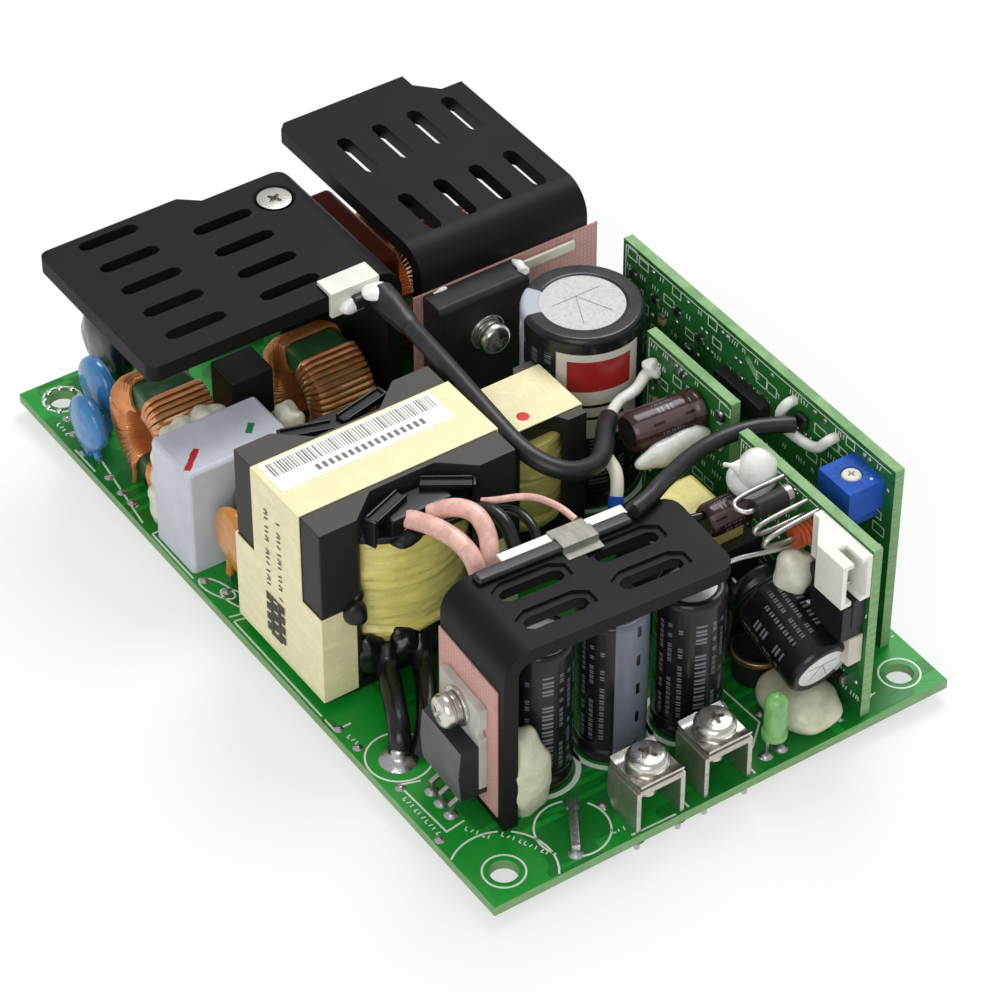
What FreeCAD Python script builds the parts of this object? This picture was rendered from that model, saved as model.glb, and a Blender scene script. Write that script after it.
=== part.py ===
"""Open frame switching power supply on a 127 x 76.2 mm board.

Millimetres, +Z up. The origin is the centre of the mounting-hole pattern on the
board's underside. +X points to the output terminals, -X to the mains input.
Every function returns the solids of one named piece, in place.
"""
import FreeCAD
import Part
import math
import os
from FreeCAD import Vector

# Main board
board_length = 127.0
board_width = 76.2
board_thickness = 1.6
mount_edge = 4.75
mount_hole_radius = 2.0
joint_radius = 1.1
lead_tip_radius = 0.45
lead_tip_drop = 1.9
fillet_height = 0.5
fillet_radius = 1.0
seat_gap = 0.05

# Heatsink over the mains side, folded down along its +Y edge
input_sink_top = 34.6
input_sink_thickness = 2.6
input_sink_left = -53.4
input_sink_right = -21.6
input_sink_front = -37.8
input_sink_leg_face = 3.9
input_sink_bend = 4.0
input_sink_step = 2.4
input_sink_corner = 1.5
input_slot_pitch = 6.1
input_slot_length = 9.8
input_slot_width = 2.1
input_slot_first = (-51.0, -27.4)
input_slot_second_row = 15.55
input_screw_spot = (-45.6, -2.6)
input_screw_radius = 3.15
input_screw_cone = 1.8
input_screw_shank = 1.45
input_screw_reach = 6.0
post_radius = 2.9
post_bore = 1.5
post_bore_spare = 0.4

# Heatsink over the primary side, folded down along its +X edge
primary_sink_top = 34.6
primary_sink_thickness = 2.5
primary_sink_left = -60.6
primary_sink_leg_face = -21.3
primary_sink_front = 7.2
primary_sink_back = 36.4
primary_sink_bend = 5.0
primary_slot_pitch = 6.2
primary_slot_length = 10.0
primary_slot_width = 2.2
primary_slot_first = (-47.5, 13.2)
primary_slot_second_column = 16.5

# Heatsink over the output capacitors, folded down along its -Y edge and set askew
output_sink_top = 33.0
output_sink_thickness = 2.2
output_sink_corner = (52.8, -29.3)
output_sink_width = 16.4
output_sink_reach = 36.0
output_sink_bend = 4.2
output_sink_turn = -3.4
output_sink_round = 2.6
output_slot_length = 9.8
output_slot_width = 2.3
output_slot_rows = (10.8, 25.5)
output_slot_columns = (4.8, 10.9)
slot_dish_margin = 1.1
slot_dish_depth = 0.5

# Insulating sheets between heatsink legs and power devices
sheet_thickness = 0.25
primary_sheet_size = (32.6, 12.5)
primary_sheet_top = 28.2
output_sheet_size = (15.0, 23.0)
output_sheet_base = 3.2

# Power transistor in a large flat package on the primary leg
big_package_size = (4.8, 15.7, 21.0)
big_package_front = 7.0
big_package_base = 7.1
big_package_chamfer = 1.6
big_lead_pitch = 5.45
big_screw_height = 14.2

# Transistor in a small flat package on the output leg
small_body_size = (10.2, 4.5, 9.0)
small_body_base = 6.0
small_body_offset = 8.9
small_tab_thickness = 1.3
small_tab_height = 6.4
small_lead_pitch = 2.54
small_screw_rise = 3.6
small_lead_reach = 4.4

# Pan-head clamp screws with spring and flat washers
clamp_head_radius = 2.5
clamp_head_height = 1.9
clamp_washer_radius = 2.9
clamp_washer_thickness = 0.6
clamp_spring_radius = 2.3
clamp_spring_thickness = 0.9
clamp_shank_radius = 1.5
clamp_hole_radius = 1.7
clamp_body_hole = 1.8

# Bridge rectifier on the inner side of the primary leg
bridge_size = (3.4, 22.0, 18.0)
bridge_front = 9.0
bridge_base = 6.0

# Main transformer, a pot-shaped ferrite core set on end
core_length = 31.8
core_width = 21.8
core_height = 30.2
core_centre = (9.05, -20.65)
core_base = 3.5
core_beam = 4.5
core_window_radius = 13.6
core_post_radius = 6.7
core_foot_length = 6.0
core_waist = 13.8
core_waist_length = 10.4
tape_thickness = 0.25
belt_width = 12.3
winding_radius = 13.0
winding_gap = 0.6
flange_thickness = 1.2
bobbin_lug_reach = 6.0
bobbin_lug_gap = 0.2
secondary_lead_radius = 1.6
secondary_pad = (33.5, -33.4)

# Second magnetic piece, a smaller core of the same kind
choke_core_size = (13.9, 14.6)
choke_core_centre = (6.35, 4.6)
choke_core_top = 27.8
choke_core_height = 22.0
choke_beam = 3.0
choke_belt_width = 10.6
choke_winding_radius = 6.7
choke_window_radius = 6.95
choke_waist = 9.6

# Line chokes, two windings each on a toroid that stands on edge
line_core_outer = 8.6
line_core_inner = 4.6
line_core_width = 8.7
line_wire = 0.85
line_turns = 14
line_gap_angle = 14.0
front_line_centre = (-33.9, -29.05, 11.5)
rear_line_centre = (-29.1, -5.9, 11.3)

# Toroid of the power-factor stage, hidden under the primary heatsink
boost_core_outer = 11.2
boost_core_inner = 6.2
boost_core_width = 10.5
boost_centre = (-41.5, 20.2, 14.6)
boost_turns = 16

# Box capacitors and black filter block: low corner and size
line_film_corner = (-24.3, -37.3)
line_film_size = (10.4, 17.4, 18.6)
filter_block_corner = (-34.4, -21.3)
filter_block_size = (6.4, 7.0, 18.4)
rail_film_corner = (-51.5, 4.6)
rail_film_size = (20.0, 5.8, 26.2)
rail_film_edge = 0.8

# Disc parts: radius, thickness and centre
blue_disc_radius = 4.6
blue_disc_thickness = 3.4
blue_disc_centres = ((-45.4, -36.1, 7.4), (-50.0, -31.6, 9.6))
orange_disc_radius = 5.2
orange_disc_thickness = 3.2
orange_disc_centre = (-8.2, -33.4, 9.4)
green_disc_radius = 5.6
green_disc_thickness = 3.6
green_disc_centre = (-8.1, -28.6, 10.2)
black_disc_radius = 6.2
black_disc_thickness = 5.0
black_disc_centre = (-57.4, -25.6, 9.6)
disc_lead_pitch = 5.0
disc_lead_radius = 0.35

# Mains input header and fuse at the board's -X edge
inlet_size = (8.0, 15.8, 7.2)
inlet_edge = 0.3
inlet_front = -9.0
inlet_pin_pitch = 7.92
inlet_pin_height = 9.4
inlet_wall = 1.0
fuse_radius = 2.6
fuse_length = 20.0
fuse_edge = 6.0
fuse_front = 10.5
fuse_cap_length = 5.0
fuse_height = 3.4

# Standing capacitors: radius, height, centre
bulk_radius = 9.0
bulk_height = 31.5
bulk_centre = (-1.8, 21.7)
output_cap_radius = 5.0
output_cap_height = 25.0
output_cap_centres = ((45.4, -18.9), (46.4, -7.4), (48.8, 3.7))
drum_radius = 3.9
drum_height = 5.0
drum_centre = (47.3, 17.2)

# Lying capacitors: radius, and the centres of their two ends
lying_cap_radius = 5.0
lying_cap_front = (60.1, 17.9, 11.7)
lying_cap_length = 16.0
lying_cap_tilt = 17.0
upper_brown_radius = 3.0
upper_brown_ends = ((18.7, 14.9, 26.0), (19.5, 26.5, 26.0))
lower_brown_radius = 2.5
lower_brown_ends = ((38.4, 13.6, 24.6), (38.4, 22.9, 24.6))

# Auxiliary transformer between the heatsink and the upright boards
aux_corner = (24.2, 9.2)
aux_size = (15.6, 13.4, 20.2)
aux_rim = 1.6
aux_rim_height = 3.2

# Upright boards, parallel to XZ: first x, last x, front face y, top z
upright_thickness = 1.6
card_pin_pitch = 8.5
control_board = (-9.4, 53.3, 34.3, 34.2)
sense_board = (6.6, 26.6, 26.9, 31.0)
fan_board = (32.8, 62.5, 23.4, 32.2)
control_slot = (21.6, 30.9, 3.6, 1.2)

# Axial parts on the fan board: x and z of the upper one
axial_spot = (45.9, 31.2)
axial_radius = 1.35
axial_length = 6.4
axial_stand = 0.9
wirewound_spot = (49.8, 27.0)
wirewound_radii = (1.25, 1.7)
wirewound_length = 3.3
wirewound_ribs = 4

# Trimmer on the control board
trimmer_size = (6.9, 6.0, 4.9)
trimmer_left = 44.3
trimmer_top = 31.5
rotor_radius = 1.5
rotor_clearance = 0.06
rotor_depth = 1.0
rotor_stand = 0.15
rotor_slot = (0.5, 2.4, 0.5)

# Two-pin fan header on the fan board
header_size = (11.1, 5.0, 7.6)
header_left = 51.4
header_tail = (1.2, 1.5)
header_slope = 4.1
header_base = 24.2
header_wall = 0.8
header_depth = 5.0
header_pin_pitch = 2.5
header_pin_width = 0.64
header_notch = (3.6, 1.4)

# Output screw terminals
terminal_size = (6.8, 8.0, 7.4)
terminal_sheet = 0.8
terminal_edges = (0.3, 0.5)
terminal_fronts = (-15.05, -3.7)
terminal_head_radius = 3.0
terminal_head_height = 2.1
terminal_shank_radius = 1.7
terminal_hole_radius = 1.9
terminal_shank_length = 4.6
terminal_plate = 0.55
terminal_plate_side = 7.2

# Indicator lamp
lamp_edge = 2.4
lamp_row = 9.5
lamp_radius = 1.6
lamp_flange = 1.85
lamp_base = 4.8
lamp_top = 12.5
lamp_lead_pitch = 2.54

# Flat link by the output edge
link_edge = 2.0
link_front = -23.7
link_reach = (-7.6, 4.7)
link_width = 1.2
link_thickness = 0.5
link_rise = 1.1

# Sleeved sensor leads: radius and route
mains_sleeve_radius = 1.4
output_sleeve_radius = 1.2
sleeve_sides = 5
clip_corner = (-24.6, -8.6)
clip_size = (3.1, 8.2, 3.6)
clip_wall = 0.8
mains_lead_route = (
    (-18.9, -1.0, 33.0),
    (-11.0, -1.6, 33.0),
    (-1.0, -2.2, 33.0),
    (9.5, -2.8, 32.5),
    (19.4, -2.7, 31.1),
    (24.1, 0.7, 29.6),
    (24.0, 5.9, 28.3),
    (20.4, 9.9, 27.4),
    (17.0, 12.2, 26.6),
    (14.0, 15.1, 25.6),
)
output_lead_route = (
    (33.6, 32.6, 29.8),
    (32.1, 29.8, 30.0),
    (30.7, 26.1, 30.0),
    (30.4, 21.4, 30.1),
    (31.8, 16.0, 30.8),
    (34.4, 11.2, 32.2),
    (37.0, 7.0, 33.9),
    (38.8, 3.8, 34.2),
    (39.6, 0.5, 34.3),
)
strip_size = (1.8, 19.4, 0.4)
strip_start = 9.4
sensor_head_start = 4.4
sensor_head_inset = 0.55
sensor_head_size = (2.2, 24.0, 1.0)
patch_span = (17.2, 5.6)
patch_thickness = 0.12

board_top = board_thickness
half_length = board_length / 2
half_width = board_width / 2
inlet_corner = (-half_length + inlet_edge, inlet_front)
fuse_start = (-half_length + fuse_edge, fuse_front)
terminal_corners = tuple((half_length - gap - terminal_size[0], y)
                         for gap, y in zip(terminal_edges, terminal_fronts))
lamp_centre = (half_length - lamp_edge, lamp_row)
link_end = (half_length - link_edge, link_front)
link_start = (link_end[0] + link_reach[0], link_end[1] + link_reach[1])
X, Y, Z = Vector(1, 0, 0), Vector(0, 1, 0), Vector(0, 0, 1)


# Basic forms

def vec(point):
    """Turn a tuple of three numbers into a vector."""
    return Vector(*point)


def box(low, size):
    """Return a block from its low corner and its size."""
    return Part.makeBox(size[0], size[1], size[2], Vector(*low))


def rod(radius, length, base, axis=Z):
    """Return a cylinder from its base centre along an axis."""
    return Part.makeCylinder(radius, length, base, axis)


def fuse(shapes):
    """Join shapes into one and clean away the seams."""
    joined = shapes[0]
    if len(shapes) > 1:
        joined = joined.fuse(shapes[1:])
    return joined.removeSplitter()


def cut(shape, tools):
    """Take tools away from a shape."""
    return shape.cut(Part.makeCompound(tools)) if tools else shape


def prism(points, travel):
    """Sweep a closed outline of points along a vector."""
    outline = Part.makePolygon([vec(p) for p in points] + [vec(points[0])])
    return Part.Face(outline).extrude(travel)


def turned(profile, base, axis=Z, sides=0):
    """Turn a wall profile of (radius, height) pairs about an axis through base.

    With a number of sides the wall is made of flat bands; without, it is round.
    """
    if sides:
        solid = polyhedron([ring_points(Z * h, r, r, sides) for r, h in profile if r > 0])
    else:
        points = [Vector(r, 0, h) for r, h in profile]
        solid = Part.Face(Part.makePolygon(points + [points[0]])).revolve(Vector(), Z, 360)
    solid.Placement = FreeCAD.Placement(base, FreeCAD.Rotation(Z, axis))
    return solid


def peg(radius, length, base, axis=Z, sides=12):
    """Return a flat-sided rod from its base centre along an axis."""
    return turned([(radius, 0), (radius, length)], base, axis, sides)


def polyhedron(rings):
    """Close a solid through rings of points with flat faces between them."""
    count = len(rings[0])
    faces = [Part.Face(Part.makePolygon(ring + [ring[0]])) for ring in (rings[0], rings[-1])]
    for low, high in zip(rings, rings[1:]):
        for i in range(count):
            j = (i + 1) % count
            quad = [low[i], low[j], high[j], high[i], low[i]]
            faces.append(Part.Face(Part.makePolygon(quad)))
    solid = Part.Solid(Part.makeShell(faces))
    if solid.Volume < 0:
        solid.reverse()
    return solid


def ring_points(centre, radius_x, radius_y, sides, turn=0.5):
    """Return a level polygon of points about a centre."""
    angles = [2 * math.pi * (i + turn) / sides for i in range(sides)]
    return [centre + Vector(radius_x * math.cos(a), radius_y * math.sin(a), 0) for a in angles]


def stack(centre, levels, sides, stretch=1.0):
    """Return a faceted turned form from (radius, height) levels."""
    base = vec(centre)
    rings = [ring_points(base + Z * h, r, r * stretch, sides) for r, h in levels]
    return polyhedron(rings)


def wire_run(points, radius, sides=6):
    """Return a bent wire with flat sides and mitred corners."""
    spots = [vec(p) for p in points]
    runs = [(b - a).normalize() for a, b in zip(spots, spots[1:])]
    helper = Z if abs(runs[0].z) < 0.9 else X
    side = runs[0].cross(helper).normalize()
    other = runs[0].cross(side)
    angles = [2 * math.pi * (i + 0.5) / sides for i in range(sides)]
    ring = [spots[0] + side * (radius * math.cos(a)) + other * (radius * math.sin(a)) for a in angles]
    rings = [ring]
    for k in range(1, len(spots)):
        run = runs[k - 1]
        normal = run if k == len(spots) - 1 else (run + runs[k]).normalize()
        step = [(spots[k] - p).dot(normal) / run.dot(normal) for p in rings[-1]]
        rings.append([p + run * s for p, s in zip(rings[-1], step)])
    return polyhedron(rings)


def route_wire(points):
    """Join straight runs with tangent arcs, as large as the runs allow."""
    spots = [vec(p) for p in points]
    edges, radii, start = [], [], spots[0]
    for before, corner, after in zip(spots, spots[1:], spots[2:]):
        into = (corner - before).normalize()
        away = (after - corner).normalize()
        shorter = min((corner - before).Length, (after - corner).Length)
        half_turn = into.getAngle(away) / 2
        trim = 0.45 * shorter
        radii.append(trim / math.tan(half_turn))
        first = corner - into * trim
        last = corner + away * trim
        middle = (away - into).normalize()
        rise = radii[-1] / math.cos(half_turn) - radii[-1]
        edges.append(Part.LineSegment(start, first).toShape())
        edges.append(Part.Arc(first, corner + middle * rise, last).toShape())
        start = last
    edges.append(Part.LineSegment(start, spots[-1]).toShape())
    return Part.Wire(edges), radii


def sleeve(points, radius, sides):
    """Sweep a faceted sleeve along a route and report its bends and volume."""
    path, radii = route_wire(points)
    run = (vec(points[1]) - vec(points[0])).normalize()
    side = run.cross(Z).normalize()
    other = run.cross(side)
    angles = [2 * math.pi * (i + 0.5) / sides for i in range(sides)]
    ring = [vec(points[0]) + side * (radius * math.cos(a)) + other * (radius * math.sin(a)) for a in angles]
    section = Part.makePolygon(ring + [ring[0]])
    solid = path.makePipeShell([section], True, False)
    area = Part.Face(section).Area
    print("sleeve radii", [round(r, 1) for r in radii], "length", round(path.Length, 1),
          "volume share", round(abs(solid.Volume) / (area * path.Length), 4))
    return solid


def slot_tool(centre, length, width, depth, along_y, base):
    """Return the cutter of a round-ended slot through a level plate."""
    x, y = centre
    r = width / 2
    half = length / 2 - r
    outline = []
    for way in (1, -1):
        for k in range(4):
            a = math.radians(60 * k - 90)
            u, v = way * (half + r * math.cos(a)), way * r * math.sin(a)
            outline.append((x + v, y + u, base) if along_y else (x + u, y + v, base))
    return prism(outline, Z * depth)


def corner_tool(x, y, radius, way_x, way_y, base, depth):
    """Return the cutter that rounds one free corner of a level plate."""
    cx, cy = x - way_x * radius, y - way_y * radius
    low = (min(cx, x + way_x), min(cy, y + way_y), base)
    block = box(low, (radius + 1, radius + 1, depth))
    return block.cut(peg(radius, depth + 2, Vector(cx, cy, base - 1), Z, 16))


def folded_sheet(reach, drop, thickness, bend, width, corner, along, across):
    """Return an angle of sheet metal with a round fold.

    The plate runs from corner along one way, the leg drops from the same edge, and
    the sheet is as wide as width across.
    """
    def spot(u, w):
        return corner + along * u + Z * w

    inner = bend - thickness
    lean = bend * (1 - math.sqrt(0.5))
    inner_lean = bend - inner * math.sqrt(0.5)
    edges = [
        Part.LineSegment(spot(0, -drop), spot(0, -bend)).toShape(),
        Part.Arc(spot(0, -bend), spot(lean, -lean), spot(bend, 0)).toShape(),
        Part.LineSegment(spot(bend, 0), spot(reach, 0)).toShape(),
        Part.LineSegment(spot(reach, 0), spot(reach, -thickness)).toShape(),
        Part.LineSegment(spot(reach, -thickness), spot(bend, -thickness)).toShape(),
        Part.Arc(spot(bend, -thickness), spot(inner_lean, -inner_lean), spot(thickness, -bend)).toShape(),
        Part.LineSegment(spot(thickness, -bend), spot(thickness, -drop)).toShape(),
        Part.LineSegment(spot(thickness, -drop), spot(0, -drop)).toShape(),
    ]
    return Part.Face(Part.Wire(edges)).extrude(across * width)


def output_place(shape):
    """Turn a piece drawn square at the output heatsink's corner to its skewed place."""
    placed = shape.copy()
    x, y = output_sink_corner
    placed.rotate(Vector(x, y, 0), Z, output_sink_turn)
    return placed


def output_spot(u, v):
    """Return board x and y of a point u left of and v behind the output heatsink's corner."""
    angle = math.radians(output_sink_turn)
    x, y = output_sink_corner
    return (x - u * math.cos(angle) - v * math.sin(angle),
            y - u * math.sin(angle) + v * math.cos(angle))


# Main board and solder

def main_board():
    """Drilled main board."""
    plate = box((-half_length, -half_width, 0), (board_length, board_width, board_thickness))
    holes = []
    for sx in (-1, 1):
        for sy in (-1, 1):
            spot = Vector(sx * (half_length - mount_edge), sy * (half_width - mount_edge), -1)
            holes.append(rod(mount_hole_radius, board_thickness + 2, spot))
    return cut(plate, holes)


def lead_spots():
    """Return where leads come through the board, from the pieces that own them."""
    spots = [secondary_pad, link_start, link_end]
    for x, y in output_cap_centres + (bulk_centre, drum_centre):
        spots += [(x - 2.5, y), (x + 2.5, y)]
    for x, y in terminal_corners:
        dx, dy = terminal_size[:2]
        spots += [(x + 0.6, y + 0.6), (x + dx - 0.6, y + 0.6), (x + 0.6, y + dy - 0.6),
                  (x + dx - 0.6, y + dy - 0.6)]
    spots += [(lamp_centre[0], lamp_centre[1] + s * lamp_lead_pitch / 2) for s in (-1, 1)]
    for k in (-1, 0, 1):
        spots.append(output_spot(small_body_offset + k * small_lead_pitch, -small_lead_reach))
        spots.append((primary_sink_leg_face + 2.8,
                      big_package_front + big_package_size[1] / 2 + k * big_lead_pitch))
    for x, y in (line_film_corner, ):
        spots += [(x + 5.2, y + 1.2), (x + 5.2, y + 16.2)]
    cx, cy = core_centre
    spots += [(cx + sx * 8.5, cy + k * 5.0) for sx in (-1, 1) for k in (-2, -0.7, 0.7, 2)]
    cx, cy = choke_core_centre
    spots += [(cx + sx * 5.0, cy + k * 5.0) for sx in (-1, 1) for k in (-1, 1)]
    spots += [(aux_corner[0] + sx, aux_corner[1] + 2.2 + k * 3.0) for sx in (1.5, 14.1) for k in (0, 1, 3)]
    for first, last, face, top in (control_board, sense_board, fan_board):
        count = int((last - first) / card_pin_pitch)
        spots += [(first + card_pin_pitch * (k + 0.5), face + upright_thickness / 2) for k in range(count)]
    for cx, cy, cz in (front_line_centre, rear_line_centre, boost_centre):
        spots += [(cx - 4, cy - 4), (cx + 4, cy - 4), (cx - 4, cy + 4), (cx + 4, cy + 4)]
    for cx, cy, cz in blue_disc_centres + (orange_disc_centre, green_disc_centre, black_disc_centre):
        spots += [(cx - disc_lead_pitch / 2, cy), (cx + disc_lead_pitch / 2, cy)]
    spots += [(inlet_corner[0] + 3.5, inlet_corner[1] + 3.9),
              (inlet_corner[0] + 3.5, inlet_corner[1] + 3.9 + inlet_pin_pitch)]
    spots += [(fuse_start[0], fuse_start[1] + 2.0), (fuse_start[0], fuse_start[1] + fuse_length - 2.0)]
    spots += [(primary_sink_leg_face - 4.2, bridge_front + 2.0 + 6.0 * k) for k in range(4)]
    return spots


def solder_joints():
    """Solder cones with trimmed lead tips on the underside; the supply rests on them."""
    levels = ((joint_radius, 0.0), (lead_tip_radius, -lead_tip_drop))
    return [stack((x, y, 0), levels, 4) for x, y in lead_spots()]


def solder_fillets():
    """Solder rings on the top side where bare leads enter the board."""
    spots = [output_spot(small_body_offset + k * small_lead_pitch, -small_lead_reach) for k in (-1, 0, 1)]
    spots += [(lamp_centre[0], lamp_centre[1] + s * lamp_lead_pitch / 2) for s in (-1, 1)]
    spots += [link_start, link_end]
    levels = ((fillet_radius, board_top), (0.5, board_top + fillet_height))
    fillets = [stack((x, y, 0), levels, 6) for x, y in spots]
    pad = ((2.9, board_top), (1.7, board_top + 0.9), (1.2, board_top + 1.9))
    return fillets + [stack((*secondary_pad, 0), pad, 10)]


# Heatsinks and what is clamped to them

def heatsink_input():
    """Slotted plate over the mains side with its leg along the +Y edge."""
    corner = Vector(input_sink_left, input_sink_leg_face, input_sink_top)
    sheet = folded_sheet(input_sink_leg_face - input_sink_front, input_sink_top - board_top,
                         input_sink_thickness, input_sink_bend, input_sink_right - input_sink_left,
                         corner, -Y, X)
    left = input_sink_left
    inner = left + input_sink_step
    back = input_sink_leg_face
    notch = [(left - 5, -14.6), (left, -14.6), (inner, -11.7), (inner, back - 1.7), (inner + 1.2, back + 1),
             (left - 5, back + 1)]
    tools = [prism([(x, y, board_top - 1) for x, y in notch], Z * input_sink_top)]
    x0, y0 = input_slot_first
    rows = [(x0 + k * input_slot_pitch, y0) for k in range(5)]
    rows += [(x0 + k * input_slot_pitch, y0 + input_slot_second_row) for k in range(1, 5)]
    base = input_sink_top - input_sink_thickness - 1
    for centre in rows:
        tools.append(slot_tool(centre, input_slot_length, input_slot_width, input_sink_thickness + 2, True,
                               base))
    x, y = input_screw_spot
    t = input_sink_thickness
    shank, wide = input_screw_shank + 0.15, input_screw_radius + 0.15
    cone = [(0, -1), (shank, -1), (shank, t - input_screw_cone), (wide, t), (wide, t + 1), (0, t + 1)]
    tools.append(turned(cone, Vector(x, y, input_sink_top - t), Z, 12))
    for corner_x, way in ((input_sink_left, -1), (input_sink_right, 1)):
        tools.append(corner_tool(corner_x, input_sink_front, input_sink_corner, way, -1, base, t + 2))
    return cut(sheet, tools)


def heatsink_screw():
    """Countersunk screw that holds the input heatsink's free corner to its post."""
    x, y = input_screw_spot
    t = input_sink_thickness
    shank, wide, reach = input_screw_shank, input_screw_radius, input_screw_reach
    profile = [(0, -reach), (shank, -reach), (shank, t - input_screw_cone - 0.1), (wide, t - 0.1),
               (0, t - 0.1)]
    head = turned(profile, Vector(x, y, input_sink_top - t), Z, 12)
    recess = [box((x - 0.3, y - 1.6, input_sink_top - 1.1), (0.6, 3.2, 2)),
              box((x - 1.6, y - 0.3, input_sink_top - 1.1), (3.2, 0.6, 2))]
    return cut(head, recess)


def heatsink_post():
    """Threaded hexagon post under the input heatsink's free corner."""
    x, y = input_screw_spot
    top = input_sink_top - input_sink_thickness
    post = stack((x, y, 0), ((post_radius, board_top), (post_radius, top)), 6)
    depth = input_screw_reach + post_bore_spare
    return cut(post, [peg(post_bore, depth + 1, Vector(x, y, top - depth), Z)])


def heatsink_primary():
    """Slotted plate over the primary side with its leg along the +X edge."""
    corner = Vector(primary_sink_leg_face, primary_sink_back, primary_sink_top)
    sheet = folded_sheet(primary_sink_leg_face - primary_sink_left, primary_sink_top - board_top,
                         primary_sink_thickness, primary_sink_bend, primary_sink_back - primary_sink_front,
                         corner, -X, -Y)
    left, back = primary_sink_left, primary_sink_back
    notch = [(left - 5, back - 6.7), (left + 2.8, back - 6.7), (left + 6.1, back - 3.6),
             (left + 6.1, back + 1),
             (left - 5, back + 1)]
    front = primary_sink_front
    nose = [(left - 1, front + 1.2), (left, front + 1.2), (left + 1.2, front), (left + 1.2, front - 1),
            (left - 1, front - 1)]
    base = primary_sink_top - primary_sink_thickness - 1
    tools = [prism([(x, y, base) for x, y in outline], Z * 10) for outline in (notch, nose)]
    x0, y0 = primary_slot_first
    for column in (0, primary_slot_second_column):
        for k in range(4):
            centre = (x0 + column, y0 + k * primary_slot_pitch)
            tools.append(slot_tool(centre, primary_slot_length, primary_slot_width,
                                   primary_sink_thickness + 2, False, base))
    x, y, z = clamp_spot_primary()
    tools.append(peg(clamp_hole_radius, 3 * primary_sink_thickness,
                     Vector(x - big_package_size[0], y, z) - X * (2 * primary_sink_thickness), X, 8))
    return cut(sheet, tools)


def heatsink_output():
    """Dished and slotted plate over the output capacitors with its leg at the -Y end."""
    x, y = output_sink_corner
    corner = Vector(x, y, output_sink_top)
    sheet = folded_sheet(output_sink_reach, output_sink_top - board_top, output_sink_thickness,
                         output_sink_bend, output_sink_width, corner, Y, -X)
    base = output_sink_top - output_sink_thickness - 1
    tools = []
    for u in output_slot_columns:
        for v in output_slot_rows:
            centre = (x - u, y + v)
            tools.append(slot_tool(centre, output_slot_length, output_slot_width,
                                   output_sink_thickness + 2, True, base))
            tools.append(slot_tool(centre, output_slot_length + 2 * slot_dish_margin,
                                   output_slot_width + 2 * slot_dish_margin, 2, True,
                                   output_sink_top - slot_dish_depth))
    hole_start = Vector(x - small_body_offset, y - output_sink_thickness, clamp_height_output())
    tools.append(peg(clamp_hole_radius, 3 * output_sink_thickness, hole_start, Y, 8))
    for corner_x, way in ((x, 1), (x - output_sink_width, -1)):
        tools.append(corner_tool(corner_x, y + output_sink_reach, output_sink_round, way, 1, base,
                                 output_sink_thickness + 2))
    return output_place(cut(sheet, tools))


def clamp_spot_primary():
    """Return the clamp screw's place on the outer face of the big package."""
    return (primary_sink_leg_face + sheet_thickness + big_package_size[0],
            big_package_front + big_package_size[1] / 2, big_package_base + big_screw_height)


def clamp_height_output():
    """Return the height of the clamp screw through the small package's tab."""
    return small_body_base + small_body_size[2] + small_screw_rise


def insulator_primary():
    """Insulating sheet on the primary leg."""
    width, height = primary_sheet_size
    y0 = (primary_sink_front + primary_sink_back) / 2 - width / 2
    sheet = box((primary_sink_leg_face, y0, primary_sheet_top - height), (sheet_thickness, width, height))
    strap = box((primary_sink_leg_face, y0, board_top + 2),
                (sheet_thickness, 17.6, primary_sheet_top - board_top - 2))
    x, y, z = clamp_spot_primary()
    return cut(fuse([sheet, strap]), [peg(clamp_hole_radius, 2, Vector(primary_sink_leg_face - 1, y, z), X,
                                          8)])


def insulator_output():
    """Insulating sheet on the output leg."""
    width, height = output_sheet_size
    x, y = output_sink_corner
    low = (x - small_body_offset - width / 2, y - sheet_thickness, output_sheet_base)
    sheet = box(low, (width, sheet_thickness, height))
    return output_place(cut(sheet, [peg(clamp_hole_radius, 2, Vector(x - small_body_offset, y - 1,
                                                                     clamp_height_output()), Y, 8)]))


def power_transistor_body():
    """Large moulded package with a bevelled upper edge."""
    t, w, h = big_package_size
    x0 = primary_sink_leg_face + sheet_thickness
    c = big_package_chamfer
    y0, z0 = big_package_front, big_package_base
    side = [(x0, z0), (x0 + t, z0), (x0 + t, z0 + h - c * 0.5), (x0 + t - c * 0.5, z0 + h), (x0, z0 + h)]
    body = prism([(x, y0, z) for x, z in side], Y * w)
    x, y, z = clamp_spot_primary()
    return cut(body, [peg(clamp_body_hole, 12, Vector(x - 8, y, z), X, 8)])


def power_transistor_leads():
    """Three flat leads from the large package down to the board."""
    x = primary_sink_leg_face + 2.8
    centre = big_package_front + big_package_size[1] / 2
    return [box((x - 0.3, centre + k * big_lead_pitch - 0.6, board_top),
                (0.6, 1.2, big_package_base - board_top)) for k in (-1, 0, 1)]


def output_transistor_body():
    """Small moulded package below the clamp screw."""
    w, t, h = small_body_size
    x, y = output_sink_corner
    back = y - sheet_thickness
    x0 = x - small_body_offset - w / 2
    side = [(back, 0), (back - t + 0.4, 0), (back - t, h / 2), (back - t + 0.4, h),
            (back - small_tab_thickness, h),
            (back - small_tab_thickness, 1.0), (back, 1.0)]
    return output_place(prism([(x0, sy, small_body_base + sz) for sy, sz in side], X * w))


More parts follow.
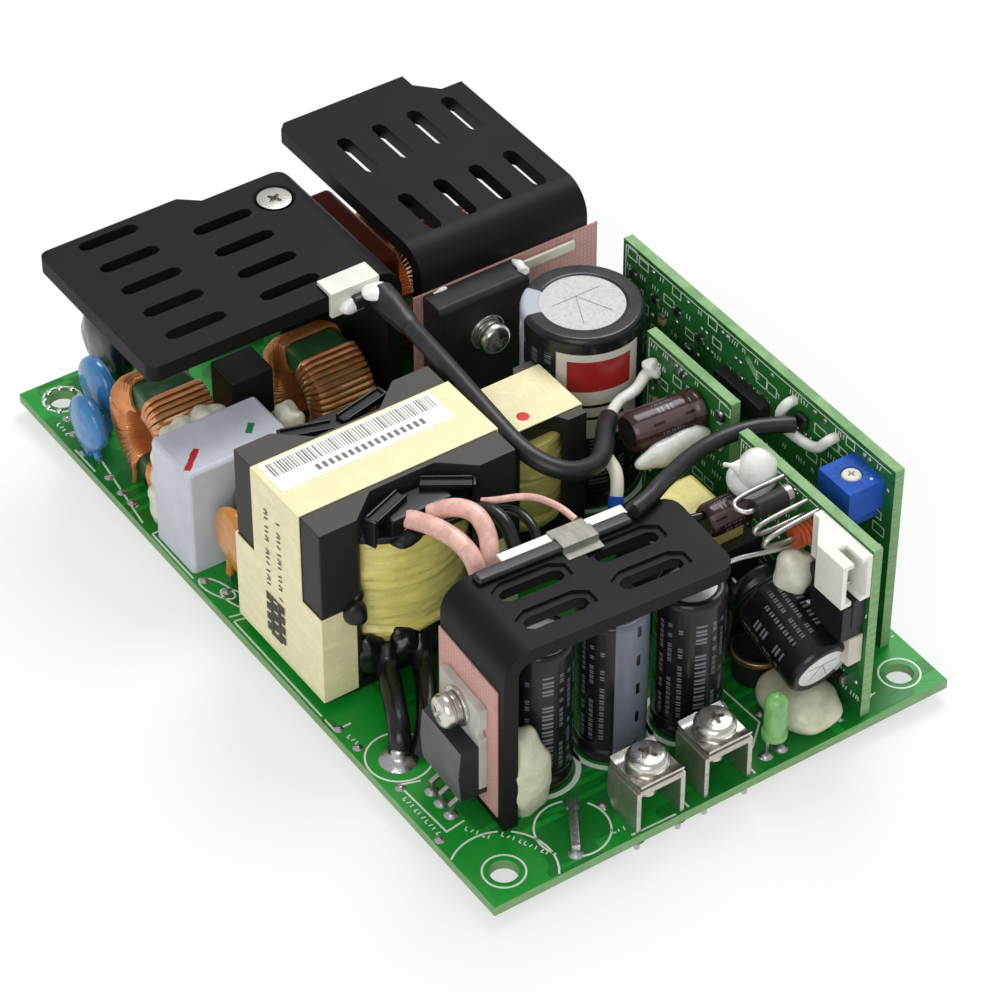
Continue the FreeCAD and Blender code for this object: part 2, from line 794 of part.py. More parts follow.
def output_transistor_tab():
    """Plated tab behind the small package."""
    w, t, h = small_body_size
    x, y = output_sink_corner
    back = y - sheet_thickness
    x0 = x - small_body_offset - w / 2
    z0 = small_body_base + 1.0
    tab = box((x0, back - small_tab_thickness, z0), (w, small_tab_thickness, h - 1.0 + small_tab_height))
    notches = [box((x0 - 1, back - 3, small_body_base + h + 1.2), (1.8, 4, 1.6)),
               box((x0 + w - 0.8, back - 3, small_body_base + h + 1.2), (1.8, 4, 1.6)),
               peg(clamp_body_hole, 6, Vector(x - small_body_offset, back - 4, clamp_height_output()), Y, 8)]
    return output_place(cut(tab, notches))


def output_transistor_leads():
    """Three bent leads below the small package."""
    x, y = output_sink_corner
    middle = y - sheet_thickness - small_body_size[1] / 2 - 0.5
    low = board_top + fillet_height
    leads = []
    for k in (-1, 0, 1):
        lx = x - small_body_offset + k * small_lead_pitch
        reach = y - small_lead_reach
        points = [(lx, middle, small_body_base), (lx, middle, 4.2), (lx, reach, 3.4), (lx, reach, low)]
        leads.append(output_place(wire_run(points, 0.5, 4)))
    return leads


def clamp_stations():
    """Return base point, outward axis and gripped thickness of each clamp screw's seat."""
    x, y, z = clamp_spot_primary()
    sx, sy = output_spot(small_body_offset, -sheet_thickness - small_tab_thickness)
    angle = math.radians(output_sink_turn)
    out = Vector(math.sin(angle), -math.cos(angle), 0)
    primary_grip = big_package_size[0] + sheet_thickness + primary_sink_thickness
    output_grip = small_tab_thickness + sheet_thickness + output_sink_thickness
    return [(Vector(x, y, z), X, primary_grip), (Vector(sx, sy, clamp_height_output()), out, output_grip)]


def clamp_washers():
    """Plain washer and spring washer under each clamp screw."""
    washers = []
    low = 0.0
    for radius, thickness in ((clamp_washer_radius, clamp_washer_thickness),
                              (clamp_spring_radius, clamp_spring_thickness)):
        high = low + thickness
        for base, axis, grip in clamp_stations():
            disc = turned([(radius, low), (radius, high)], base, axis, 10)
            washers.append(cut(disc, [peg(clamp_hole_radius, 9, base - axis, axis, 8)]))
        low = high
    return washers


def clamp_screws():
    """Cross-slotted pan-head screws with their shanks."""
    low = clamp_washer_thickness + clamp_spring_thickness
    high = low + clamp_head_height
    r = clamp_head_radius
    screws = []
    for base, axis, grip in clamp_stations():
        profile = [(0, -grip), (clamp_shank_radius, -grip), (clamp_shank_radius, low), (r, low),
                   (r, low + 0.9),
                   (r * 0.8, high - 0.35),
                   (r * 0.45, high), (0, high)]
        side = axis.cross(Z).normalize()
        tools = [recess_tool(base + axis * high, axis, a, b, 0.6, 2.7, 0.9) for a, b in ((side, Z),
                                                                                         (Z, side))]
        screws.append(cut(turned(profile, base, axis, 8), tools))
    return screws


def recess_tool(crown, axis, across, along, width, length, depth):
    """Return the cutter of one bar of a cross recess in a screw head's crown."""
    corner = crown - across * (width / 2) - along * (length / 2) - axis * depth
    a, b = across * width, along * length
    outline = Part.makePolygon([corner, corner + a, corner + a + b, corner + b, corner])
    return Part.Face(outline).extrude(axis * (depth + 1))


def bridge_rectifier():
    """Flat four-lead bridge on the inner side of the primary leg."""
    t, w, h = bridge_size
    x1 = primary_sink_leg_face - primary_sink_thickness
    body = box((x1 - t, bridge_front, bridge_base), (t, w, h))
    leads = [box((x1 - t / 2 - 0.4, bridge_front + 1.6 + 6.0 * k, board_top),
                 (0.8, 0.8, bridge_base - board_top))
             for k in range(4)]
    return fuse([body] + leads)


# Magnetics

def core_outline(half_x, half_y, foot, waist, waist_length):
    """Return the level outline of a waisted core."""
    f = half_y - foot
    w = waist / 2
    h = waist_length / 2
    quarter = [(half_x, half_y), (half_x, f), (w, h), (w, -h), (half_x, -f), (half_x, -half_y)]
    return quarter + [(-x, y) for x, y in reversed(quarter)]


def transformer_core():
    """Two ferrite halves with round posts, meeting at mid height."""
    cx, cy = core_centre
    outline = core_outline(core_width / 2, core_length / 2, core_foot_length, core_waist, core_waist_length)
    half = core_height / 2
    halves = []
    for base, beam_base in ((core_base, core_base), (core_base + half, core_base + core_height - core_beam)):
        block = prism([(cx + x, cy + y, base) for x, y in outline], Z * half)
        hollow_base = beam_base + core_beam if base == core_base else base - 1
        hollow_depth = half - core_beam + 1
        hollow = peg(core_window_radius, hollow_depth, Vector(cx, cy, hollow_base), Z, 20)
        post = peg(core_post_radius, half - core_beam, Vector(cx, cy,
                                                              hollow_base if base == core_base else base), Z)
        halves.append(block.cut(hollow).fuse(post).removeSplitter())
    return halves


def transformer_tape():
    """Tape belt round the core and tape wraps on the feet of its lower half."""
    cx, cy = core_centre
    t = tape_thickness
    hy = core_length / 2
    top = core_base + core_height
    outer = box((cx - belt_width / 2, cy - hy - t, core_base - t),
                (belt_width, core_length + 2 * t, core_height + 2 * t))
    inner = box((cx - belt_width, cy - hy, core_base), (2 * belt_width, core_length, core_height))
    pieces = [outer.cut(inner)]
    split = core_base + core_height / 2
    hx = core_width / 2
    for sign in (-1, 1):
        reach = core_foot_length - 0.6
        outline = [(-hx - t, hy - reach), (-hx, hy - reach), (-hx, hy), (hx, hy), (hx, hy - reach),
                   (hx + t, hy - reach),
                   (hx + t, hy + t), (-hx - t, hy + t)]
        points = [(cx + x, cy + sign * y, core_base - t) for x, y in outline]
        pieces.append(prism(points, Z * (split - core_base + t)))
    return fuse(pieces)


def transformer_bobbin():
    """Bobbin: tube, two flanges, pin rails and upper clips."""
    cx, cy = core_centre
    low = core_base + core_beam
    high = core_base + core_height - core_beam
    centre = Vector(cx, cy, 0)
    r_in = core_post_radius + 0.15
    tube = peg(r_in + 0.9, high - low, Vector(cx, cy, low), Z)
    flanges = [stack((cx, cy, 0), ((core_window_radius - 0.3, z),
                                   (core_window_radius - 0.3, z + flange_thickness)), 20)
               for z in (low, high - flange_thickness)]
    solids = [tube] + flanges
    hx = core_width / 2
    for sign in (-1, 1):
        reach = bobbin_lug_reach
        for y0, width in ((-4.9, 3.2), (0.9, 4.0)):
            x0 = cx + sign * (core_waist / 2 + bobbin_lug_gap)
            low_x = min(x0, x0 + sign * reach)
            solids.append(box((low_x, cy + y0, high - 1.0), (reach, width, 4.4)))
    body = fuse(solids).cut(peg(r_in, high - low + 2, Vector(cx, cy, low - 1), Z))
    return body


def transformer_rails():
    """Pin rails of the main transformer on the board, below the lower half."""
    cx, cy = core_centre
    rails = []
    for sign in (-1, 1):
        x0 = cx + sign * 8.5 - 1.6
        rails.append(box((x0, cy - 12.5, board_top), (3.2, 25.0, core_base - tape_thickness - board_top)))
    return rails


def transformer_winding():
    """Taped winding drum between the flanges."""
    cx, cy = core_centre
    low = core_base + core_beam + flange_thickness
    high = core_base + core_height - core_beam - flange_thickness
    r = winding_radius
    levels = [(r - 0.5, low), (r, low + 1.4), (r, high - 1.4), (r - 0.5, high)]
    drum = turned(levels, Vector(cx, cy, 0), Z, 18)
    return drum.cut(peg(core_post_radius + 1.2, high, Vector(cx, cy, low - 1), Z))


def transformer_leads():
    """Two thick sleeved secondary leads from the drum to their pad."""
    cx, cy = core_centre
    px, py = secondary_pad
    z = core_base + core_beam - 2.0
    first = [(cx + core_width / 2 + 1.2, cy - 6.4, z), (px - 7.1, py + 3.8, z + 0.4),
             (px - 0.9, py + 0.9, 5.4),
             (px - 0.4, py + 0.4, board_top + 2.4)]
    second = [(cx + core_width / 2 + 2.6, cy - 2.0, z), (px - 6.1, py + 8.8, z + 0.4),
              (px + 0.2, py + 4.6, 5.4),
              (px + 0.9, py + 3.0, board_top + 1.2)]
    return [wire_run(points, secondary_lead_radius, 8) for points in (first, second)]


def choke_core():
    """Ferrite of the smaller magnetic piece: top beam, base beam and two side walls."""
    cx, cy = choke_core_centre
    w, l = choke_core_size
    z0 = choke_core_top - choke_core_height
    outline = core_outline(w / 2, l / 2, 3.2, choke_waist, 5.6)
    block = prism([(cx + x, cy + y, z0) for x, y in outline], Z * choke_core_height)
    window = peg(choke_window_radius, choke_core_height - 2 * choke_beam, Vector(cx, cy, z0 + choke_beam), Z,
                 16)
    post = peg(3.2, choke_core_height - 2 * choke_beam, Vector(cx, cy, z0 + choke_beam), Z)
    return fuse([block.cut(window), post])


def choke_tape():
    """Tape belt round the smaller core."""
    cx, cy = choke_core_centre
    w, l = choke_core_size
    t = tape_thickness
    z0 = choke_core_top - choke_core_height
    outer = box((cx - choke_belt_width / 2, cy - l / 2 - t, z0 - t),
                (choke_belt_width, l + 2 * t, choke_core_height + 2 * t))
    return outer.cut(box((cx - w, cy - l / 2, z0), (2 * w, l, choke_core_height)))


def choke_winding():
    """Taped drum of the smaller core."""
    cx, cy = choke_core_centre
    z0 = choke_core_top - choke_core_height + choke_beam + 0.3
    z1 = choke_core_top - choke_beam - 0.3
    r = choke_winding_radius
    drum = turned([(r - 0.3, z0), (r, z0 + 1.0), (r, z1 - 1.0), (r - 0.3, z1)], Vector(cx, cy, 0), Z, 16)
    return drum.cut(peg(3.5, z1, Vector(cx, cy, z0 - 1), Z))


def choke_base():
    """Black pin base of the smaller core."""
    cx, cy = choke_core_centre
    w, l = choke_core_size
    z1 = choke_core_top - choke_core_height - tape_thickness
    return box((cx - w / 2, cy - l / 2, board_top), (w, l, z1 - board_top))


def toroid_core(centre, outer, inner, width):
    """Ring core on edge, its axis along Y."""
    x, y, z = centre
    base = Vector(x, y - width / 2, z)
    return peg(outer, width, base, Y, 18).cut(peg(inner, width + 2, base - Y, Y))


def toroid_winding(centre, outer, inner, width, wire, turns, gap_angle, side):
    """One winding of a toroid: a ribbed shell round half of the ring, one rib for each turn."""
    x, y, z = centre
    clear = 0.04
    start = math.radians(90 - gap_angle)
    sweep = 2 * start
    ribs = []
    for k in range(turns):
        for share, bulge in ((0.04, 0.5), (0.5, 1.0)):
            ribs.append((outer + clear + wire * bulge, start - sweep * (k + share) / turns))
    inner_reach = inner - clear - 1.6 * wire
    valleys = [(inner_reach, start - sweep * k / 6) for k in range(7)]
    outline = ribs + list(reversed(valleys))
    half = width / 2 + clear + wire
    points = [(x + side * r * math.cos(a), y - half, z + r * math.sin(a)) for r, a in outline]
    shell = prism(points, Y * (2 * half))
    ring_half = width / 2 + clear
    base = Vector(x, y - ring_half, z)
    room = peg(outer + clear, 2 * ring_half, base, Y, 18).cut(peg(inner - clear, 2 * ring_half, base, Y))
    return shell.cut(room)


def line_choke_core(centre):
    """Core of one line choke."""
    return toroid_core(centre, line_core_outer, line_core_inner, line_core_width)


def line_choke_windings(centre):
    """Both windings of one line choke."""
    return [toroid_winding(centre, line_core_outer, line_core_inner, line_core_width, line_wire, line_turns,
                           line_gap_angle, side) for side in (-1, 1)]


def toroid_feet():
    """Small bases between the windings that carry the three toroids."""
    feet = []
    for centre, outer in ((front_line_centre, line_core_outer), (rear_line_centre, line_core_outer),
                          (boost_centre, boost_core_outer)):
        x, y, z = centre
        half = outer * math.sin(math.radians(line_gap_angle)) * 0.6
        feet.append(box((x - half, y - 4.0, board_top), (2 * half, 8.0, z - outer - 0.02 - board_top)))
    return feet


def boost_core():
    """Core of the hidden power-factor toroid."""
    return toroid_core(boost_centre, boost_core_outer, boost_core_inner, boost_core_width)


def boost_winding():
    """Winding of the hidden toroid, in two halves."""
    return [toroid_winding(boost_centre, boost_core_outer, boost_core_inner, boost_core_width, line_wire,
                           boost_turns, line_gap_angle, side) for side in (-1, 1)]


# Capacitors and discs

def box_capacitor(corner, size, edge):
    """Box capacitor with bevelled upright and upper edges."""
    body = box((corner[0], corner[1], board_top), size)
    top = board_top + size[2]
    picked = [e for e in body.Edges if e.BoundBox.ZMax > top - 0.01]
    return body.makeChamfer(edge, picked)


def disc_part(centre, radius, thickness):
    """Dipped disc on edge, its axis along Y, with two straight leads."""
    x, y, z = centre
    half = thickness / 2
    profile = [(0, -half), (radius * 0.55, -half), (radius * 0.88, -half * 0.62), (radius, 0),
               (radius * 0.88, half * 0.62),
               (radius * 0.55, half), (0, half)]
    body = turned(profile, Vector(x, y, z), Y, 10)
    drop = math.sqrt(radius ** 2 - (disc_lead_pitch / 2) ** 2) * 0.8
    leads = []
    for sign in (-1, 1):
        lx = x + sign * disc_lead_pitch / 2
        leads.append(stack((lx, y, 0), ((disc_lead_radius, board_top), (disc_lead_radius, z - drop)), 4))
    return fuse([body] + leads)


def standing_capacitor(centre, radius, height, sides):
    """Sleeved can with a crimp groove near its base and a rolled upper rim."""
    x, y = centre
    r = radius
    dip = r - 0.5
    top = height
    profile = [(r, 0), (r, 1.6), (dip, 2.3), (r, 3.0), (r, top - 0.9), (r - 0.6, top), (r - 1.3, top),
               (r - 1.6, top - 0.4)]
    return turned(profile, Vector(x, y, board_top), Z, sides)


def lying_axis():
    """Return the direction from the lying capacitor's vent end to its lead end."""
    tilt = math.radians(lying_cap_tilt)
    return Vector(-math.cos(tilt), 0, math.sin(tilt))


def lying_capacitor():
    """Can laid over on a glue pad, vent end low and towards the output edge."""
    r = lying_cap_radius
    length = lying_cap_length
    profile = [(r - 1.6, 0.4), (r - 1.3, 0), (r - 0.6, 0), (r, 0.9), (r, length - 3.0),
               (r - 0.5, length - 2.3),
               (r, length - 1.6), (r, length)]
    return turned(profile, vec(lying_cap_front), lying_axis(), 14)


def lying_capacitor_leads():
    """Leads of the lying capacitor, bent down to the board."""
    end = vec(lying_cap_front) + lying_axis() * lying_cap_length
    leads = []
    for side in (-2.5, 2.5):
        start = end + Y * side
        out = start + lying_axis() * 1.6
        leads.append(wire_run([tuple(start), tuple(out), (out.x - 0.6, out.y, board_top)], 0.35, 4))
    return leads


def small_can(ends, radius):
    """Small sleeved can between two end points."""
    a, b = vec(ends[0]), vec(ends[1])
    length = (b - a).Length
    r = radius
    profile = [(r - 0.9, 0.25), (r - 0.6, 0), (r, 0.5), (r, length - 2.2), (r - 0.35, length - 1.8),
               (r, length - 1.4),
               (r, length)]
    return turned(profile, a, b - a, 10)


def drum_inductor():
    """Small open drum inductor with flanges."""
    r = drum_radius
    h = drum_height
    profile = [(r, 0), (r, 1.0), (r - 0.7, 1.2), (r - 0.7, h - 1.2), (r, h - 1.0), (r, h)]
    return turned(profile, Vector(*drum_centre, board_top), Z, 12)


def aux_transformer():
    """Auxiliary transformer: dark core block."""
    w, d, h = aux_size
    return box((aux_corner[0], aux_corner[1], board_top), (w, d, h - aux_rim_height))


def aux_transformer_tape():
    """Yellow taped top of the auxiliary transformer."""
    w, d, h = aux_size
    x, y = aux_corner
    z = board_top + h - aux_rim_height
    body = box((x + aux_rim, y + aux_rim, z), (w - 2 * aux_rim, d - 2 * aux_rim, aux_rim_height))
    picked = [e for e in body.Edges if e.BoundBox.ZMin > z + 0.1]
    return body.makeChamfer(1.0, picked)


# Upright boards and what they carry

def upright(board):
    """Blank of one upright board."""
    first, last, face, top = board
    return box((first, face, board_top), (last - first, upright_thickness, top - board_top))


def control_card():
    """Tallest upright board, with a routed slot."""
    x, z, length, width = control_slot
    card = upright(control_board)
    face = control_board[2]
    hole = box((x - length / 2, face - 1, z - width / 2), (length, upright_thickness + 2, width))
    hole.rotate(Vector(x, face, z), Y, 38)
    return card.cut(hole)


def mounted_parts(board, cells):
    """Return small blocks on a board's front face, each from its place, width, height and depth."""
    first, last, face, top = board
    return [box((first + u, face - t, board_top + v), (w, t, h)) for u, v, w, h, t in cells]


def control_parts():
    """Surface parts on the control board."""
    cells = [(24.9, 22.6, 10.6, 3.2, 2.0)]
    cells += [(2.0 + 5.4 * k, 27.4 - 1.2 * (k % 2), 2.0, 1.2, 0.6) for k in range(4)]
    cells += [(3.2 + 6.4 * k, 21.6 + 1.6 * (k % 2), 1.3, 2.2, 0.7) for k in range(3)]
    cells += [(4.0, 12.0, 6.2, 4.8, 1.5), (48.0, 20.6, 2.2, 1.3, 0.6)]
    return mounted_parts(control_board, cells)


def sense_parts():
    """Surface parts on the sense board."""
    cells = [(2.2, 22.0, 2.0, 1.2, 0.6), (2.2, 18.0, 2.0, 1.2, 0.6), (8.2, 27.0, 1.4, 0.8, 0.5),
             (17.4, 25.0, 1.3, 2.2, 0.7), (17.4, 20.0, 1.3, 2.2, 0.7), (4.0, 8.0, 5.0, 4.0, 1.5)]
    return mounted_parts(sense_board, cells)


def fan_parts():
    """Square package, disc and coil former on the fan board."""
    cells = [(19.4, 17.2, 9.6, 5.0, 2.2), (8.6, 6.0, 5.2, 3.9, 1.6), (15.6, 11.0, 2.0, 1.2, 0.6),
            
             (15.6, 7.5, 2.0, 1.2, 0.6),
             (24.0, 4.0, 2.6, 1.6, 1.0)]
    return mounted_parts(fan_board, cells)


def axial_diode():
    """Black axial diode on the upper edge of the fan board."""
    x, z = axial_spot
    return peg(axial_radius, axial_length, Vector(x, fan_board[2] - axial_stand - axial_length, z), Y, 10)


def bare_leads():
    """Hairpin leads of the axial parts on the fan board."""
    face = fan_board[2]
    x, z = axial_spot
    front = face - axial_stand - axial_length
    wx, wz = wirewound_spot
    w_front = face - wirewound_length
    hairpins = [
        [(x, face, z), (x, face - axial_stand, z)],
        [(x, front, z), (x, front - 1.2, z), (x - 1.4, front - 2.2, z + 0.2),
         (x - 2.9, front - 1.2, z + 0.4), (x - 2.9, face, z + 0.4)],
        [(x + 2.5, face, z), (x + 2.5, face - 7.8, z - 0.2), (x + 2.5, face - 9.2, z - 1.2),
         (x + 2.5, face - 7.8, z - 2.3), (x + 2.5, face, z - 2.3)],
        [(wx + 1.0, face, z), (wx + 1.0, face - 8.0, z - 0.6), (wx + 0.8, face - 9.2, z - 1.9),
         (wx + 0.2, face - 8.0, wz + 0.9), (wx, w_front - 1.4, wz), (wx, w_front, wz)],
    ]
    return [wire_run(points, 0.4, 4) for points in hairpins]


def wirewound_part():
    """Small wirewound part with ribs, next to the fan header."""
    low, high = wirewound_radii
    pitch = wirewound_length / wirewound_ribs
    profile = []
    for k in range(wirewound_ribs):
        profile += [(low, pitch * k), (high, pitch * (k + 0.5))]
    profile += [(low, wirewound_length)]
    x, z = wirewound_spot
    return turned(profile, Vector(x, fan_board[2], z), -Y, 8)


def white_jumper():
    """White insulated jumper that stands off the control board."""
    face = control_board[2]
    points = [(31.2, face, 31.7), (31.2, face - 1.3, 31.7), (30.3, face - 1.9, 29.6),
              (31.4, face - 1.9, 27.7), (38.6, face - 1.9, 28.6), (40.5, face - 1.4, 31.5),
              (40.5, face, 31.5)]
    return wire_run(points, 0.75, 5)


def white_tail():
    """White wire end from the mains-side sensor lead to the sense board."""
    end = vec(mains_lead_route[-1])
    run = (end - vec(mains_lead_route[-2])).normalize()
    face = sense_board[2]
    points = [tuple(end + run * 0.03), tuple(end + run * 2.6), (10.3, 19.8, 24.2), (10.1, 22.8, 24.4),
             
              (9.0, 25.2, 25.8),
              (9.0, face, 25.8)]
    return wire_run(points, 0.85, 5)


def trimmer_body():
    """Trimmer housing on the control board, with a round well for its rotor."""
    w, d, h = trimmer_size
    face = control_board[2]
    body = box((trimmer_left, face - d, trimmer_top - h), (w, d, h))
    x, y = rotor_spot()
    well = rod(rotor_radius + rotor_clearance, rotor_depth + 1, Vector(x, y, trimmer_top - rotor_depth))
    return body.cut(well)


def trimmer_foot():
    """Pins and black base below the trimmer, fixed to the control board."""
    w, d, h = trimmer_size
    face = control_board[2]
    z = trimmer_top - h
    return box((trimmer_left + 1.0, face - d + 1.2, z - 2.4), (w - 2.0, d - 1.2, 2.4))


def rotor_spot():
    """Return x and y of the rotor's axis."""
    w, d, h = trimmer_size
    return trimmer_left + w / 2, control_board[2] - d / 2


def trimmer_rotor():
    """Cross-slotted rotor that turns in the trimmer's well."""
    x, y = rotor_spot()
    base = trimmer_top - rotor_depth + 0.02
    rotor = rod(rotor_radius, rotor_depth + rotor_stand - 0.02, Vector(x, y, base))
    width, length, depth = rotor_slot
    top = trimmer_top + rotor_stand - depth
    tools = [box((x - width / 2, y - length / 2, top), (width, length, 2)),
             box((x - length / 2, y - width / 2, top), (length, width, 2))]
    return cut(rotor, tools)


def fan_header():
    """White two-pin header on the fan board, its mouth towards the output edge."""
    length, depth, height = header_size
    x0 = header_left
    y1 = fan_board[2]
    y0 = y1 - depth
    z0 = header_base
    w = header_wall
    tail, thin = header_tail
    x1 = x0 + length
    outline = [(x0, y1), (x0, y1 - thin), (x0 + tail, y1 - thin), (x0 + tail + header_slope, y0),
               (x1, y0), (x1, y1)]
    shell = prism([(x, y, z0) for x, y in outline], Z * height)
    cavity = box((x1 - header_depth, y0 + w, z0 + w), (header_depth + 1, depth - 2 * w, height - 2 * w))
    reach, width = header_notch
    slots = [box((x1 - reach, y0 + depth / 2 - width / 2, z), (reach + 1, width, w + 2))
             for z in (z0 - 1, z0 + height - w - 1)]
    return cut(shell, [cavity] + slots)


def header_pins():
    """Square pins inside the fan header."""
    length, depth, height = header_size
    x0 = header_left + length - header_depth
    y = fan_board[2] - depth / 2
    z = header_base + height / 2
    s = header_pin_width
    return [box((x0, y - s / 2, z + k * header_pin_pitch / 2 - s / 2),
                (header_depth - 1.6, s, s)) for k in (-1, 1)]


# Output end

def terminal_frames():
    """Folded frames of the screw terminals, one solid each."""
    frames = []
    dx, dy, h = terminal_size
    t = terminal_sheet
    for x, y in terminal_corners:
        block = box((x, y, board_top), (dx, dy, h))
        hollow = box((x + t, y + t, board_top - 1), (dx, dy - 2 * t, h - t + 1))
        bevels = []
        for y0 in (y - 1, y + dy - t - 1):
            wedge = [(x - 0.1, y0, board_top - 1), (x + 2.2, y0, board_top - 1),
                     (x - 0.1, y0, board_top + 2.6)]
            bevels.append(prism(wedge, Y * (t + 2)))
        hole = peg(terminal_hole_radius, 3, Vector(x + dx / 2, y + dy / 2, board_top + h - 2), Z, 8)
        frames.append(cut(block, [hollow, hole] + bevels))
    return frames


def terminal_plates():
    """Square clamping plates under the terminal screws."""
    plates = []
    dx, dy, h = terminal_size
    half = terminal_plate_side / 2
    for x, y in terminal_corners:
        cx, cy = x + dx / 2, y + dy / 2
        z = board_top + h
        for k in range(2):
            plate = box((cx - half, cy - half, z + k * terminal_plate), (2 * half, 2 * half, terminal_plate))
            if k:
                plate = stack((cx, cy, 0), ((half * 1.15, z + terminal_plate),
                                            (half * 0.95, z + 2 * terminal_plate)), 8)
            plates.append(plate.cut(peg(terminal_hole_radius, 4, Vector(cx, cy, z - 1), Z, 8)))
    return plates


def terminal_screws():
    """Cross-slotted terminal screws."""
    screws = []
    dx, dy, h = terminal_size
    r = terminal_head_radius
    low = board_top + h + 2 * terminal_plate
    high = low + terminal_head_height
    for x, y in terminal_corners:
        cx, cy = x + dx / 2, y + dy / 2
        profile = [(0, low - terminal_shank_length), (terminal_shank_radius, low - terminal_shank_length),
                   (terminal_shank_radius, low), (r, low), (r, low + 1.2), (r * 0.82, high - 0.3),
                   (r * 0.5, high),
                   (0, high)]
        head = turned(profile, Vector(cx, cy, 0), Z, 8)
        tools = [box((cx - 0.35, cy - 1.7, high - 1.0), (0.7, 3.4, 2)), box((cx - 1.7, cy - 0.35, high - 1.0),
                                                                            (3.4, 0.7, 2))]
        screws.append(cut(head, tools))
    return screws


def indicator_lamp():
    """Green lamp with a domed top and a flange."""
    r = lamp_radius
    base = lamp_base
    top = lamp_top
    profile = [(0, base), (lamp_flange, base), (lamp_flange, base + 1.0), (r, base + 1.0), (r, top - r)]
    profile += [(r * math.cos(math.radians(a)), top - r + r * math.sin(math.radians(a))) for a in
                (25, 50, 75)]
    return turned(profile, Vector(*lamp_centre, 0), Z, 12)


def lamp_leads():
    """Two square leads below the lamp."""
    low = board_top + fillet_height
    return [box((lamp_centre[0] - 0.25, lamp_centre[1] + s * lamp_lead_pitch / 2 - 0.25, low),
                (0.5, 0.5, lamp_base - low))
            for s in (-1, 1)]


def flat_link():
    """Flat wire link that bridges two pads."""
    a, b = Vector(*link_start, 0), Vector(*link_end, 0)
    way = (b - a).normalize()
    side = way.cross(Z) * (link_width / 2)
    length = (b - a).Length
    low = board_top + fillet_height
    outline = [(-0.3, low), (0.4, low), (1.0, low + link_rise - 0.5), (length - 1.0, low + link_rise - 0.5),
               (length - 0.4, low),
               (length + 0.3, low), (length + 0.1, low + link_rise), (-0.1, low + link_rise)]
    return prism([tuple(a + way * s + Z * h - side) for s, h in outline], side * 2)


def inlet_header():
    """Open mains header: base, back wall and two pins."""
    w, l, h = inlet_size
    x, y = inlet_corner
    base = box((x, y, board_top), (w, l, 3.2))
    wall = box((x + w - inlet_wall, y, board_top), (inlet_wall, l, h))
    return fuse([base, wall])


def inlet_pins():
    """Square pins of the mains header."""
    x, y = inlet_corner
    return [box((x + 3.0, y + 3.4 + k * inlet_pin_pitch, board_top + 3.2),
                (1.1, 1.1, inlet_pin_height - 3.2)) for k in (0, 1)]


def fuse_body():
    """Ceramic tube of the fuse, on edge of the board."""
    x, y = fuse_start
    start = Vector(x, y + fuse_cap_length, board_top + fuse_height)
    return peg(fuse_radius - 0.15, fuse_length - 2 * fuse_cap_length, start, Y)


def fuse_caps():
    """Metal end caps of the fuse with their clips."""
    x, y = fuse_start
    caps = []
    for y0 in (y, y + fuse_length - fuse_cap_length):
        cap = peg(fuse_radius, fuse_cap_length, Vector(x, y0, board_top + fuse_height), Y)
        clip = box((x - 0.8, y0 + 1.5, board_top), (1.6, 2.0, fuse_height))
        caps.append(fuse([cap, clip]))
    return caps


# Sensor leads, clip, tape and glue

def lead_clip():
    """White clip over the input heatsink's +X edge, with the flat sensor head inside."""
    x, y = clip_corner
    w, d, h = clip_size
    t = clip_wall
    top = input_sink_top + seat_gap
    outline = [(x, top), (x + w, top), (x + w, top - h), (x + w + t, top - h), (x + w + t, top + t),
               (x, top + t)]
    return prism([(px, y, pz) for px, pz in outline], Y * d)


def mains_sensor_lead():
    """Black sleeved lead from the clip to the sense board."""
    return sleeve(mains_lead_route, mains_sleeve_radius, sleeve_sides)


def output_sensor_lead():
    """Black sleeved lead from the control board along the output heatsink's edge."""
    return sleeve(output_lead_route, output_sleeve_radius, sleeve_sides)


def output_lead_root():
    """Black root of the output sensor lead at the control board."""
    x, y, z = output_lead_route[0]
    face = control_board[2]
    return box((x - 1.2, y + 0.7, z - 1.2), (2.4, face - y - 0.7, 2.4))


def sensor_heads():
    """Flat sensor heads at the clip and along the output heatsink's edge."""
    x, y, z = mains_lead_route[0]
    edge = clip_corner[0] + clip_size[0] + clip_wall
    first = box((edge + 0.02, y - 4.6, z - 1.1), (x - 0.22 - edge, 6.4, 2.2))
    sx, sy = output_sink_corner
    left = sx - output_sink_width
    second = box((left + sensor_head_inset, sy + sensor_head_start, output_sink_top), sensor_head_size)
    return [first, output_place(second)]


def sensor_strip():
    """Flat white strip that lies on the output heatsink's edge."""
    w, l, t = strip_size
    x, y = output_sink_corner
    return output_place(box((x - output_sink_width + sensor_head_inset - w - 0.05, y + strip_start,
                             output_sink_top), (w, l, t)))


def tape_patch():
    """Silver tape over the strip and the flat sensor head."""
    x, y = output_sink_corner
    start, length = patch_span
    edge = x - output_sink_width
    t = patch_thickness
    over_strip = output_sink_top + strip_size[2] + 0.02
    over_head = output_sink_top + sensor_head_size[2] + 0.02
    over_sink = output_sink_top + 0.02
    near = sensor_head_inset - 0.03
    far = near + sensor_head_size[0] + 0.06
    low = [(near - strip_size[0] - 0.3, over_strip), (near, over_strip), (near, over_head), (far, over_head),
           (far, over_sink), (far + 1.6, over_sink)]
    high = [(far + 1.6, over_sink + t), (far + t, over_sink + t), (far + t, over_head + t),
            (near - t, over_head + t),
            (near - t, over_strip + t), (near - strip_size[0] - 0.3, over_strip + t)]
    return output_place(prism([(edge + u, y + start, w) for u, w in low + high], Y * length))


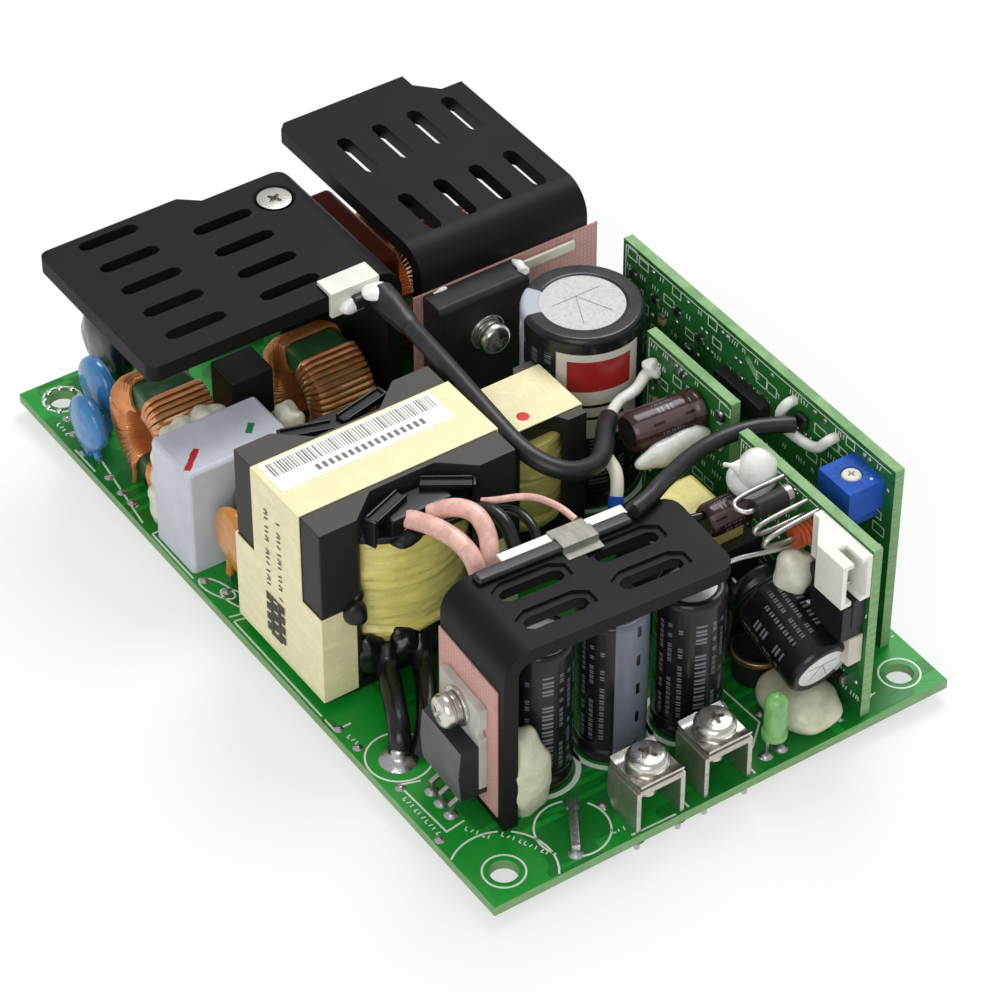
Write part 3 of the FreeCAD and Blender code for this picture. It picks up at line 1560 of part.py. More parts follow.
def pink_sleeves():
    """Pink sleeved lead-outs between the main transformer and the output heatsink."""
    first = [(19.6, -21.05, 30.6), (23.2, -21.05, 31.2), (25.4, -19.6, 31.8), (29.6, -17.0, 31.0),
            
             (32.6, -17.6, 27.0),
             (33.6, -18.4, 20.0)]
    second = [(20.0, -14.2, 30.6), (23.8, -13.0, 33.0), (28.0, -12.2, 33.0), (31.6, -14.0, 30.0),
             
              (33.2, -14.6, 24.0)]
    thin = [(20.4, -11.2, 30.6), (24.6, -8.8, 32.0), (29.4, -5.4, 32.0), (33.6, -4.6, 31.0)]
    return [wire_run(first, 1.2, 5), wire_run(second, 1.2, 5), wire_run(thin, 0.6, 5)]


def glue_blobs():
    """Blobs of fixing glue."""
    x, y = line_film_corner
    blobs = [
        stack((x - 1.4, y + 8.0, 0), ((1.35, board_top), (1.3, 4.2), (0.7, 5.5)), 8, 5.0),
        stack((-22.4, -15.4, 0), ((2.8, board_top), (2.6, 11.0), (1.6, 14.2)), 8, 0.8),
        stack((51.4, -25.2, 0), ((2.2, board_top), (2.9, 5.0), (2.7, 10.0), (1.8, 13.4), (0.7, 15.2)), 8,
              0.6),
        stack((56.4, 17.4, 0), ((5.0, board_top), (4.8, 4.2), (3.6, 6.0)), 10, 0.9),
    ]
    return blobs


def white_glue():
    """Round white glue drop on the fan board's upper edge."""
    face = fan_board[2]
    levels = ((1.3, -3.5), (2.9, -2.1), (3.4, 0.2), (2.7, 2.0), (1.0, 3.3))
    return stack((38.2, face - 3.3, 31.0), levels, 8)


PIECES = {
    "main_board": lambda: [main_board()],
    "solder_joints": lambda: solder_joints() + solder_fillets(),
    "heatsink_input": lambda: [heatsink_input()],
    "heatsink_primary": lambda: [heatsink_primary()],
    "heatsink_output": lambda: [heatsink_output()],
    "heatsink_screw": lambda: [heatsink_screw()],
    "heatsink_post": lambda: [heatsink_post()],
    "insulator_sheets": lambda: [insulator_primary(), insulator_output()],
    "power_transistor": lambda: [power_transistor_body()],
    "output_transistor": lambda: [output_transistor_body()],
    "output_transistor_tab": lambda: [output_transistor_tab()],
    "clamp_screws": clamp_screws,
    "clamp_washers": clamp_washers,
    "bridge_rectifier": lambda: [bridge_rectifier()],
    "device_leads": lambda: power_transistor_leads() + output_transistor_leads() + lamp_leads() + header_pins()
    + lying_capacitor_leads() + bare_leads(),
    "transformer_core": transformer_core,
    "transformer_bobbin": lambda: [transformer_bobbin()] + transformer_rails(),
    "transformer_tape": lambda: [transformer_tape()],
    "transformer_leads": transformer_leads,
    "taped_windings": lambda: [transformer_winding(), choke_winding()],
    "choke_core": lambda: [choke_core()],
    "choke_tape": lambda: [choke_tape()],
    "winding_bases": lambda: [choke_base()] + toroid_feet(),
    "line_choke_cores": lambda: [line_choke_core(c) for c in (front_line_centre, rear_line_centre)],
    "line_choke_windings": lambda: line_choke_windings(front_line_centre) + line_choke_windings(rear_line_centre),
    "boost_choke_core": lambda: [boost_core()],
    "boost_choke_winding": boost_winding,
    "line_film_capacitor": lambda: [box_capacitor(line_film_corner, line_film_size, 0.5)],
    "filter_block": lambda: [box_capacitor(filter_block_corner, filter_block_size, 0.3)],
    "rail_film_capacitor": lambda: [box_capacitor(rail_film_corner, rail_film_size, rail_film_edge)],
    "blue_disc_capacitors": lambda: [disc_part(c, blue_disc_radius,
                                               blue_disc_thickness) for c in blue_disc_centres],
    "orange_disc_capacitor": lambda: [disc_part(orange_disc_centre, orange_disc_radius,
                                                orange_disc_thickness)],
    "inrush_disc": lambda: [disc_part(green_disc_centre, green_disc_radius, green_disc_thickness)],
    "surge_disc": lambda: [disc_part(black_disc_centre, black_disc_radius, black_disc_thickness)],
    "mains_header": lambda: [inlet_header()],
    "mains_pins": inlet_pins,
    "mains_fuse": lambda: [fuse_body()] + fuse_caps(),
    "bulk_capacitor": lambda: [standing_capacitor(bulk_centre, bulk_radius, bulk_height, 20)],
    "output_capacitors": lambda: [standing_capacitor(c, output_cap_radius, output_cap_height, 12)
                                  for c in output_cap_centres],
    "lying_capacitor": lambda: [lying_capacitor()],
    "brown_capacitors": lambda: [small_can(upper_brown_ends, upper_brown_radius),
                                 small_can(lower_brown_ends, lower_brown_radius)],
    "drum_inductor": lambda: [drum_inductor()],
    "aux_transformer": lambda: [aux_transformer(), aux_transformer_tape()],
    "upright_boards": lambda: [control_card(), upright(sense_board), upright(fan_board)],
    "surface_parts": lambda: control_parts() + sense_parts() + fan_parts(),
    "axial_parts": lambda: [axial_diode(), wirewound_part()],
    "insulated_wires": lambda: [white_jumper(), white_tail()] + pink_sleeves(),
    "trimmer_body": lambda: [trimmer_body(), trimmer_foot()],
    "trimmer_rotor": lambda: [trimmer_rotor()],
    "fan_header": lambda: [fan_header()],
    "terminal_frames": terminal_frames,
    "terminal_plates": terminal_plates,
    "terminal_screws": terminal_screws,
    "indicator_lamp": lambda: [indicator_lamp()],
    "flat_link": lambda: [flat_link()],
    "mains_sensor_lead": lambda: [mains_sensor_lead()],
    "output_sensor_lead": lambda: [output_sensor_lead()],
    "sensor_clip": lambda: [lead_clip()],
    "sensor_heads": lambda: sensor_heads() + [output_lead_root()],
    "glue_and_tape": lambda: glue_blobs() + [white_glue(), sensor_strip(), tape_patch()],
}


def main():
    """Build every piece and write one file for each."""
    os.makedirs("parts", exist_ok=True)
    for name, make in PIECES.items():
        shape = Part.makeCompound(make())
        shape.exportStep(os.path.join("parts", name + ".step"))
        print(name, len(shape.Solids), round(shape.Volume, 1))


main()
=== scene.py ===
"""Looks of an open frame power supply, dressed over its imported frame.

Sizes are written in millimetres, as on the drawing, and turned to metres where a
mesh is placed. +Z is up, +X the output end, -X the mains end.
"""

import logging
import math
from dataclasses import dataclass, field
from random import Random
from typing import Callable, Iterable, Optional, Sequence

import bmesh
import bpy
from mathutils import Matrix, Vector, noise


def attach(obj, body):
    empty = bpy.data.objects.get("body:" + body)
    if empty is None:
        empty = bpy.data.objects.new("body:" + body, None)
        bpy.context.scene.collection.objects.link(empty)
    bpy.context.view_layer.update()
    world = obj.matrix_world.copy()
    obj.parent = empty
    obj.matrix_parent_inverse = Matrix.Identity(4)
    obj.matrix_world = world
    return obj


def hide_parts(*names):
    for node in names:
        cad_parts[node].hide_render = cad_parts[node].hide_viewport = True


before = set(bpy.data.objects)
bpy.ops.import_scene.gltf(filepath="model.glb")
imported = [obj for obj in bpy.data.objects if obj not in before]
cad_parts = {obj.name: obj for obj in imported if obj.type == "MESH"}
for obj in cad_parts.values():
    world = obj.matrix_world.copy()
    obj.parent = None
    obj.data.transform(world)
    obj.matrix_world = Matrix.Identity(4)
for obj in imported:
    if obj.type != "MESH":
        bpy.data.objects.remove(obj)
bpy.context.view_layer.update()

MM = 0.001
BOARD_TOP = 1.6
SENSOR_WIDTH = 36.0
SHARP_EDGE = 34.0
ROUNDED_EDGE = 32.0
PIN_RADIUS = 1e-6
PAPER = 0.05
WELD = 2e-6
X, Y, Z = Vector((1, 0, 0)), Vector((0, 1, 0)), Vector((0, 0, 1))
SINK_CORNER = Vector((52.8, -29.3, 0))
SINK_SKEW = -3.4
Point = Sequence[float]
Colour = tuple[float, float, float]
Triple = tuple[float, float, float]
Pair = tuple[float, float]
log = logging.getLogger("supply")


# Shader building


def operation(kind: str, flipped: bool = False) -> Callable[..., "Sock"]:
    """Make an arithmetic method of Sock.

    Args:
        kind: the Math node's operation.
        flipped: whether the other term comes first.

    Returns:
        The method, for a socket and its other terms.
    """
    def apply(self: "Sock", *others: "Sock | float") -> "Sock":
        """Return the value of a Math node on this socket and the other terms."""
        return self.math(kind, *((*others, self) if flipped else (self, *others)))
    return apply


class Sock:
    """A shader socket that does arithmetic: an expression on it adds its Math nodes."""

    __add__, __sub__, __mul__, __truediv__ = map(operation, ("ADD", "SUBTRACT", "MULTIPLY", "DIVIDE"))
    __radd__, __rsub__, __rmul__ = (operation(kind, True) for kind in ("ADD", "SUBTRACT", "MULTIPLY"))
    __abs__, sine, part, whole, least, most = map(operation,
                                                  ("ABSOLUTE", "SINE", "FRACT", "FLOOR", "MINIMUM", "MAXIMUM"))

    def __init__(self, tree: bpy.types.NodeTree, socket: bpy.types.NodeSocket) -> None:
        """Wrap one output socket of a node tree."""
        self.tree = tree
        self.socket = socket

    def math(self, operation: str, *terms: "Sock | float") -> "Sock":
        """Add a Math node.

        Args:
            operation: the node's operation.
            terms: its inputs in order, sockets or numbers.

        Returns:
            The node's value.
        """
        made = self.tree.nodes.new("ShaderNodeMath")
        made.operation = operation
        for slot, term in zip(made.inputs, terms):
            if isinstance(term, Sock):
                self.tree.links.new(term.socket, slot)
            else:
                slot.default_value = term
        return Sock(self.tree, made.outputs[0])

    def rise(self, low: float, high: float) -> "Sock":
        """Return a smooth step.

        Args:
            low: the value at which the step starts from 0.
            high: the value at which it reaches 1; below low, the step falls.

        Returns:
            A mask from 0 to 1.
        """
        made = self.tree.nodes.new("ShaderNodeMapRange")
        made.interpolation_type = "SMOOTHSTEP"
        first, last = (0.0, 1.0) if high > low else (1.0, 0.0)
        for slot, value in zip(made.inputs[1:5], (min(low, high), max(low, high), first, last)):
            slot.default_value = value
        self.tree.links.new(self.socket, made.inputs[0])
        return Sock(self.tree, made.outputs[0])

    def within(self, low: float, high: float, soft: float) -> "Sock":
        """Return a mask that is 1 between two values, with soft edges."""
        return self.rise(low - soft, low + soft) * self.rise(high + soft, high - soft)


class Recipe:
    """The node tree of one finish, in the making; its coordinates are in millimetres."""

    def __init__(self, name: str) -> None:
        """Start an empty material with a Principled shader."""
        self.material = bpy.data.materials.new(name)
        self.material.use_nodes = True
        self.tree = self.material.node_tree
        self.tree.nodes.clear()
        self.shader = self.node("ShaderNodeBsdfPrincipled")
        self.out = self.node("ShaderNodeOutputMaterial")
        self.tree.links.new(self.shader.outputs[0], self.out.inputs[0])
        source = self.node("ShaderNodeTexCoord")
        self.at = self.scaled(Sock(self.tree, source.outputs["Object"]), (1000, 1000, 1000))
        self.wrap = Sock(self.tree, source.outputs["UV"])
        self.facing = Sock(self.tree, source.outputs["Normal"])

    def node(self, kind: str, settings: Optional[dict] = None, **inputs: object) -> bpy.types.Node:
        """Add a node.

        Args:
            kind: the node's type.
            settings: its properties, set before its sockets.
            inputs: socket values or links, by the socket's name in lower case with _ for a space.

        Returns:
            The node.
        """
        made = self.tree.nodes.new(kind)
        for key, value in (settings or {}).items():
            setattr(made, key, value)
        for slot in made.inputs:
            key = slot.name.lower().replace(" ", "_")
            if slot.enabled and key in inputs:
                value = inputs.pop(key)
                if isinstance(value, Sock):
                    self.tree.links.new(value.socket, slot)
                else:
                    slot.default_value = value
        return made

    def scaled(self, at: Sock, scale: Point, turn: Point = (0, 0, 0), shift: Point = (0, 0, 0)) -> Sock:
        """Return coordinates scaled, turned and shifted by a Mapping node."""
        made = self.node("ShaderNodeMapping", vector=at, location=shift, rotation=turn, scale=scale)
        return Sock(self.tree, made.outputs[0])

    def axes(self, at: Optional[Sock] = None) -> tuple[Sock, Sock, Sock]:
        """Return the three components of coordinates."""
        made = self.node("ShaderNodeSeparateXYZ", vector=at or self.at)
        return tuple(Sock(self.tree, slot) for slot in made.outputs)

    def cloud(self, scale: float, detail: float = 3.0, rough: float = 0.55, at: Optional[Sock] = None) -> Sock:
        """Return soft noise from about 0.25 to 0.75; scale is in features per millimetre."""
        made = self.node("ShaderNodeTexNoise", vector=at or self.at, scale=scale, detail=detail, roughness=rough)
        return Sock(self.tree, made.outputs[0])

    def grains(self, scale: float) -> Sock:
        """Return the distance to scattered points; scale is in points per millimetre."""
        made = self.node("ShaderNodeTexVoronoi", vector=self.at, scale=scale)
        return Sock(self.tree, made.outputs[0])

    def spread(self, mask: "tuple[float, float, float]", noise: Sock, first: "Sock | Colour",
               second: Colour) -> Sock:
        """Return one colour spread over another where a noise rises; the mask is (start, full, share)."""
        low, high, share = mask
        return self.blend(noise.rise(low, high) * share, first, second)

    def blend(self, mask: "Sock | float", first: "Sock | Colour", second: "Sock | Colour") -> Sock:
        """Return a mix of two colours by a mask."""
        made = self.tree.nodes.new("ShaderNodeMix")
        made.data_type = "RGBA"
        for index, value in ((0, mask), (6, first), (7, second)):
            slot = made.inputs[index]
            if isinstance(value, Sock):
                self.tree.links.new(value.socket, slot)
            else:
                slot.default_value = (*value, 1.0) if index else value
        return Sock(self.tree, made.outputs[2])

    def pair(self, first: Sock, second: Sock) -> Sock:
        """Return coordinates made of two values."""
        made = self.node("ShaderNodeCombineXYZ", x=first, y=second)
        return Sock(self.tree, made.outputs[0])

    def relief(self, height: Sock, depth: float, strength: float = 1.0, under: Optional[Sock] = None) -> Sock:
        """Return a normal from a height.

        Args:
            height: the height, from 0 to 1.
            depth: how deep 1 is, in millimetres.
            strength: share of the relief that shows.
            under: a normal that this one builds on.

        Returns:
            The normal.
        """
        made = self.node("ShaderNodeBump", strength=strength, distance=depth * MM, height=height)
        if under is not None:
            self.tree.links.new(under.socket, made.inputs["Normal"])
        return Sock(self.tree, made.outputs[0])

    def dress(self, **inputs: object) -> bpy.types.Material:
        """Set or link the shader's sockets and return the material."""
        for key, value in inputs.items():
            slot = self.shader.inputs[key.replace("_", " ").title().replace("Ior", "IOR")]
            if isinstance(value, Sock):
                self.tree.links.new(value.socket, slot)
            elif isinstance(value, tuple) and len(value) == 3 and slot.type == "RGBA":
                slot.default_value = (*value, 1.0)
            else:
                slot.default_value = value
        return self.material


def paint(red: int, green: int, blue: int) -> Colour:
    """Return a linear colour from screen values of 0 to 255."""
    def linear(value: int) -> float:
        """Return one channel's linear share."""
        share = value / 255
        return share / 12.92 if share <= 0.04045 else ((share + 0.055) / 1.055) ** 2.4
    return linear(red), linear(green), linear(blue)


def shade(tone: Colour, gain: float, lift: float = 0.0) -> Colour:
    """Return a tone made darker or paler."""
    return tuple(min(1.0, c * gain + lift) for c in tone)


@dataclass(frozen=True)
class Finish:
    """A surface finish; each kind makes its own material."""

    name: str

    def make(self) -> bpy.types.Material:
        """Return a new material."""
        raise NotImplementedError


MADE: dict[Finish, bpy.types.Material] = {}


def material_of(finish: Finish) -> bpy.types.Material:
    """Return the finish's material, made once."""
    if finish not in MADE:
        MADE[finish] = finish.make()
    return MADE[finish]


@dataclass(frozen=True)
class Coat(Finish):
    """Two tones in soft patches, specks of a third, and a little relief.

    Two noises make it. The broad one is given by its scale, detail and roughness, and stretched
    if asked; the fine one by its grain, with its detail and roughness. A mask is where in the
    noise a tone starts, where it is full, and its share.
    """

    tone: Colour = paint(22, 22, 24)
    second: Optional[Colour] = None
    change: Pair = (0.84, 0.0)
    third: Optional[Colour] = None
    broad: Triple = (0.5, 3.0, 0.55)
    stretch: Optional[Triple] = None
    grain: float = 5.0
    fine: Pair = (3.0, 0.55)
    patch: Triple = (0.35, 0.7, 1.0)
    specks: Triple = (0.6, 0.75, 0.5)
    pits: float = 0.0
    rough: float = 0.4
    sway: Pair = (0.0, 0.2)
    height: Pair = (0.0, 1.0)
    depth: float = 0.02
    strength: float = 0.5
    metal: float = 0.0
    shine: float = 0.5
    varnish: Pair = (0.0, 0.03)
    clear: float = 0.0
    glow: float = 0.0
    bleed: Triple = (0.002, 0.002, 0.0016)

    def make(self) -> bpy.types.Material:
        """Return the material."""
        r = Recipe(self.name)
        broad = r.cloud(*self.broad, at=r.scaled(r.at, self.stretch) if self.stretch else None)
        fine = r.cloud(self.grain, *self.fine)
        base = r.spread(self.patch, broad, self.tone, self.second or shade(self.tone, *self.change))
        if self.third:
            base = r.spread(self.specks, fine, base, self.third)
        height = broad * self.height[0] + fine * self.height[1]
        if self.pits:
            height = height - r.grains(self.pits).rise(0.16, 0.0) * 0.4
        rough = broad * self.sway[0] + fine * self.sway[1] + (self.rough - sum(self.sway) / 2)
        return r.dress(base_color=base, roughness=rough, normal=r.relief(height, self.depth, self.strength),
                       metallic=self.metal, specular_ior_level=self.shine, coat_weight=self.varnish[0],
                       coat_roughness=self.varnish[1], transmission_weight=self.clear, subsurface_weight=self.glow,
                       subsurface_radius=self.bleed)


@dataclass(frozen=True)
class Moulded(Coat):
    """Moulded plastic or epoxy with a fine grain."""

    second: Colour = paint(33, 33, 35)
    broad: Triple = (0.22, 3.0, 0.55)
    patch: Triple = (0.3, 0.75, 1.0)
    grain: float = 6.0
    fine: Pair = (4.0, 0.6)
    rough: float = 0.42
    sway: Pair = (0.0, 0.22)
    shine: float = 0.32


@dataclass(frozen=True)
class Plated(Coat):
    """Bright plated steel or brass, rubbed and a little dull in places."""

    tone: Colour = paint(206, 202, 196)
    change: Pair = (0.74, 0.0)
    broad: Triple = (0.9, 5.0, 0.65)
    patch: Triple = (0.42, 0.72, 1.0)
    grain: float = 7.0
    rough: float = 0.28
    sway: Pair = (0.28, 0.0)
    height: Pair = (1.0, 1.0)
    metal: float = 0.96


@dataclass(frozen=True)
class Aluminium(Coat):
    """Drawn aluminium of a can's end."""

    tone: Colour = paint(184, 184, 183)
    change: Pair = (0.82, 0.0)
    broad: Triple = (2.0, 4.0, 0.55)
    patch: Triple = (0.4, 0.75, 1.0)
    rough: float = 0.52
    sway: Pair = (0.2, 0.0)
    height: Pair = (1.0, 0.0)
    strength: float = 0.4
    metal: float = 0.4


@dataclass(frozen=True)
class Ink(Coat):
    """Screen-printed ink, slightly broken, with a faint grain."""

    tone: Colour = paint(225, 232, 222)
    second: Colour = paint(120, 170, 130)
    broad: Triple = (3.2, 4.0, 0.55)
    patch: Triple = (0.62, 0.75, 0.6)
    rough: float = 0.6
    sway: Pair = (0.2, 0.0)
    height: Pair = (1.0, 0.0)
    depth: float = 0.01
    strength: float = 0.4


@dataclass(frozen=True)
class FixGlue(Coat):
    """Set fixing glue: pale, rubbery, with soft lumps."""

    tone: Colour = paint(226, 224, 206)
    broad: Triple = (0.55, 3.0, 0.55)
    grain: float = 3.0
    rough: float = 0.3
    height: Pair = (1.0, 0.1)
    depth: float = 0.3
    glow: float = 0.3
    bleed: Triple = (0.002, 0.002, 0.0014)


@dataclass(frozen=True)
class Dip(Coat):
    """Glossy dipped coat of a disc part, with its dimples."""

    tone: Colour = paint(56, 128, 188)
    broad: Triple = (0.8, 3.0, 0.55)
    pits: float = 1.2
    rough: float = 0.235
    sway: Pair = (0.15, 0.0)
    height: Pair = (1.0, 0.0)
    depth: float = 0.14
    varnish: Pair = (0.3, 0.1)


@dataclass(frozen=True)
class Tinted(Coat):
    """Clear tinted resin or soft sleeving, with a milky drift."""

    change: Pair = (1.25, 0.02)
    broad: Triple = (0.7, 3.0, 0.55)
    rough: float = 0.225
    sway: Pair = (0.15, 0.0)
    height: Pair = (1.0, 0.0)
    depth: float = 0.08
    strength: float = 0.4
    clear: float = 0.5
    glow: float = 0.25
    bleed: Triple = (0.001, 0.001, 0.001)


@dataclass(frozen=True)
class Sleeving(Coat):
    """Flexible insulation of wires and leads, with a dusty bloom."""

    tone: Colour = paint(24, 24, 25)
    change: Pair = (1.6, 0.01)
    broad: Triple = (0.4, 5.0, 0.55)
    patch: Triple = (0.42, 0.75, 0.7)
    sway: Pair = (0.2, 0.0)
    height: Pair = (2.0, 1.0)
    depth: float = 0.04


@dataclass(frozen=True)
class SolderMask(Finish):
    """Green lacquer over copper tracks and bare laminate."""

    over_copper: Colour = paint(20, 146, 44)
    over_laminate: Colour = paint(12, 114, 36)
    track_pitch: float = 2.3
    pour_scale: float = 0.085
    upright: bool = False

    def make(self) -> bpy.types.Material:
        """Return the lacquer with faint tracks, pours and a glossy, slightly uneven skin."""
        r = Recipe(self.name)
        at = r.scaled(r.at, (1, 1, 1), turn=(math.pi / 2, 0, 0)) if self.upright else r.at
        flat = r.scaled(at, (1, 1, 0))
        cells = r.node("ShaderNodeTexVoronoi", {"distance": "CHEBYCHEV"}, vector=flat, scale=self.pour_scale,
                       randomness=0.85)
        pour = r.node("ShaderNodeTexNoise", vector=Sock(r.tree, cells.outputs["Position"]), scale=3.1, detail=0.0)
        pours = Sock(r.tree, pour.outputs[0]).rise(0.47, 0.5)
        x = r.axes(flat)[0]
        wander = r.cloud(0.05, 0.0, at=flat) * 5
        line = abs(((x + wander.whole()) / self.track_pitch).part() - 0.5)
        band = r.cloud(0.11, 0.0, at=r.scaled(flat, (1.0, 0.12, 1))).rise(0.5, 0.53)
        tracks = line.rise(0.2, 0.16) * band * (1 - pours)
        copper = pours.most(tracks)
        haze = r.cloud(0.35, 4.0)
        base = r.blend(copper, self.over_laminate, self.over_copper)
        base = r.blend(haze.rise(0.35, 0.8) * 0.25, base, paint(44, 156, 64))
        fine = r.cloud(9.0, 2.0)
        bump = r.relief(copper, 0.035, 0.8)
        bump = r.relief(fine, 0.006, 0.5, bump)
        return r.dress(base_color=base, roughness=haze * 0.16 + 0.24, normal=bump, specular_ior_level=0.36)

@dataclass(frozen=True)
class SinkBlack(Finish):
    """Satin black anodised sheet with a fine grain, pale specks and scuffs."""

    tone: Colour = paint(22, 21, 21)

    def make(self) -> bpy.types.Material:
        """Return the anodised black."""
        r = Recipe(self.name)
        speck = r.grains(5.5)
        soft = r.cloud(0.12, 5.0, 0.6)
        fine = r.cloud(14.0, 2.0)
        scuff = r.cloud(1.1, 6.0, 0.7, at=r.scaled(r.at, (0.25, 2.4, 1.0), turn=(0, 0, 0.5)))
        base = r.blend(speck.rise(0.22, 0.1) * 0.35, self.tone, paint(44, 42, 41))
        base = r.blend(scuff.rise(0.64, 0.78) * 0.35, base, paint(42, 41, 41))
        rough = soft * 0.16 + fine * 0.1 + 0.36
        return r.dress(base_color=base, roughness=rough, normal=r.relief(fine + speck * 0.5, 0.012, 0.55),
                       specular_ior_level=0.14)


@dataclass(frozen=True)
class Ferrite(Finish):
    """Pressed and ground ferrite: dark, dense, a little chipped."""

    tone: Colour = paint(34, 32, 31)

    def make(self) -> bpy.types.Material:
        """Return the ground ferrite, its upward faces painted paler as a painted highlight."""
        r = Recipe(self.name)
        speck = r.cloud(4.0, 5.0, 0.7)
        pores = r.grains(2.6)
        base = r.blend(speck.rise(0.4, 0.75), self.tone, paint(46, 44, 42))
        base = r.blend(pores.rise(0.13, 0.06) * 0.7, base, paint(20, 19, 19))
        # Painted highlight: faces that look up are painted paler, as if lit from above.
        base = r.blend(r.axes(r.facing)[2].rise(0.5, 0.9) * 0.8, base, paint(78, 75, 71))
        return r.dress(base_color=base, roughness=speck * 0.25 + 0.4, specular_ior_level=0.3,
                       normal=r.relief(speck - pores.rise(0.13, 0.05), 0.03, 0.5))


@dataclass(frozen=True)
class WindingTape(Finish):
    """Pale yellow polyester tape over what it wraps; wrinkled where it is wound by hand."""

    tone: Colour = paint(238, 231, 182)
    wrinkles: float = 0.3
    lap_pitch: float = 9.0

    def make(self) -> bpy.types.Material:
        """Return the tape with overlaps, wrinkles, painted shade in its creases and a soft gloss."""
        r = Recipe(self.name)
        z = r.axes()[2]
        folds = r.cloud(0.28, 5.0, 0.6, at=r.scaled(r.at, (1.0, 1.0, 1.9)))
        crease = abs(folds - 0.5).rise(0.035, 0.0)
        fine = r.cloud(2.2, 3.0)
        lap = abs((z / self.lap_pitch + folds * 0.12).part() - 0.5).rise(0.03, 0.015)
        base = r.blend(folds.rise(0.3, 0.7), self.tone, shade(self.tone, 0.9))
        # Painted shade: the creases are painted darker, where shade would fall in the folds.
        base = r.blend(crease * self.wrinkles, base, shade(self.tone, 0.5))
        base = r.blend(fine.rise(0.6, 0.8) * 0.3, base, paint(248, 244, 200))
        height = folds * (0.5 + self.wrinkles) + crease * (0.6 * self.wrinkles) + lap * 0.25 + fine * 0.08
        return r.dress(base_color=base, roughness=fine * 0.2 + 0.22,
                       normal=r.relief(height, 0.35, 0.3 + self.wrinkles),
                       subsurface_weight=0.12, subsurface_radius=(0.0012, 0.001, 0.0005), coat_weight=0.25,
                       coat_roughness=0.2)


@dataclass(frozen=True)
class CanSleeve(Finish):
    """Shrunk plastic sleeve of a can, with plain dashes for its print."""

    tone: Colour = paint(24, 26, 34)
    mark: Colour = paint(100, 104, 114)
    dash_tone: Colour = paint(128, 131, 138)
    stripe: float = -1.0
    stripe_width: float = 0.11
    panel: float = -1.0
    panel_tone: Colour = paint(214, 210, 200)
    band_tone: Colour = paint(164, 40, 40)
    length: float = 25.0
    columns: tuple[Sequence[float], ...] = ((0.10, 0.30, 1.5, 3.5), (0.42, 0.50, 0.9, 8.5), (0.60, 0.68, 0.9, 5.5),
                                            (0.80, 0.88, 1.1, 1.5))

    def make(self) -> bpy.types.Material:
        """Return the sleeve; u runs round the can, v along it in millimetres."""
        r = Recipe(self.name)
        u, v, _ = r.axes(r.wrap)
        drift = r.cloud(0.3, 3.0)
        base = r.blend(drift.rise(0.35, 0.7) * 0.4, self.tone, shade(self.tone, 2.2, 0.004))
        around = u * 4 + 0.4
        words = 0.0
        for low, high, pitch, seed in self.columns:
            step = v / pitch
            pick = r.node("ShaderNodeTexWhiteNoise", {"noise_dimensions": "2D"},
                          vector=r.pair(around.whole() + seed, step.whole() + seed))
            stroke = step.part().within(0.14, 0.34, 0.04).most(step.part().within(0.52, 0.78, 0.04))
            shown = Sock(r.tree, pick.outputs[0]).rise(0.22, 0.24)
            words = around.part().within(low, high, 0.006) * stroke * shown + words
        words = words * v.within(4.2, self.length - 3.4, 0.1)
        if self.stripe >= 0:
            aside = abs((u - self.stripe + 0.5).part() - 0.5)
            wide = aside.rise(self.stripe_width / 2 + 0.004, self.stripe_width / 2)
            base = r.blend(wide, base, self.mark)
            bars = abs((v / 5.2).part() - 0.5).rise(0.19, 0.17)
            base = r.blend(wide * bars * aside.rise(0.014, 0.009), base, self.tone)
            words = words * (1 - wide)
        if self.panel >= 0:
            across = abs((u - self.panel + 0.5).part() - 0.5)
            plate = across.rise(0.118, 0.114) * v.within(self.length - 18.0, self.length - 2.6, 0.05)
            band = across.rise(0.09, 0.086) * v.within(self.length - 9.4, self.length - 3.9, 0.05)
            rule = across.rise(0.07, 0.068) * abs(abs(v - (self.length - 13.2)) - 1.1).rise(0.3, 0.24)
            base = r.blend(plate, base, self.panel_tone)
            base = r.blend(band, base, self.band_tone)
            base = r.blend(rule, base, self.tone)
            words = words * (1 - plate)
        base = r.blend(words * 0.75, base, self.dash_tone)
        ripple = r.cloud(0.6, 2.0)
        return r.dress(base_color=base, roughness=drift * 0.12 + 0.2, normal=r.relief(ripple, 0.05, 0.4),
                       specular_ior_level=0.32, coat_weight=0.1, coat_roughness=0.1)


@dataclass(frozen=True)
class PinkPad(Finish):
    """Salmon silicone sheet on glass cloth."""

    tone: Colour = paint(196, 148, 142)

    def make(self) -> bpy.types.Material:
        """Return the sheet with its fine weave."""
        r = Recipe(self.name)
        x, y, z = r.axes()
        warp = ((x + y) * 9.0).sine() * 0.5 + 0.5
        weft = (z * 9.0).sine() * 0.5 + 0.5
        weave = warp * weft
        dust = r.cloud(0.7, 4.0)
        base = r.blend(weave, self.tone, paint(214, 170, 162))
        base = r.blend(dust.rise(0.55, 0.8) * 0.5, base, paint(160, 112, 108))
        return r.dress(base_color=base, roughness=dust * 0.2 + 0.5, normal=r.relief(weave, 0.04, 0.5))


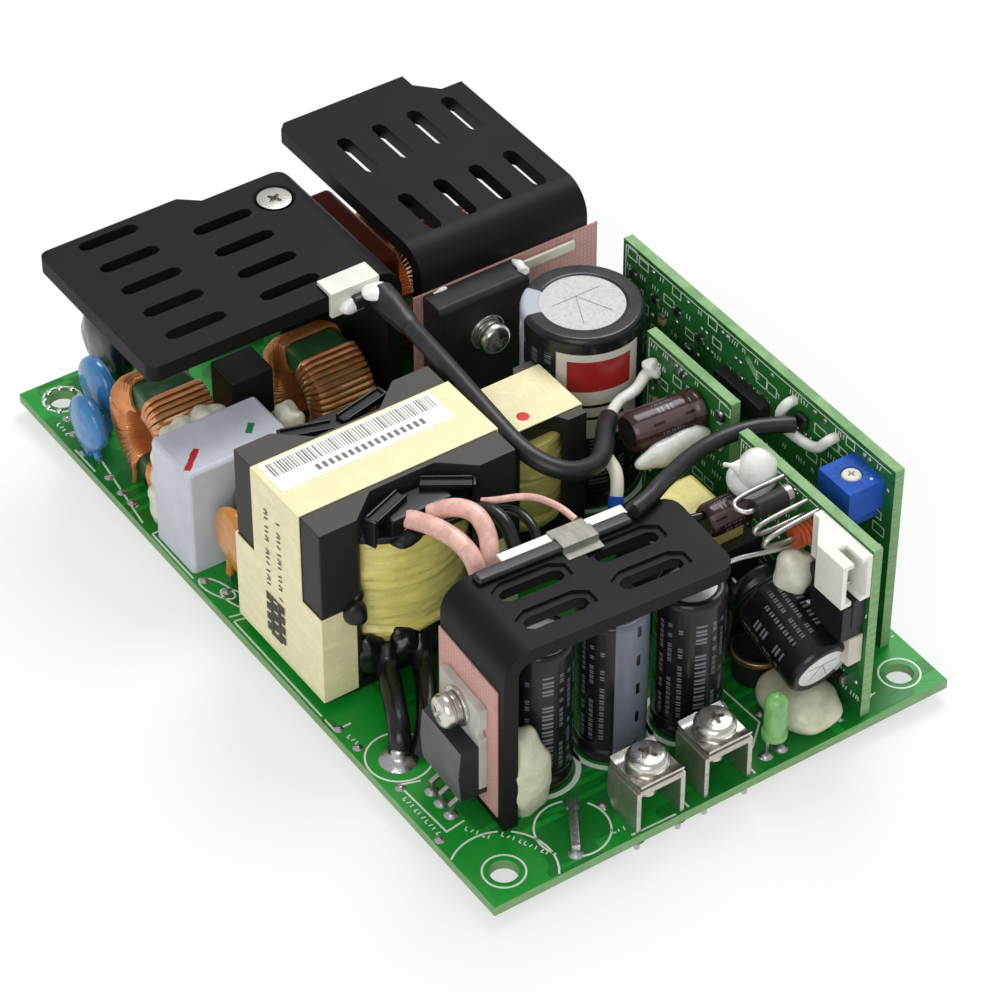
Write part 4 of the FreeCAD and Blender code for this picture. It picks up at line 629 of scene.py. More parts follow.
@dataclass(frozen=True)
class FilmBox(Finish):
    """Pale box of a film capacitor with two pen ticks on its top."""

    tone: Colour = paint(202, 205, 216)
    ticks: tuple[tuple[Point, Point, Colour], ...] = ()
    top: float = 20.2

    def make(self) -> bpy.types.Material:
        """Return the box plastic with the ticks drawn in object coordinates."""
        r = Recipe(self.name)
        x, y, z = r.axes()
        fine = r.cloud(5.0, 4.0)
        broad = r.cloud(0.2, 2.0)
        base = r.blend(broad.rise(0.35, 0.7), self.tone, shade(self.tone, 0.9))
        shake = r.cloud(1.4, 2.0) * 0.5 - 0.25
        for start, end, colour in self.ticks:
            run = (end[0] - start[0], end[1] - start[1])
            length = math.hypot(*run)
            along = ((x - start[0]) * (run[0] / length) + (y - start[1]) * (run[1] / length))
            aside = abs((x - start[0]) * (-run[1] / length) + (y - start[1]) * (run[0] / length) + shake)
            mark = aside.rise(0.56, 0.42) * along.within(0.0, length, 0.12) * z.rise(self.top - 0.3, self.top - 0.1)
            base = r.blend(mark, base, colour)
        return r.dress(base_color=base, roughness=fine * 0.2 + 0.34, normal=r.relief(fine, 0.015, 0.5),
                       subsurface_weight=0.05, subsurface_radius=(0.001, 0.001, 0.001))


@dataclass(frozen=True)
class PaperLabel(Finish):
    """White label with plain bars and a line of plain dashes; u, v are in millimetres."""

    size: Point = (20.0, 6.0)
    bar_rate: float = 2.3
    dash_rate: float = 0.95

    def make(self) -> bpy.types.Material:
        """Return the paper with its generic print."""
        r = Recipe(self.name)
        u, v, _ = r.axes(r.wrap)
        fibre = r.cloud(3.0, 4.0)
        width, height = self.size
        paper = r.blend(fibre.rise(0.4, 0.75), paint(240, 239, 234), paint(226, 224, 218))
        cell = u * self.bar_rate
        pick = r.node("ShaderNodeTexWhiteNoise", {"noise_dimensions": "1D"}, w=cell.whole())
        bars = (Sock(r.tree, pick.outputs[0]) * 0.5 + 0.2 - cell.part()).rise(0.0, 0.05)
        bars = bars * v.within(height * 0.5, height - 0.5, 0.04) * u.within(0.8, width - 0.8, 0.04)
        dash = (u * self.dash_rate).part().within(0.2, 0.74, 0.05) * v.within(height * 0.17, height * 0.36, 0.05)
        dash = dash * u.within(width * 0.22, width * 0.86, 0.05)
        paper = r.blend((bars + dash).least(1.0) * 0.85, paper, paint(44, 42, 44))
        return r.dress(base_color=paper, roughness=fibre * 0.15 + 0.4, normal=r.relief(fibre, 0.01, 0.4))


class Wear:
    """The finishes of this supply, by what wears them."""

    mask = SolderMask("board_lacquer")
    card_mask = SolderMask("card_lacquer", over_copper=paint(40, 108, 50), over_laminate=paint(30, 92, 44),
                           upright=True,
                           track_pitch=1.6, pour_scale=0.16)
    edge = Coat("board_edge", tone=paint(134, 172, 118), second=paint(108, 150, 96), third=paint(190, 212, 178),
                broad=(1.0, 2.0, 0.55), stretch=(0.3, 0.3, 6.0), grain=3.0, fine=(4.0, 0.55),
                patch=(0.35, 0.65, 1.0),
                specks=(0.58, 0.7, 0.35), rough=0.6, sway=(0.0, 0.3), height=(1.0, 1.0), depth=0.03, strength=0.6)
    ink = Ink("print_ink")
    dark_ink = Ink("dark_print", tone=paint(52, 48, 50))
    red_ink = Ink("red_dot", tone=paint(214, 44, 34))
    sink = SinkBlack("heatsink_black")
    ferrite = Ferrite("ferrite")
    tape = WindingTape("core_tape", wrinkles=0.12)
    drum = WindingTape("drum_tape", tone=paint(230, 219, 126), wrinkles=0.22, lap_pitch=4.4)
    copper = Coat("winding_copper", tone=paint(206, 130, 76), second=paint(222, 150, 92), third=paint(150, 86, 46),
                  grain=6.0, patch=(0.3, 0.7, 1.0), rough=0.3, depth=0.01, strength=0.4, metal=0.6,
                  varnish=(0.6, 0.12))
    core = Coat("toroid_lacquer", tone=paint(40, 84, 50), second=paint(74, 112, 72), broad=(0.5, 5.0, 0.55),
                grain=1.6,
                fine=(2.0, 0.55), patch=(0.45, 0.8, 0.6), rough=0.35, depth=0.06)
    bulk = CanSleeve("bulk_sleeve", tone=paint(26, 27, 31), stripe=0.654, stripe_width=0.115,
                     mark=paint(176, 180, 192),
                     panel=0.95, length=31.5)
    can = CanSleeve("can_sleeve", tone=paint(17, 17, 21))
    striped_can = CanSleeve("striped_sleeve", tone=paint(17, 17, 21), mark=paint(104, 108, 120), stripe=0.026,
                            stripe_width=0.22)
    edge_striped_can = CanSleeve("edge_striped_sleeve", tone=paint(17, 17, 21), mark=paint(104, 108, 120),
                                 stripe=0.735,
                                 stripe_width=0.17)
    lying = CanSleeve("lying_sleeve", tone=paint(15, 15, 18), mark=paint(150, 152, 158), stripe=0.2,
                      stripe_width=0.1,
                      length=16.0)
    brown = CanSleeve("brown_sleeve", tone=paint(50, 28, 28), mark=paint(92, 76, 76), stripe=0.1, stripe_width=0.12,
                      length=11.0)
    can_end = Aluminium("can_end")
    vent = Aluminium("vent_line", tone=paint(140, 140, 142))
    pale_end = Aluminium("pale_can_end", tone=paint(238, 238, 238))
    black = Moulded("black_moulding")
    epoxy = Moulded("package_epoxy", tone=paint(30, 30, 32), second=paint(44, 43, 44), rough=0.5, grain=9.0)
    pasted = Moulded("pasted_tab", tone=paint(198, 197, 190), second=paint(172, 170, 164), rough=0.42, grain=3.0)
    # Painted reflection: a grey tone for the package face that looks along -Y, standing in for its gloss.
    face_sheen = Moulded("package_face", tone=paint(84, 83, 86), second=paint(100, 98, 102), rough=0.45, grain=9.0)
    bobbin = Moulded("bobbin_black", tone=paint(18, 18, 20), second=paint(28, 28, 30), rough=0.34, grain=2.0)
    nylon = Moulded("white_nylon", tone=paint(236, 234, 226), second=paint(222, 220, 212), rough=0.36, grain=2.0,
                    glow=0.2)
    ceramic = Moulded("fuse_ceramic", tone=paint(206, 200, 188), second=paint(188, 182, 170), rough=0.5, grain=3.0)
    blue_case = Moulded("trimmer_blue", tone=paint(30, 78, 172), second=paint(42, 94, 190), rough=0.5, grain=4.0,
                        shine=0.12)
    cream = Moulded("rotor_cream", tone=paint(226, 222, 206), second=paint(208, 204, 188), rough=0.4, grain=4.0)
    red_box = Moulded("dark_red_case", tone=paint(92, 34, 26), second=paint(112, 46, 34), rough=0.4, grain=3.0)
    bronze = Moulded("wirewound_bronze", tone=paint(160, 66, 36), second=paint(190, 92, 50), rough=0.35, grain=3.0)
    chip_tan = Moulded("chip_tan", tone=paint(176, 150, 112), second=paint(196, 172, 134), rough=0.4, grain=6.0)
    ring_bronze = Plated("ring_bronze", tone=paint(190, 150, 110), rough=0.38)
    tin_plate = Plated("terminal_tin", tone=paint(200, 196, 186), rough=0.4)
    plated = Plated("plated_steel")
    tinned = Plated("tinned_lead", tone=paint(186, 184, 180), rough=0.34)
    bright = Plated("bright_plate", tone=paint(220, 216, 210), rough=0.24)
    solder = Coat("solder", tone=paint(198, 198, 200), second=paint(140, 140, 142), broad=(8.0, 4.0, 0.55),
                  grain=1.3,
                  fine=(2.0, 0.55), patch=(0.45, 0.75, 1.0), rough=0.29, sway=(0.3, 0.0), height=(0.15, 1.0),
                  depth=0.18,
                  metal=0.95)
    pink = PinkPad("insulating_sheet")
    glue = FixGlue("fixing_glue")
    white_glue = FixGlue("white_glue", tone=paint(242, 242, 238))
    green_glue = FixGlue("green_white_glue", tone=paint(206, 207, 180))
    blue_dip = Dip("blue_dip")
    orange_dip = Dip("orange_dip", tone=paint(204, 136, 52))
    green_dip = Dip("green_dip", tone=paint(70, 92, 70))
    black_dip = Dip("black_dip", tone=paint(20, 20, 22))
    film = FilmBox("film_box", ticks=(((-18.5, -33.0), (-15.2, -36.6), paint(176, 24, 34)),
                                      ((-18.9, -23.6), (-17.2, -25.2), paint(24, 120, 62))))
    lamp = Tinted("lamp_green", tone=paint(150, 208, 132))
    rose = Tinted("rose_sleeve", tone=paint(216, 172, 160), clear=0.0, rough=0.275)
    lead = Sleeving("lead_sleeve")
    gloss = Moulded("glossy_sleeve", tone=paint(15, 15, 17), second=paint(26, 26, 28), rough=0.22, grain=1.4,
                    depth=0.1, shine=0.45)
    white_wire = Sleeving("white_wire", tone=paint(232, 230, 224))
    label = PaperLabel("paper_label", size=(27.9, 6.5))
    foil = Coat("silver_tape", tone=paint(150, 147, 140), second=paint(126, 123, 117), broad=(0.5, 4.0, 0.55),
                stretch=(0.4, 1.6, 1.0), rough=0.5, height=(1.0, 0.0), depth=0.25, metal=0.4)


# Mesh making


def skewed(point: Point) -> Vector:
    """Return a point given square to the output heatsink's corner, turned to its skewed place."""
    return SINK_CORNER + Matrix.Rotation(math.radians(SINK_SKEW), 3, "Z") @ (Vector(point) - SINK_CORNER)


def round_spots(radius: float, sides: int) -> list[Pair]:
    """Return the corners of a regular polygon round the origin."""
    turns = [math.tau * k / sides for k in range(sides)]
    return [(radius * math.cos(turn), radius * math.sin(turn)) for turn in turns]


def frame_along(axis: Vector) -> Matrix:
    """Return the rotation that turns +Z to an axis."""
    return Z.rotation_difference(axis.normalized()).to_matrix().to_4x4()


def rim(corners: Sequence[Point], radius: float) -> list[tuple[float, float]]:
    """Return a turned profile whose inner corners are rounded with three short steps."""
    out = [tuple(corners[0])]
    for before, corner, after in zip(corners, corners[1:], corners[2:]):
        a, b, c = Vector(before), Vector(corner), Vector(after)
        reach = min(radius, (a - b).length * 0.45, (c - b).length * 0.45)
        first, last = b + (a - b).normalized() * reach, b + (c - b).normalized() * reach
        for k in range(4):
            t = k / 3
            spot = first * (1 - t) ** 2 + b * (2 * t * (1 - t)) + last * t ** 2
            out.append((max(spot.x, 0.0), spot.y))
    return out + [tuple(corners[-1])]


def fresh() -> bmesh.types.BMesh:
    """Return an empty part with room for its wrapped coordinates."""
    part = bmesh.new()
    part.loops.layers.uv.new("wrap")
    return part


def swept(outline: Sequence[Point], travel: Point) -> bmesh.types.BMesh:
    """Return an outline swept along a vector, closed."""
    part = fresh()
    base = part.faces.new([part.verts.new(Vector(p)) for p in outline])
    moved = bmesh.ops.extrude_face_region(part, geom=[base])["geom"]
    corners = [each for each in moved if isinstance(each, bmesh.types.BMVert)]
    bmesh.ops.translate(part, vec=Vector(travel), verts=corners)
    bmesh.ops.recalc_face_normals(part, faces=part.faces)
    return part


def spun(profile: Sequence[Point], base: Point, axis: Vector = Z, sides: int = 40,
         loop: bool = False) -> bmesh.types.BMesh:
    """Return a turned part; u runs round it, v along its wall in millimetres.

    Args:
        profile: (radius, height) pairs; where it starts or ends off the axis, it is closed flat.
        base: the axis point at height 0.
        axis: its direction.
        sides: number of steps round it.
        loop: whether the profile closes on itself, as a ring's section does.

    Returns:
        The part.
    """
    part = fresh()
    uv = part.loops.layers.uv["wrap"]
    place = Matrix.Translation(Vector(base)) @ frame_along(axis)
    rings = []
    for radius, height in profile:
        count = sides if radius > PIN_RADIUS else 1
        rings.append([part.verts.new(place @ Vector((x, y, height))) for x,
                      y in round_spots(radius, sides)[:count]])
    heights = [height for radius, height in profile]
    if loop:
        rings.append(rings[0])
        heights.append(heights[0])
    for low, high, first, last in zip(rings, rings[1:], heights, heights[1:]):
        for k in range(sides):
            n = (k + 1) % sides
            if len(low) == 1 and len(high) == 1:
                continue
            if len(low) == 1:
                face, spots = part.faces.new((low[0], high[n], high[k])), ((k + 0.5, 0), (k + 1, 1), (k, 1))
            elif len(high) == 1:
                face, spots = part.faces.new((low[k], low[n], high[0])), ((k, 0), (k + 1, 0), (k + 0.5, 1))
            else:
                face = part.faces.new((low[k], low[n], high[n], high[k]))
                spots = ((k, 0), (k + 1, 0), (k + 1, 1), (k, 1))
            for corner, (turn, end) in zip(face.loops, spots):
                corner[uv].uv = (turn / sides, last if end else first)
    if not loop:
        for ring in (rings[0], rings[-1]):
            if len(ring) > 1:
                part.faces.new(ring)
    bmesh.ops.recalc_face_normals(part, faces=part.faces)
    return part


def scratch(part: bmesh.types.BMesh) -> bpy.types.Object:
    """Return a short-lived object of a part, for a cut."""
    mesh = bpy.data.meshes.new("scratch")
    part.to_mesh(mesh)
    part.free()
    held = bpy.data.objects.new("scratch", mesh)
    bpy.context.scene.collection.objects.link(held)
    return held


def carved(part: bmesh.types.BMesh, *tools: bmesh.types.BMesh) -> bmesh.types.BMesh:
    """Return a part with other parts cut out of it."""
    held = [scratch(each) for each in (part, *tools)]
    for tool in held[1:]:
        bite = held[0].modifiers.new("bite", "BOOLEAN")
        bite.operation, bite.solver, bite.object = "DIFFERENCE", "EXACT", tool
    mesh = bpy.data.meshes.new_from_object(held[0].evaluated_get(bpy.context.evaluated_depsgraph_get()))
    out = bmesh.new()
    out.from_mesh(mesh)
    if "wrap" not in out.loops.layers.uv:
        out.loops.layers.uv.new("wrap")
    for worn in held:
        bpy.data.objects.remove(worn)
    return out


def ruffled(part: bmesh.types.BMesh, depth: float, scale: Point, seed: float = 0.0) -> bmesh.types.BMesh:
    """Return a part whose skin is moved in and out by soft noise.

    Args:
        part: the part, with faces smaller than the noise.
        depth: how far a point may move, in millimetres.
        scale: features per millimetre along each axis.
        seed: shifts the noise.

    Returns:
        The same part.
    """
    part.normal_update()
    moves = []
    for vert in part.verts:
        spot = Vector([vert.co[i] * scale[i] + seed for i in range(3)])
        moves.append(vert.normal * (depth * (noise.noise(spot) + 0.5 * noise.noise(spot * 2.3))))
    for vert, move in zip(part.verts, moves):
        vert.co += move
    return part


class Form:
    """A piece in the making: parts in millimetres, each with the finish that it wears."""

    def __init__(self, name: str, node: str = "") -> None:
        """Start an empty piece, which may stand for a node."""
        self.name = name
        self.node = node
        self.bm = fresh()
        self.finishes: list[Finish] = []

    def add(self, part: bmesh.types.BMesh, finish: Finish, outward: bool = True) -> "Form":
        """Add a part's faces with a finish.

        Args:
            part: the part, which is used up.
            finish: what it wears.
            outward: whether its normals are turned outward, as a closed part's can be.

        Returns:
            This form.
        """
        if outward:
            bmesh.ops.recalc_face_normals(part, faces=part.faces)
        if finish not in self.finishes:
            self.finishes.append(finish)
        for face in part.faces:
            face.material_index = self.finishes.index(finish)
            face.smooth = True
        carrier = bpy.data.meshes.new("carrier")
        part.to_mesh(carrier)
        part.free()
        self.bm.from_mesh(carrier)
        bpy.data.meshes.remove(carrier)
        return self

    def prism(self, outline: Sequence[Point], travel: Point, finish: Finish, edge: float = 0.15) -> "Form":
        """Add a prism with softened edges.

        Args:
            outline: its closed outline, as points.
            travel: the vector that it is swept along.
            finish: what it wears.
            edge: radius of its softened edges.

        Returns:
            This form.
        """
        part = swept(outline, travel)
        self.soften(part, edge)
        return self.add(part, finish)

    def block(self, low: Point, size: Point, finish: Finish, edge: float = 0.15) -> "Form":
        """Add a block from its low corner and size, with softened edges."""
        x, y, z = low
        dx, dy, dz = size
        outline = [(x, y, z), (x + dx, y, z), (x + dx, y + dy, z), (x, y + dy, z)]
        return self.prism(outline, (0, 0, dz), finish, edge)

    def soften(self, part: bmesh.types.BMesh, edge: float, steps: int = 2) -> None:
        """Round the sharp edges of a part."""
        sharp = [e for e in part.edges if len(e.link_faces) == 2
                 and e.calc_face_angle(0.0) > math.radians(ROUNDED_EDGE)]
        bmesh.ops.bevel(part, geom=sharp, offset=edge, segments=steps, profile=0.5, affect="EDGES",
                        clamp_overlap=True)

    def turned(self, profile: Sequence[Point], base: Point, finish: Finish, axis: Vector = Z, sides: int = 40,
               loop: bool = False) -> "Form":
        """Add a turned part; the profile, base, axis, sides and loop are as for spun()."""
        return self.add(spun(profile, base, axis, sides, loop), finish)

    def tube(self, points: Sequence[Point], radius: float, finish: Finish, sides: int = 12,
             steps: int = 5) -> "Form":
        """Add a bent wire through points, its corners smoothed and its ends closed.

        Args:
            points: the wire's corner points.
            radius: the wire's radius.
            finish: what it wears.
            sides: number of steps round it.
            steps: number of steps round each corner.

        Returns:
            This form.
        """
        spots = [Vector(p) for p in points]
        line = [spots[0]]
        for before, corner, after in zip(spots, spots[1:], spots[2:]):
            first, last = corner.lerp(before, 0.48), corner.lerp(after, 0.48)
            for k in range(steps + 1):
                t = k / steps
                line.append(first * (1 - t) ** 2 + corner * (2 * t * (1 - t)) + last * t ** 2)
        line.append(spots[-1])
        part = fresh()
        uv = part.loops.layers.uv["wrap"]
        run = (line[1] - line[0]).normalized()
        side = run.cross(Z if abs(run.z) < 0.9 else X).normalized()
        rings, lengths, travelled = [], [], 0.0
        for k, spot in enumerate(line):
            ahead = (line[min(k + 1, len(line) - 1)] - line[max(k - 1, 0)]).normalized()
            side = (side - ahead * side.dot(ahead)).normalized()
            other = ahead.cross(side)
            travelled += (spot - line[k - 1]).length if k else 0.0
            lengths.append(travelled)
            rings.append([part.verts.new(spot + side * near + other * far) for near,
                          far in round_spots(radius, sides)])
        for k, (low, high) in enumerate(zip(rings, rings[1:])):
            for n in range(sides):
                face = part.faces.new((low[n], low[(n + 1) % sides], high[(n + 1) % sides], high[n]))
                spots_uv = ((n, lengths[k]), (n + 1, lengths[k]), (n + 1, lengths[k + 1]), (n, lengths[k + 1]))
                for loop, (turn, far) in zip(face.loops, spots_uv):
                    loop[uv].uv = (turn / sides, far)
        part.faces.new(rings[0])
        part.faces.new(rings[-1])
        return self.add(part, finish)

    def cad(self, node: str, finish: Finish, edge: float = 0.12, steps: int = 2,
            pick: Optional[Iterable[int]] = None) -> "Form":
        """Add a merged copy of a node's solids, with softened edges.

        Args:
            node: the node's name.
            finish: what it wears.
            edge: radius of its softened edges.
            steps: number of steps round each of them.
            pick: which of its solids, in the order of islands(); all without it.

        Returns:
            This form.
        """
        solids = islands(node)
        for index, part in enumerate(solids):
            if pick is not None and index not in pick:
                part.free()
                continue
            part.loops.layers.uv.new("wrap")
            bmesh.ops.dissolve_limit(part, angle_limit=math.radians(0.8), verts=part.verts, edges=part.edges)
            self.soften(part, edge, steps)
            self.add(part, finish, outward=False)
        return self

    def repaint(self, finish: Finish, test: Callable[[Vector, Vector], bool]) -> "Form":
        """Give a finish to the faces whose normal and centre pass a test."""
        if finish not in self.finishes:
            self.finishes.append(finish)
        self.bm.normal_update()
        for face in self.bm.faces:
            if test(face.normal, face.calc_center_median()):
                face.material_index = self.finishes.index(finish)
        return self

    def strip(self, points: Sequence[Point], width: float, finish: Finish, height: float = BOARD_TOP,
              thick: float = 0.04, closed: bool = False, place: Optional[Matrix] = None) -> "Form":
        """Add a thin flat line through points on a level, as print or foil.

        Args:
            points: the line's x and y.
            width: its width.
            finish: what it wears.
            height: the level that it lies on.
            thick: its thickness.
            closed: whether it joins its own start.
            place: a transform for the whole line.

        Returns:
            This form.
        """
        spots = [Vector((p[0], p[1], 0)) for p in points]
        count = len(spots)
        sides: list[list[Vector]] = [[], []]
        for k, spot in enumerate(spots):
            back = spots[k - 1] if k or closed else spot
            ahead = spots[(k + 1) % count] if k < count - 1 or closed else spot
            into = (spot - back).normalized() if (spot - back).length else (ahead - spot).normalized()
            away = (ahead - spot).normalized() if (ahead - spot).length else into
            across = (into + away).cross(Z).normalized()
            reach = width / 2 / max(0.4, across.dot(into.cross(Z)))
            sides[0].append(spot + across * reach)
            sides[1].append(spot - across * reach)
        part = fresh()
        (a, b), (c, d) = ([[part.verts.new(spot + Z * level) for spot in side] for side in sides]
                          for level in (height, height + thick))
        for k in range(count if closed else count - 1):
            n = (k + 1) % count
            for quad in ((a[k], a[n], b[n], b[k]), (c[k], d[k], d[n], c[n]), (a[k], c[k], c[n], a[n]),
                         (b[k], b[n], d[n], d[k])):
                part.faces.new(quad)
        if not closed:
            part.faces.new((a[0], b[0], d[0], c[0]))
            part.faces.new((a[-1], c[-1], d[-1], b[-1]))
        if place is not None:
            part.transform(place)
        return self.add(part, finish)

    def circle(self, centre: Point, radius: float, width: float, finish: Finish,
               arc: Point = (0.0, 360.0)) -> "Form":
        """Add a thin ring or arc on the board, between two angles in degrees."""
        whole = arc[1] - arc[0] >= 359.9
        count = max(8, int((arc[1] - arc[0]) / 8))
        turns = [math.radians(arc[0] + (arc[1] - arc[0]) * k / count) for k in range(count + (0 if whole else 1))]
        spots = [(centre[0] + radius * math.cos(t), centre[1] + radius * math.sin(t)) for t in turns]
        return self.strip(spots, width, finish, closed=whole)

    def lump(self, centre: Point, reach: Point, finish: Finish, rough: float = 0.12, scale: float = 0.25,
             floor: float = BOARD_TOP, seed: float = 0.0) -> "Form":
        """Add a soft lump with an uneven skin, cut flat at a floor level.

        Args:
            centre: its middle.
            reach: its half sizes.
            finish: what it wears.
            rough: how uneven it is, as a share of its size.
            scale: unevenness per millimetre.
            floor: the level below which it is flat.
            seed: shifts the unevenness.

        Returns:
            This form.
        """
        part = fresh()
        bmesh.ops.create_icosphere(part, subdivisions=4, radius=1.0)
        middle = Vector(centre)
        for vert in part.verts:
            way = vert.co.normalized()
            spot = Vector([middle[i] + way[i] * reach[i] for i in range(3)])
            swell = 1.0 + rough * noise.noise(spot * scale + Vector((seed, seed, seed))) * 2
            spot = middle + (spot - middle) * swell
            if spot.z < floor:
                spot.z = floor - 0.01 * (floor - spot.z)
            vert.co = spot
        return self.add(part, finish)

    def screw(self, base: Vector, axis: Vector, radius: float, height: float, finish: Finish,
              countersunk: bool = False,
              turn: float = 0.3) -> "Form":
        """Add a cross-recessed screw head; base is the middle of its seat."""
        r, h = radius, height
        corners = ([(0, -0.2), (r * 0.55, -0.2), (r, h - 0.12), (r, h), (0, h)] if countersunk
                   else [(0, 0), (r, 0), (r, h * 0.55), (r * 0.84, h * 0.9), (0, h * 1.04)])
        head = spun(rim(corners, 0.06 if countersunk else r * 0.22), (0, 0, 0), sides=48)
        arm, half, deep = r * 0.56, r * 0.115, h * 0.62
        outline = []
        for k in range(4):
            spin = Matrix.Rotation(k * math.pi / 2, 3, "Z")
            outline += [spin @ Vector((arm, -half, h + 1)), spin @ Vector((arm, half, h + 1)),
                        spin @ Vector((half * 1.5, half * 1.5, h + 1))]
        cross = swept(outline, (0, 0, -1 - deep))
        bmesh.ops.scale(cross, vec=(0.62, 0.62, 1), verts=[v for v in cross.verts if v.co.z < h])
        part = carved(head, cross)
        part.transform(Matrix.Translation(base) @ frame_along(axis) @ Matrix.Rotation(turn, 4, "Z"))
        return self.add(part, finish)

    def decal(self, corner: Point, along: Point, across: Point, finish: Finish) -> "Form":
        """Add a thin label; its u and v run along and across it in millimetres from its corner."""
        low, run, side = Vector(corner), Vector(along), Vector(across)
        part = swept([low, low + run, low + run + side, low + side], run.cross(side).normalized() * PAPER)
        uv = part.loops.layers.uv["wrap"]
        for face in part.faces:
            for loop in face.loops:
                away = loop.vert.co - low
                loop[uv].uv = (away.dot(run.normalized()), away.dot(side.normalized()))
        return self.add(part, finish)

    def done(self, body: str = "supply") -> bpy.types.Object:
        """Make the object, in metres, riding on a body and standing for the form's node."""
        self.bm.transform(Matrix.Scale(MM, 4))
        mesh = bpy.data.meshes.new(self.name)
        self.bm.to_mesh(mesh)
        self.bm.free()
        for finish in self.finishes:
            mesh.materials.append(material_of(finish))
        mesh.set_sharp_from_angle(angle=math.radians(SHARP_EDGE))
        piece = bpy.data.objects.new(self.name, mesh)
        bpy.context.scene.collection.objects.link(piece)
        even = piece.modifiers.new("even", "WEIGHTED_NORMAL")
        even.keep_sharp = True
        finished = bpy.data.meshes.new_from_object(piece.evaluated_get(bpy.context.evaluated_depsgraph_get()))
        piece.modifiers.clear()
        piece.data = finished
        finished.name = self.name
        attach(piece, body)
        if self.node:
            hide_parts(self.node)
        log.info("%s: %d faces", self.name, len(mesh.polygons))
        return piece


def dressing(node: str, name: str = "") -> Form:
    """Return the empty piece that stands for a node, named after it unless a name is given."""
    return Form(f"{name or node}_dressed", node)


def dressed(node: str, finish: Finish, edge: float, steps: int = 2, name: str = "") -> None:
    """Dress a node's own solids in one finish, with softened edges."""
    dressing(node, name).cad(node, finish, edge, steps).done()


def islands(node: str) -> list[bmesh.types.BMesh]:
    """Return a merged copy of each solid of a node, in millimetres, in a fixed order."""
    whole = bmesh.new()
    whole.from_mesh(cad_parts[node].data)
    bmesh.ops.remove_doubles(whole, verts=whole.verts, dist=WELD)
    whole.transform(Matrix.Scale(1 / MM, 4))
    seen: set[int] = set()
    out = []
    whole.verts.ensure_lookup_table()
    for seed in whole.verts:
        if seed.index in seen:
            continue
        stack, members = [seed], []
        seen.add(seed.index)
        while stack:
            vert = stack.pop()
            members.append(vert)
            for link in vert.link_edges:
                other = link.other_vert(vert)
                if other.index not in seen:
                    seen.add(other.index)
                    stack.append(other)
        part = bmesh.new()
        copies = {vert: part.verts.new(vert.co) for vert in members}
        for face in {f for vert in members for f in vert.link_faces}:
            part.faces.new([copies[v] for v in face.verts])
        out.append(part)
    whole.free()
    out.sort(key=lambda part: tuple(round(sum(v.co[i] for v in part.verts) / len(part.verts), 2) for i in range(3)))
    return out


def spans(node: str) -> list[tuple[Vector, Vector]]:
    """Return the lowest and highest corner of each solid of a node, in millimetres."""
    out = []
    for part in islands(node):
        out.append(tuple(Vector([pick(v.co[i] for v in part.verts) for i in range(3)]) for pick in (min, max)))
        part.free()
    return out


def where(node: str, test: Callable[[Vector], bool]) -> list[int]:
    """Return which of a node's solids have a middle that passes a test, as islands() numbers them."""
    return [k for k, (low, high) in enumerate(spans(node)) if test((low + high) / 2)]


def on_face(face: float) -> Matrix:
    """Return the place of print that is drawn in x and z, on a face that looks along -Y."""
    return Matrix.Translation((0, face, 0)) @ Matrix.Rotation(math.pi / 2, 4, "X")


# The camera, the light and the floor


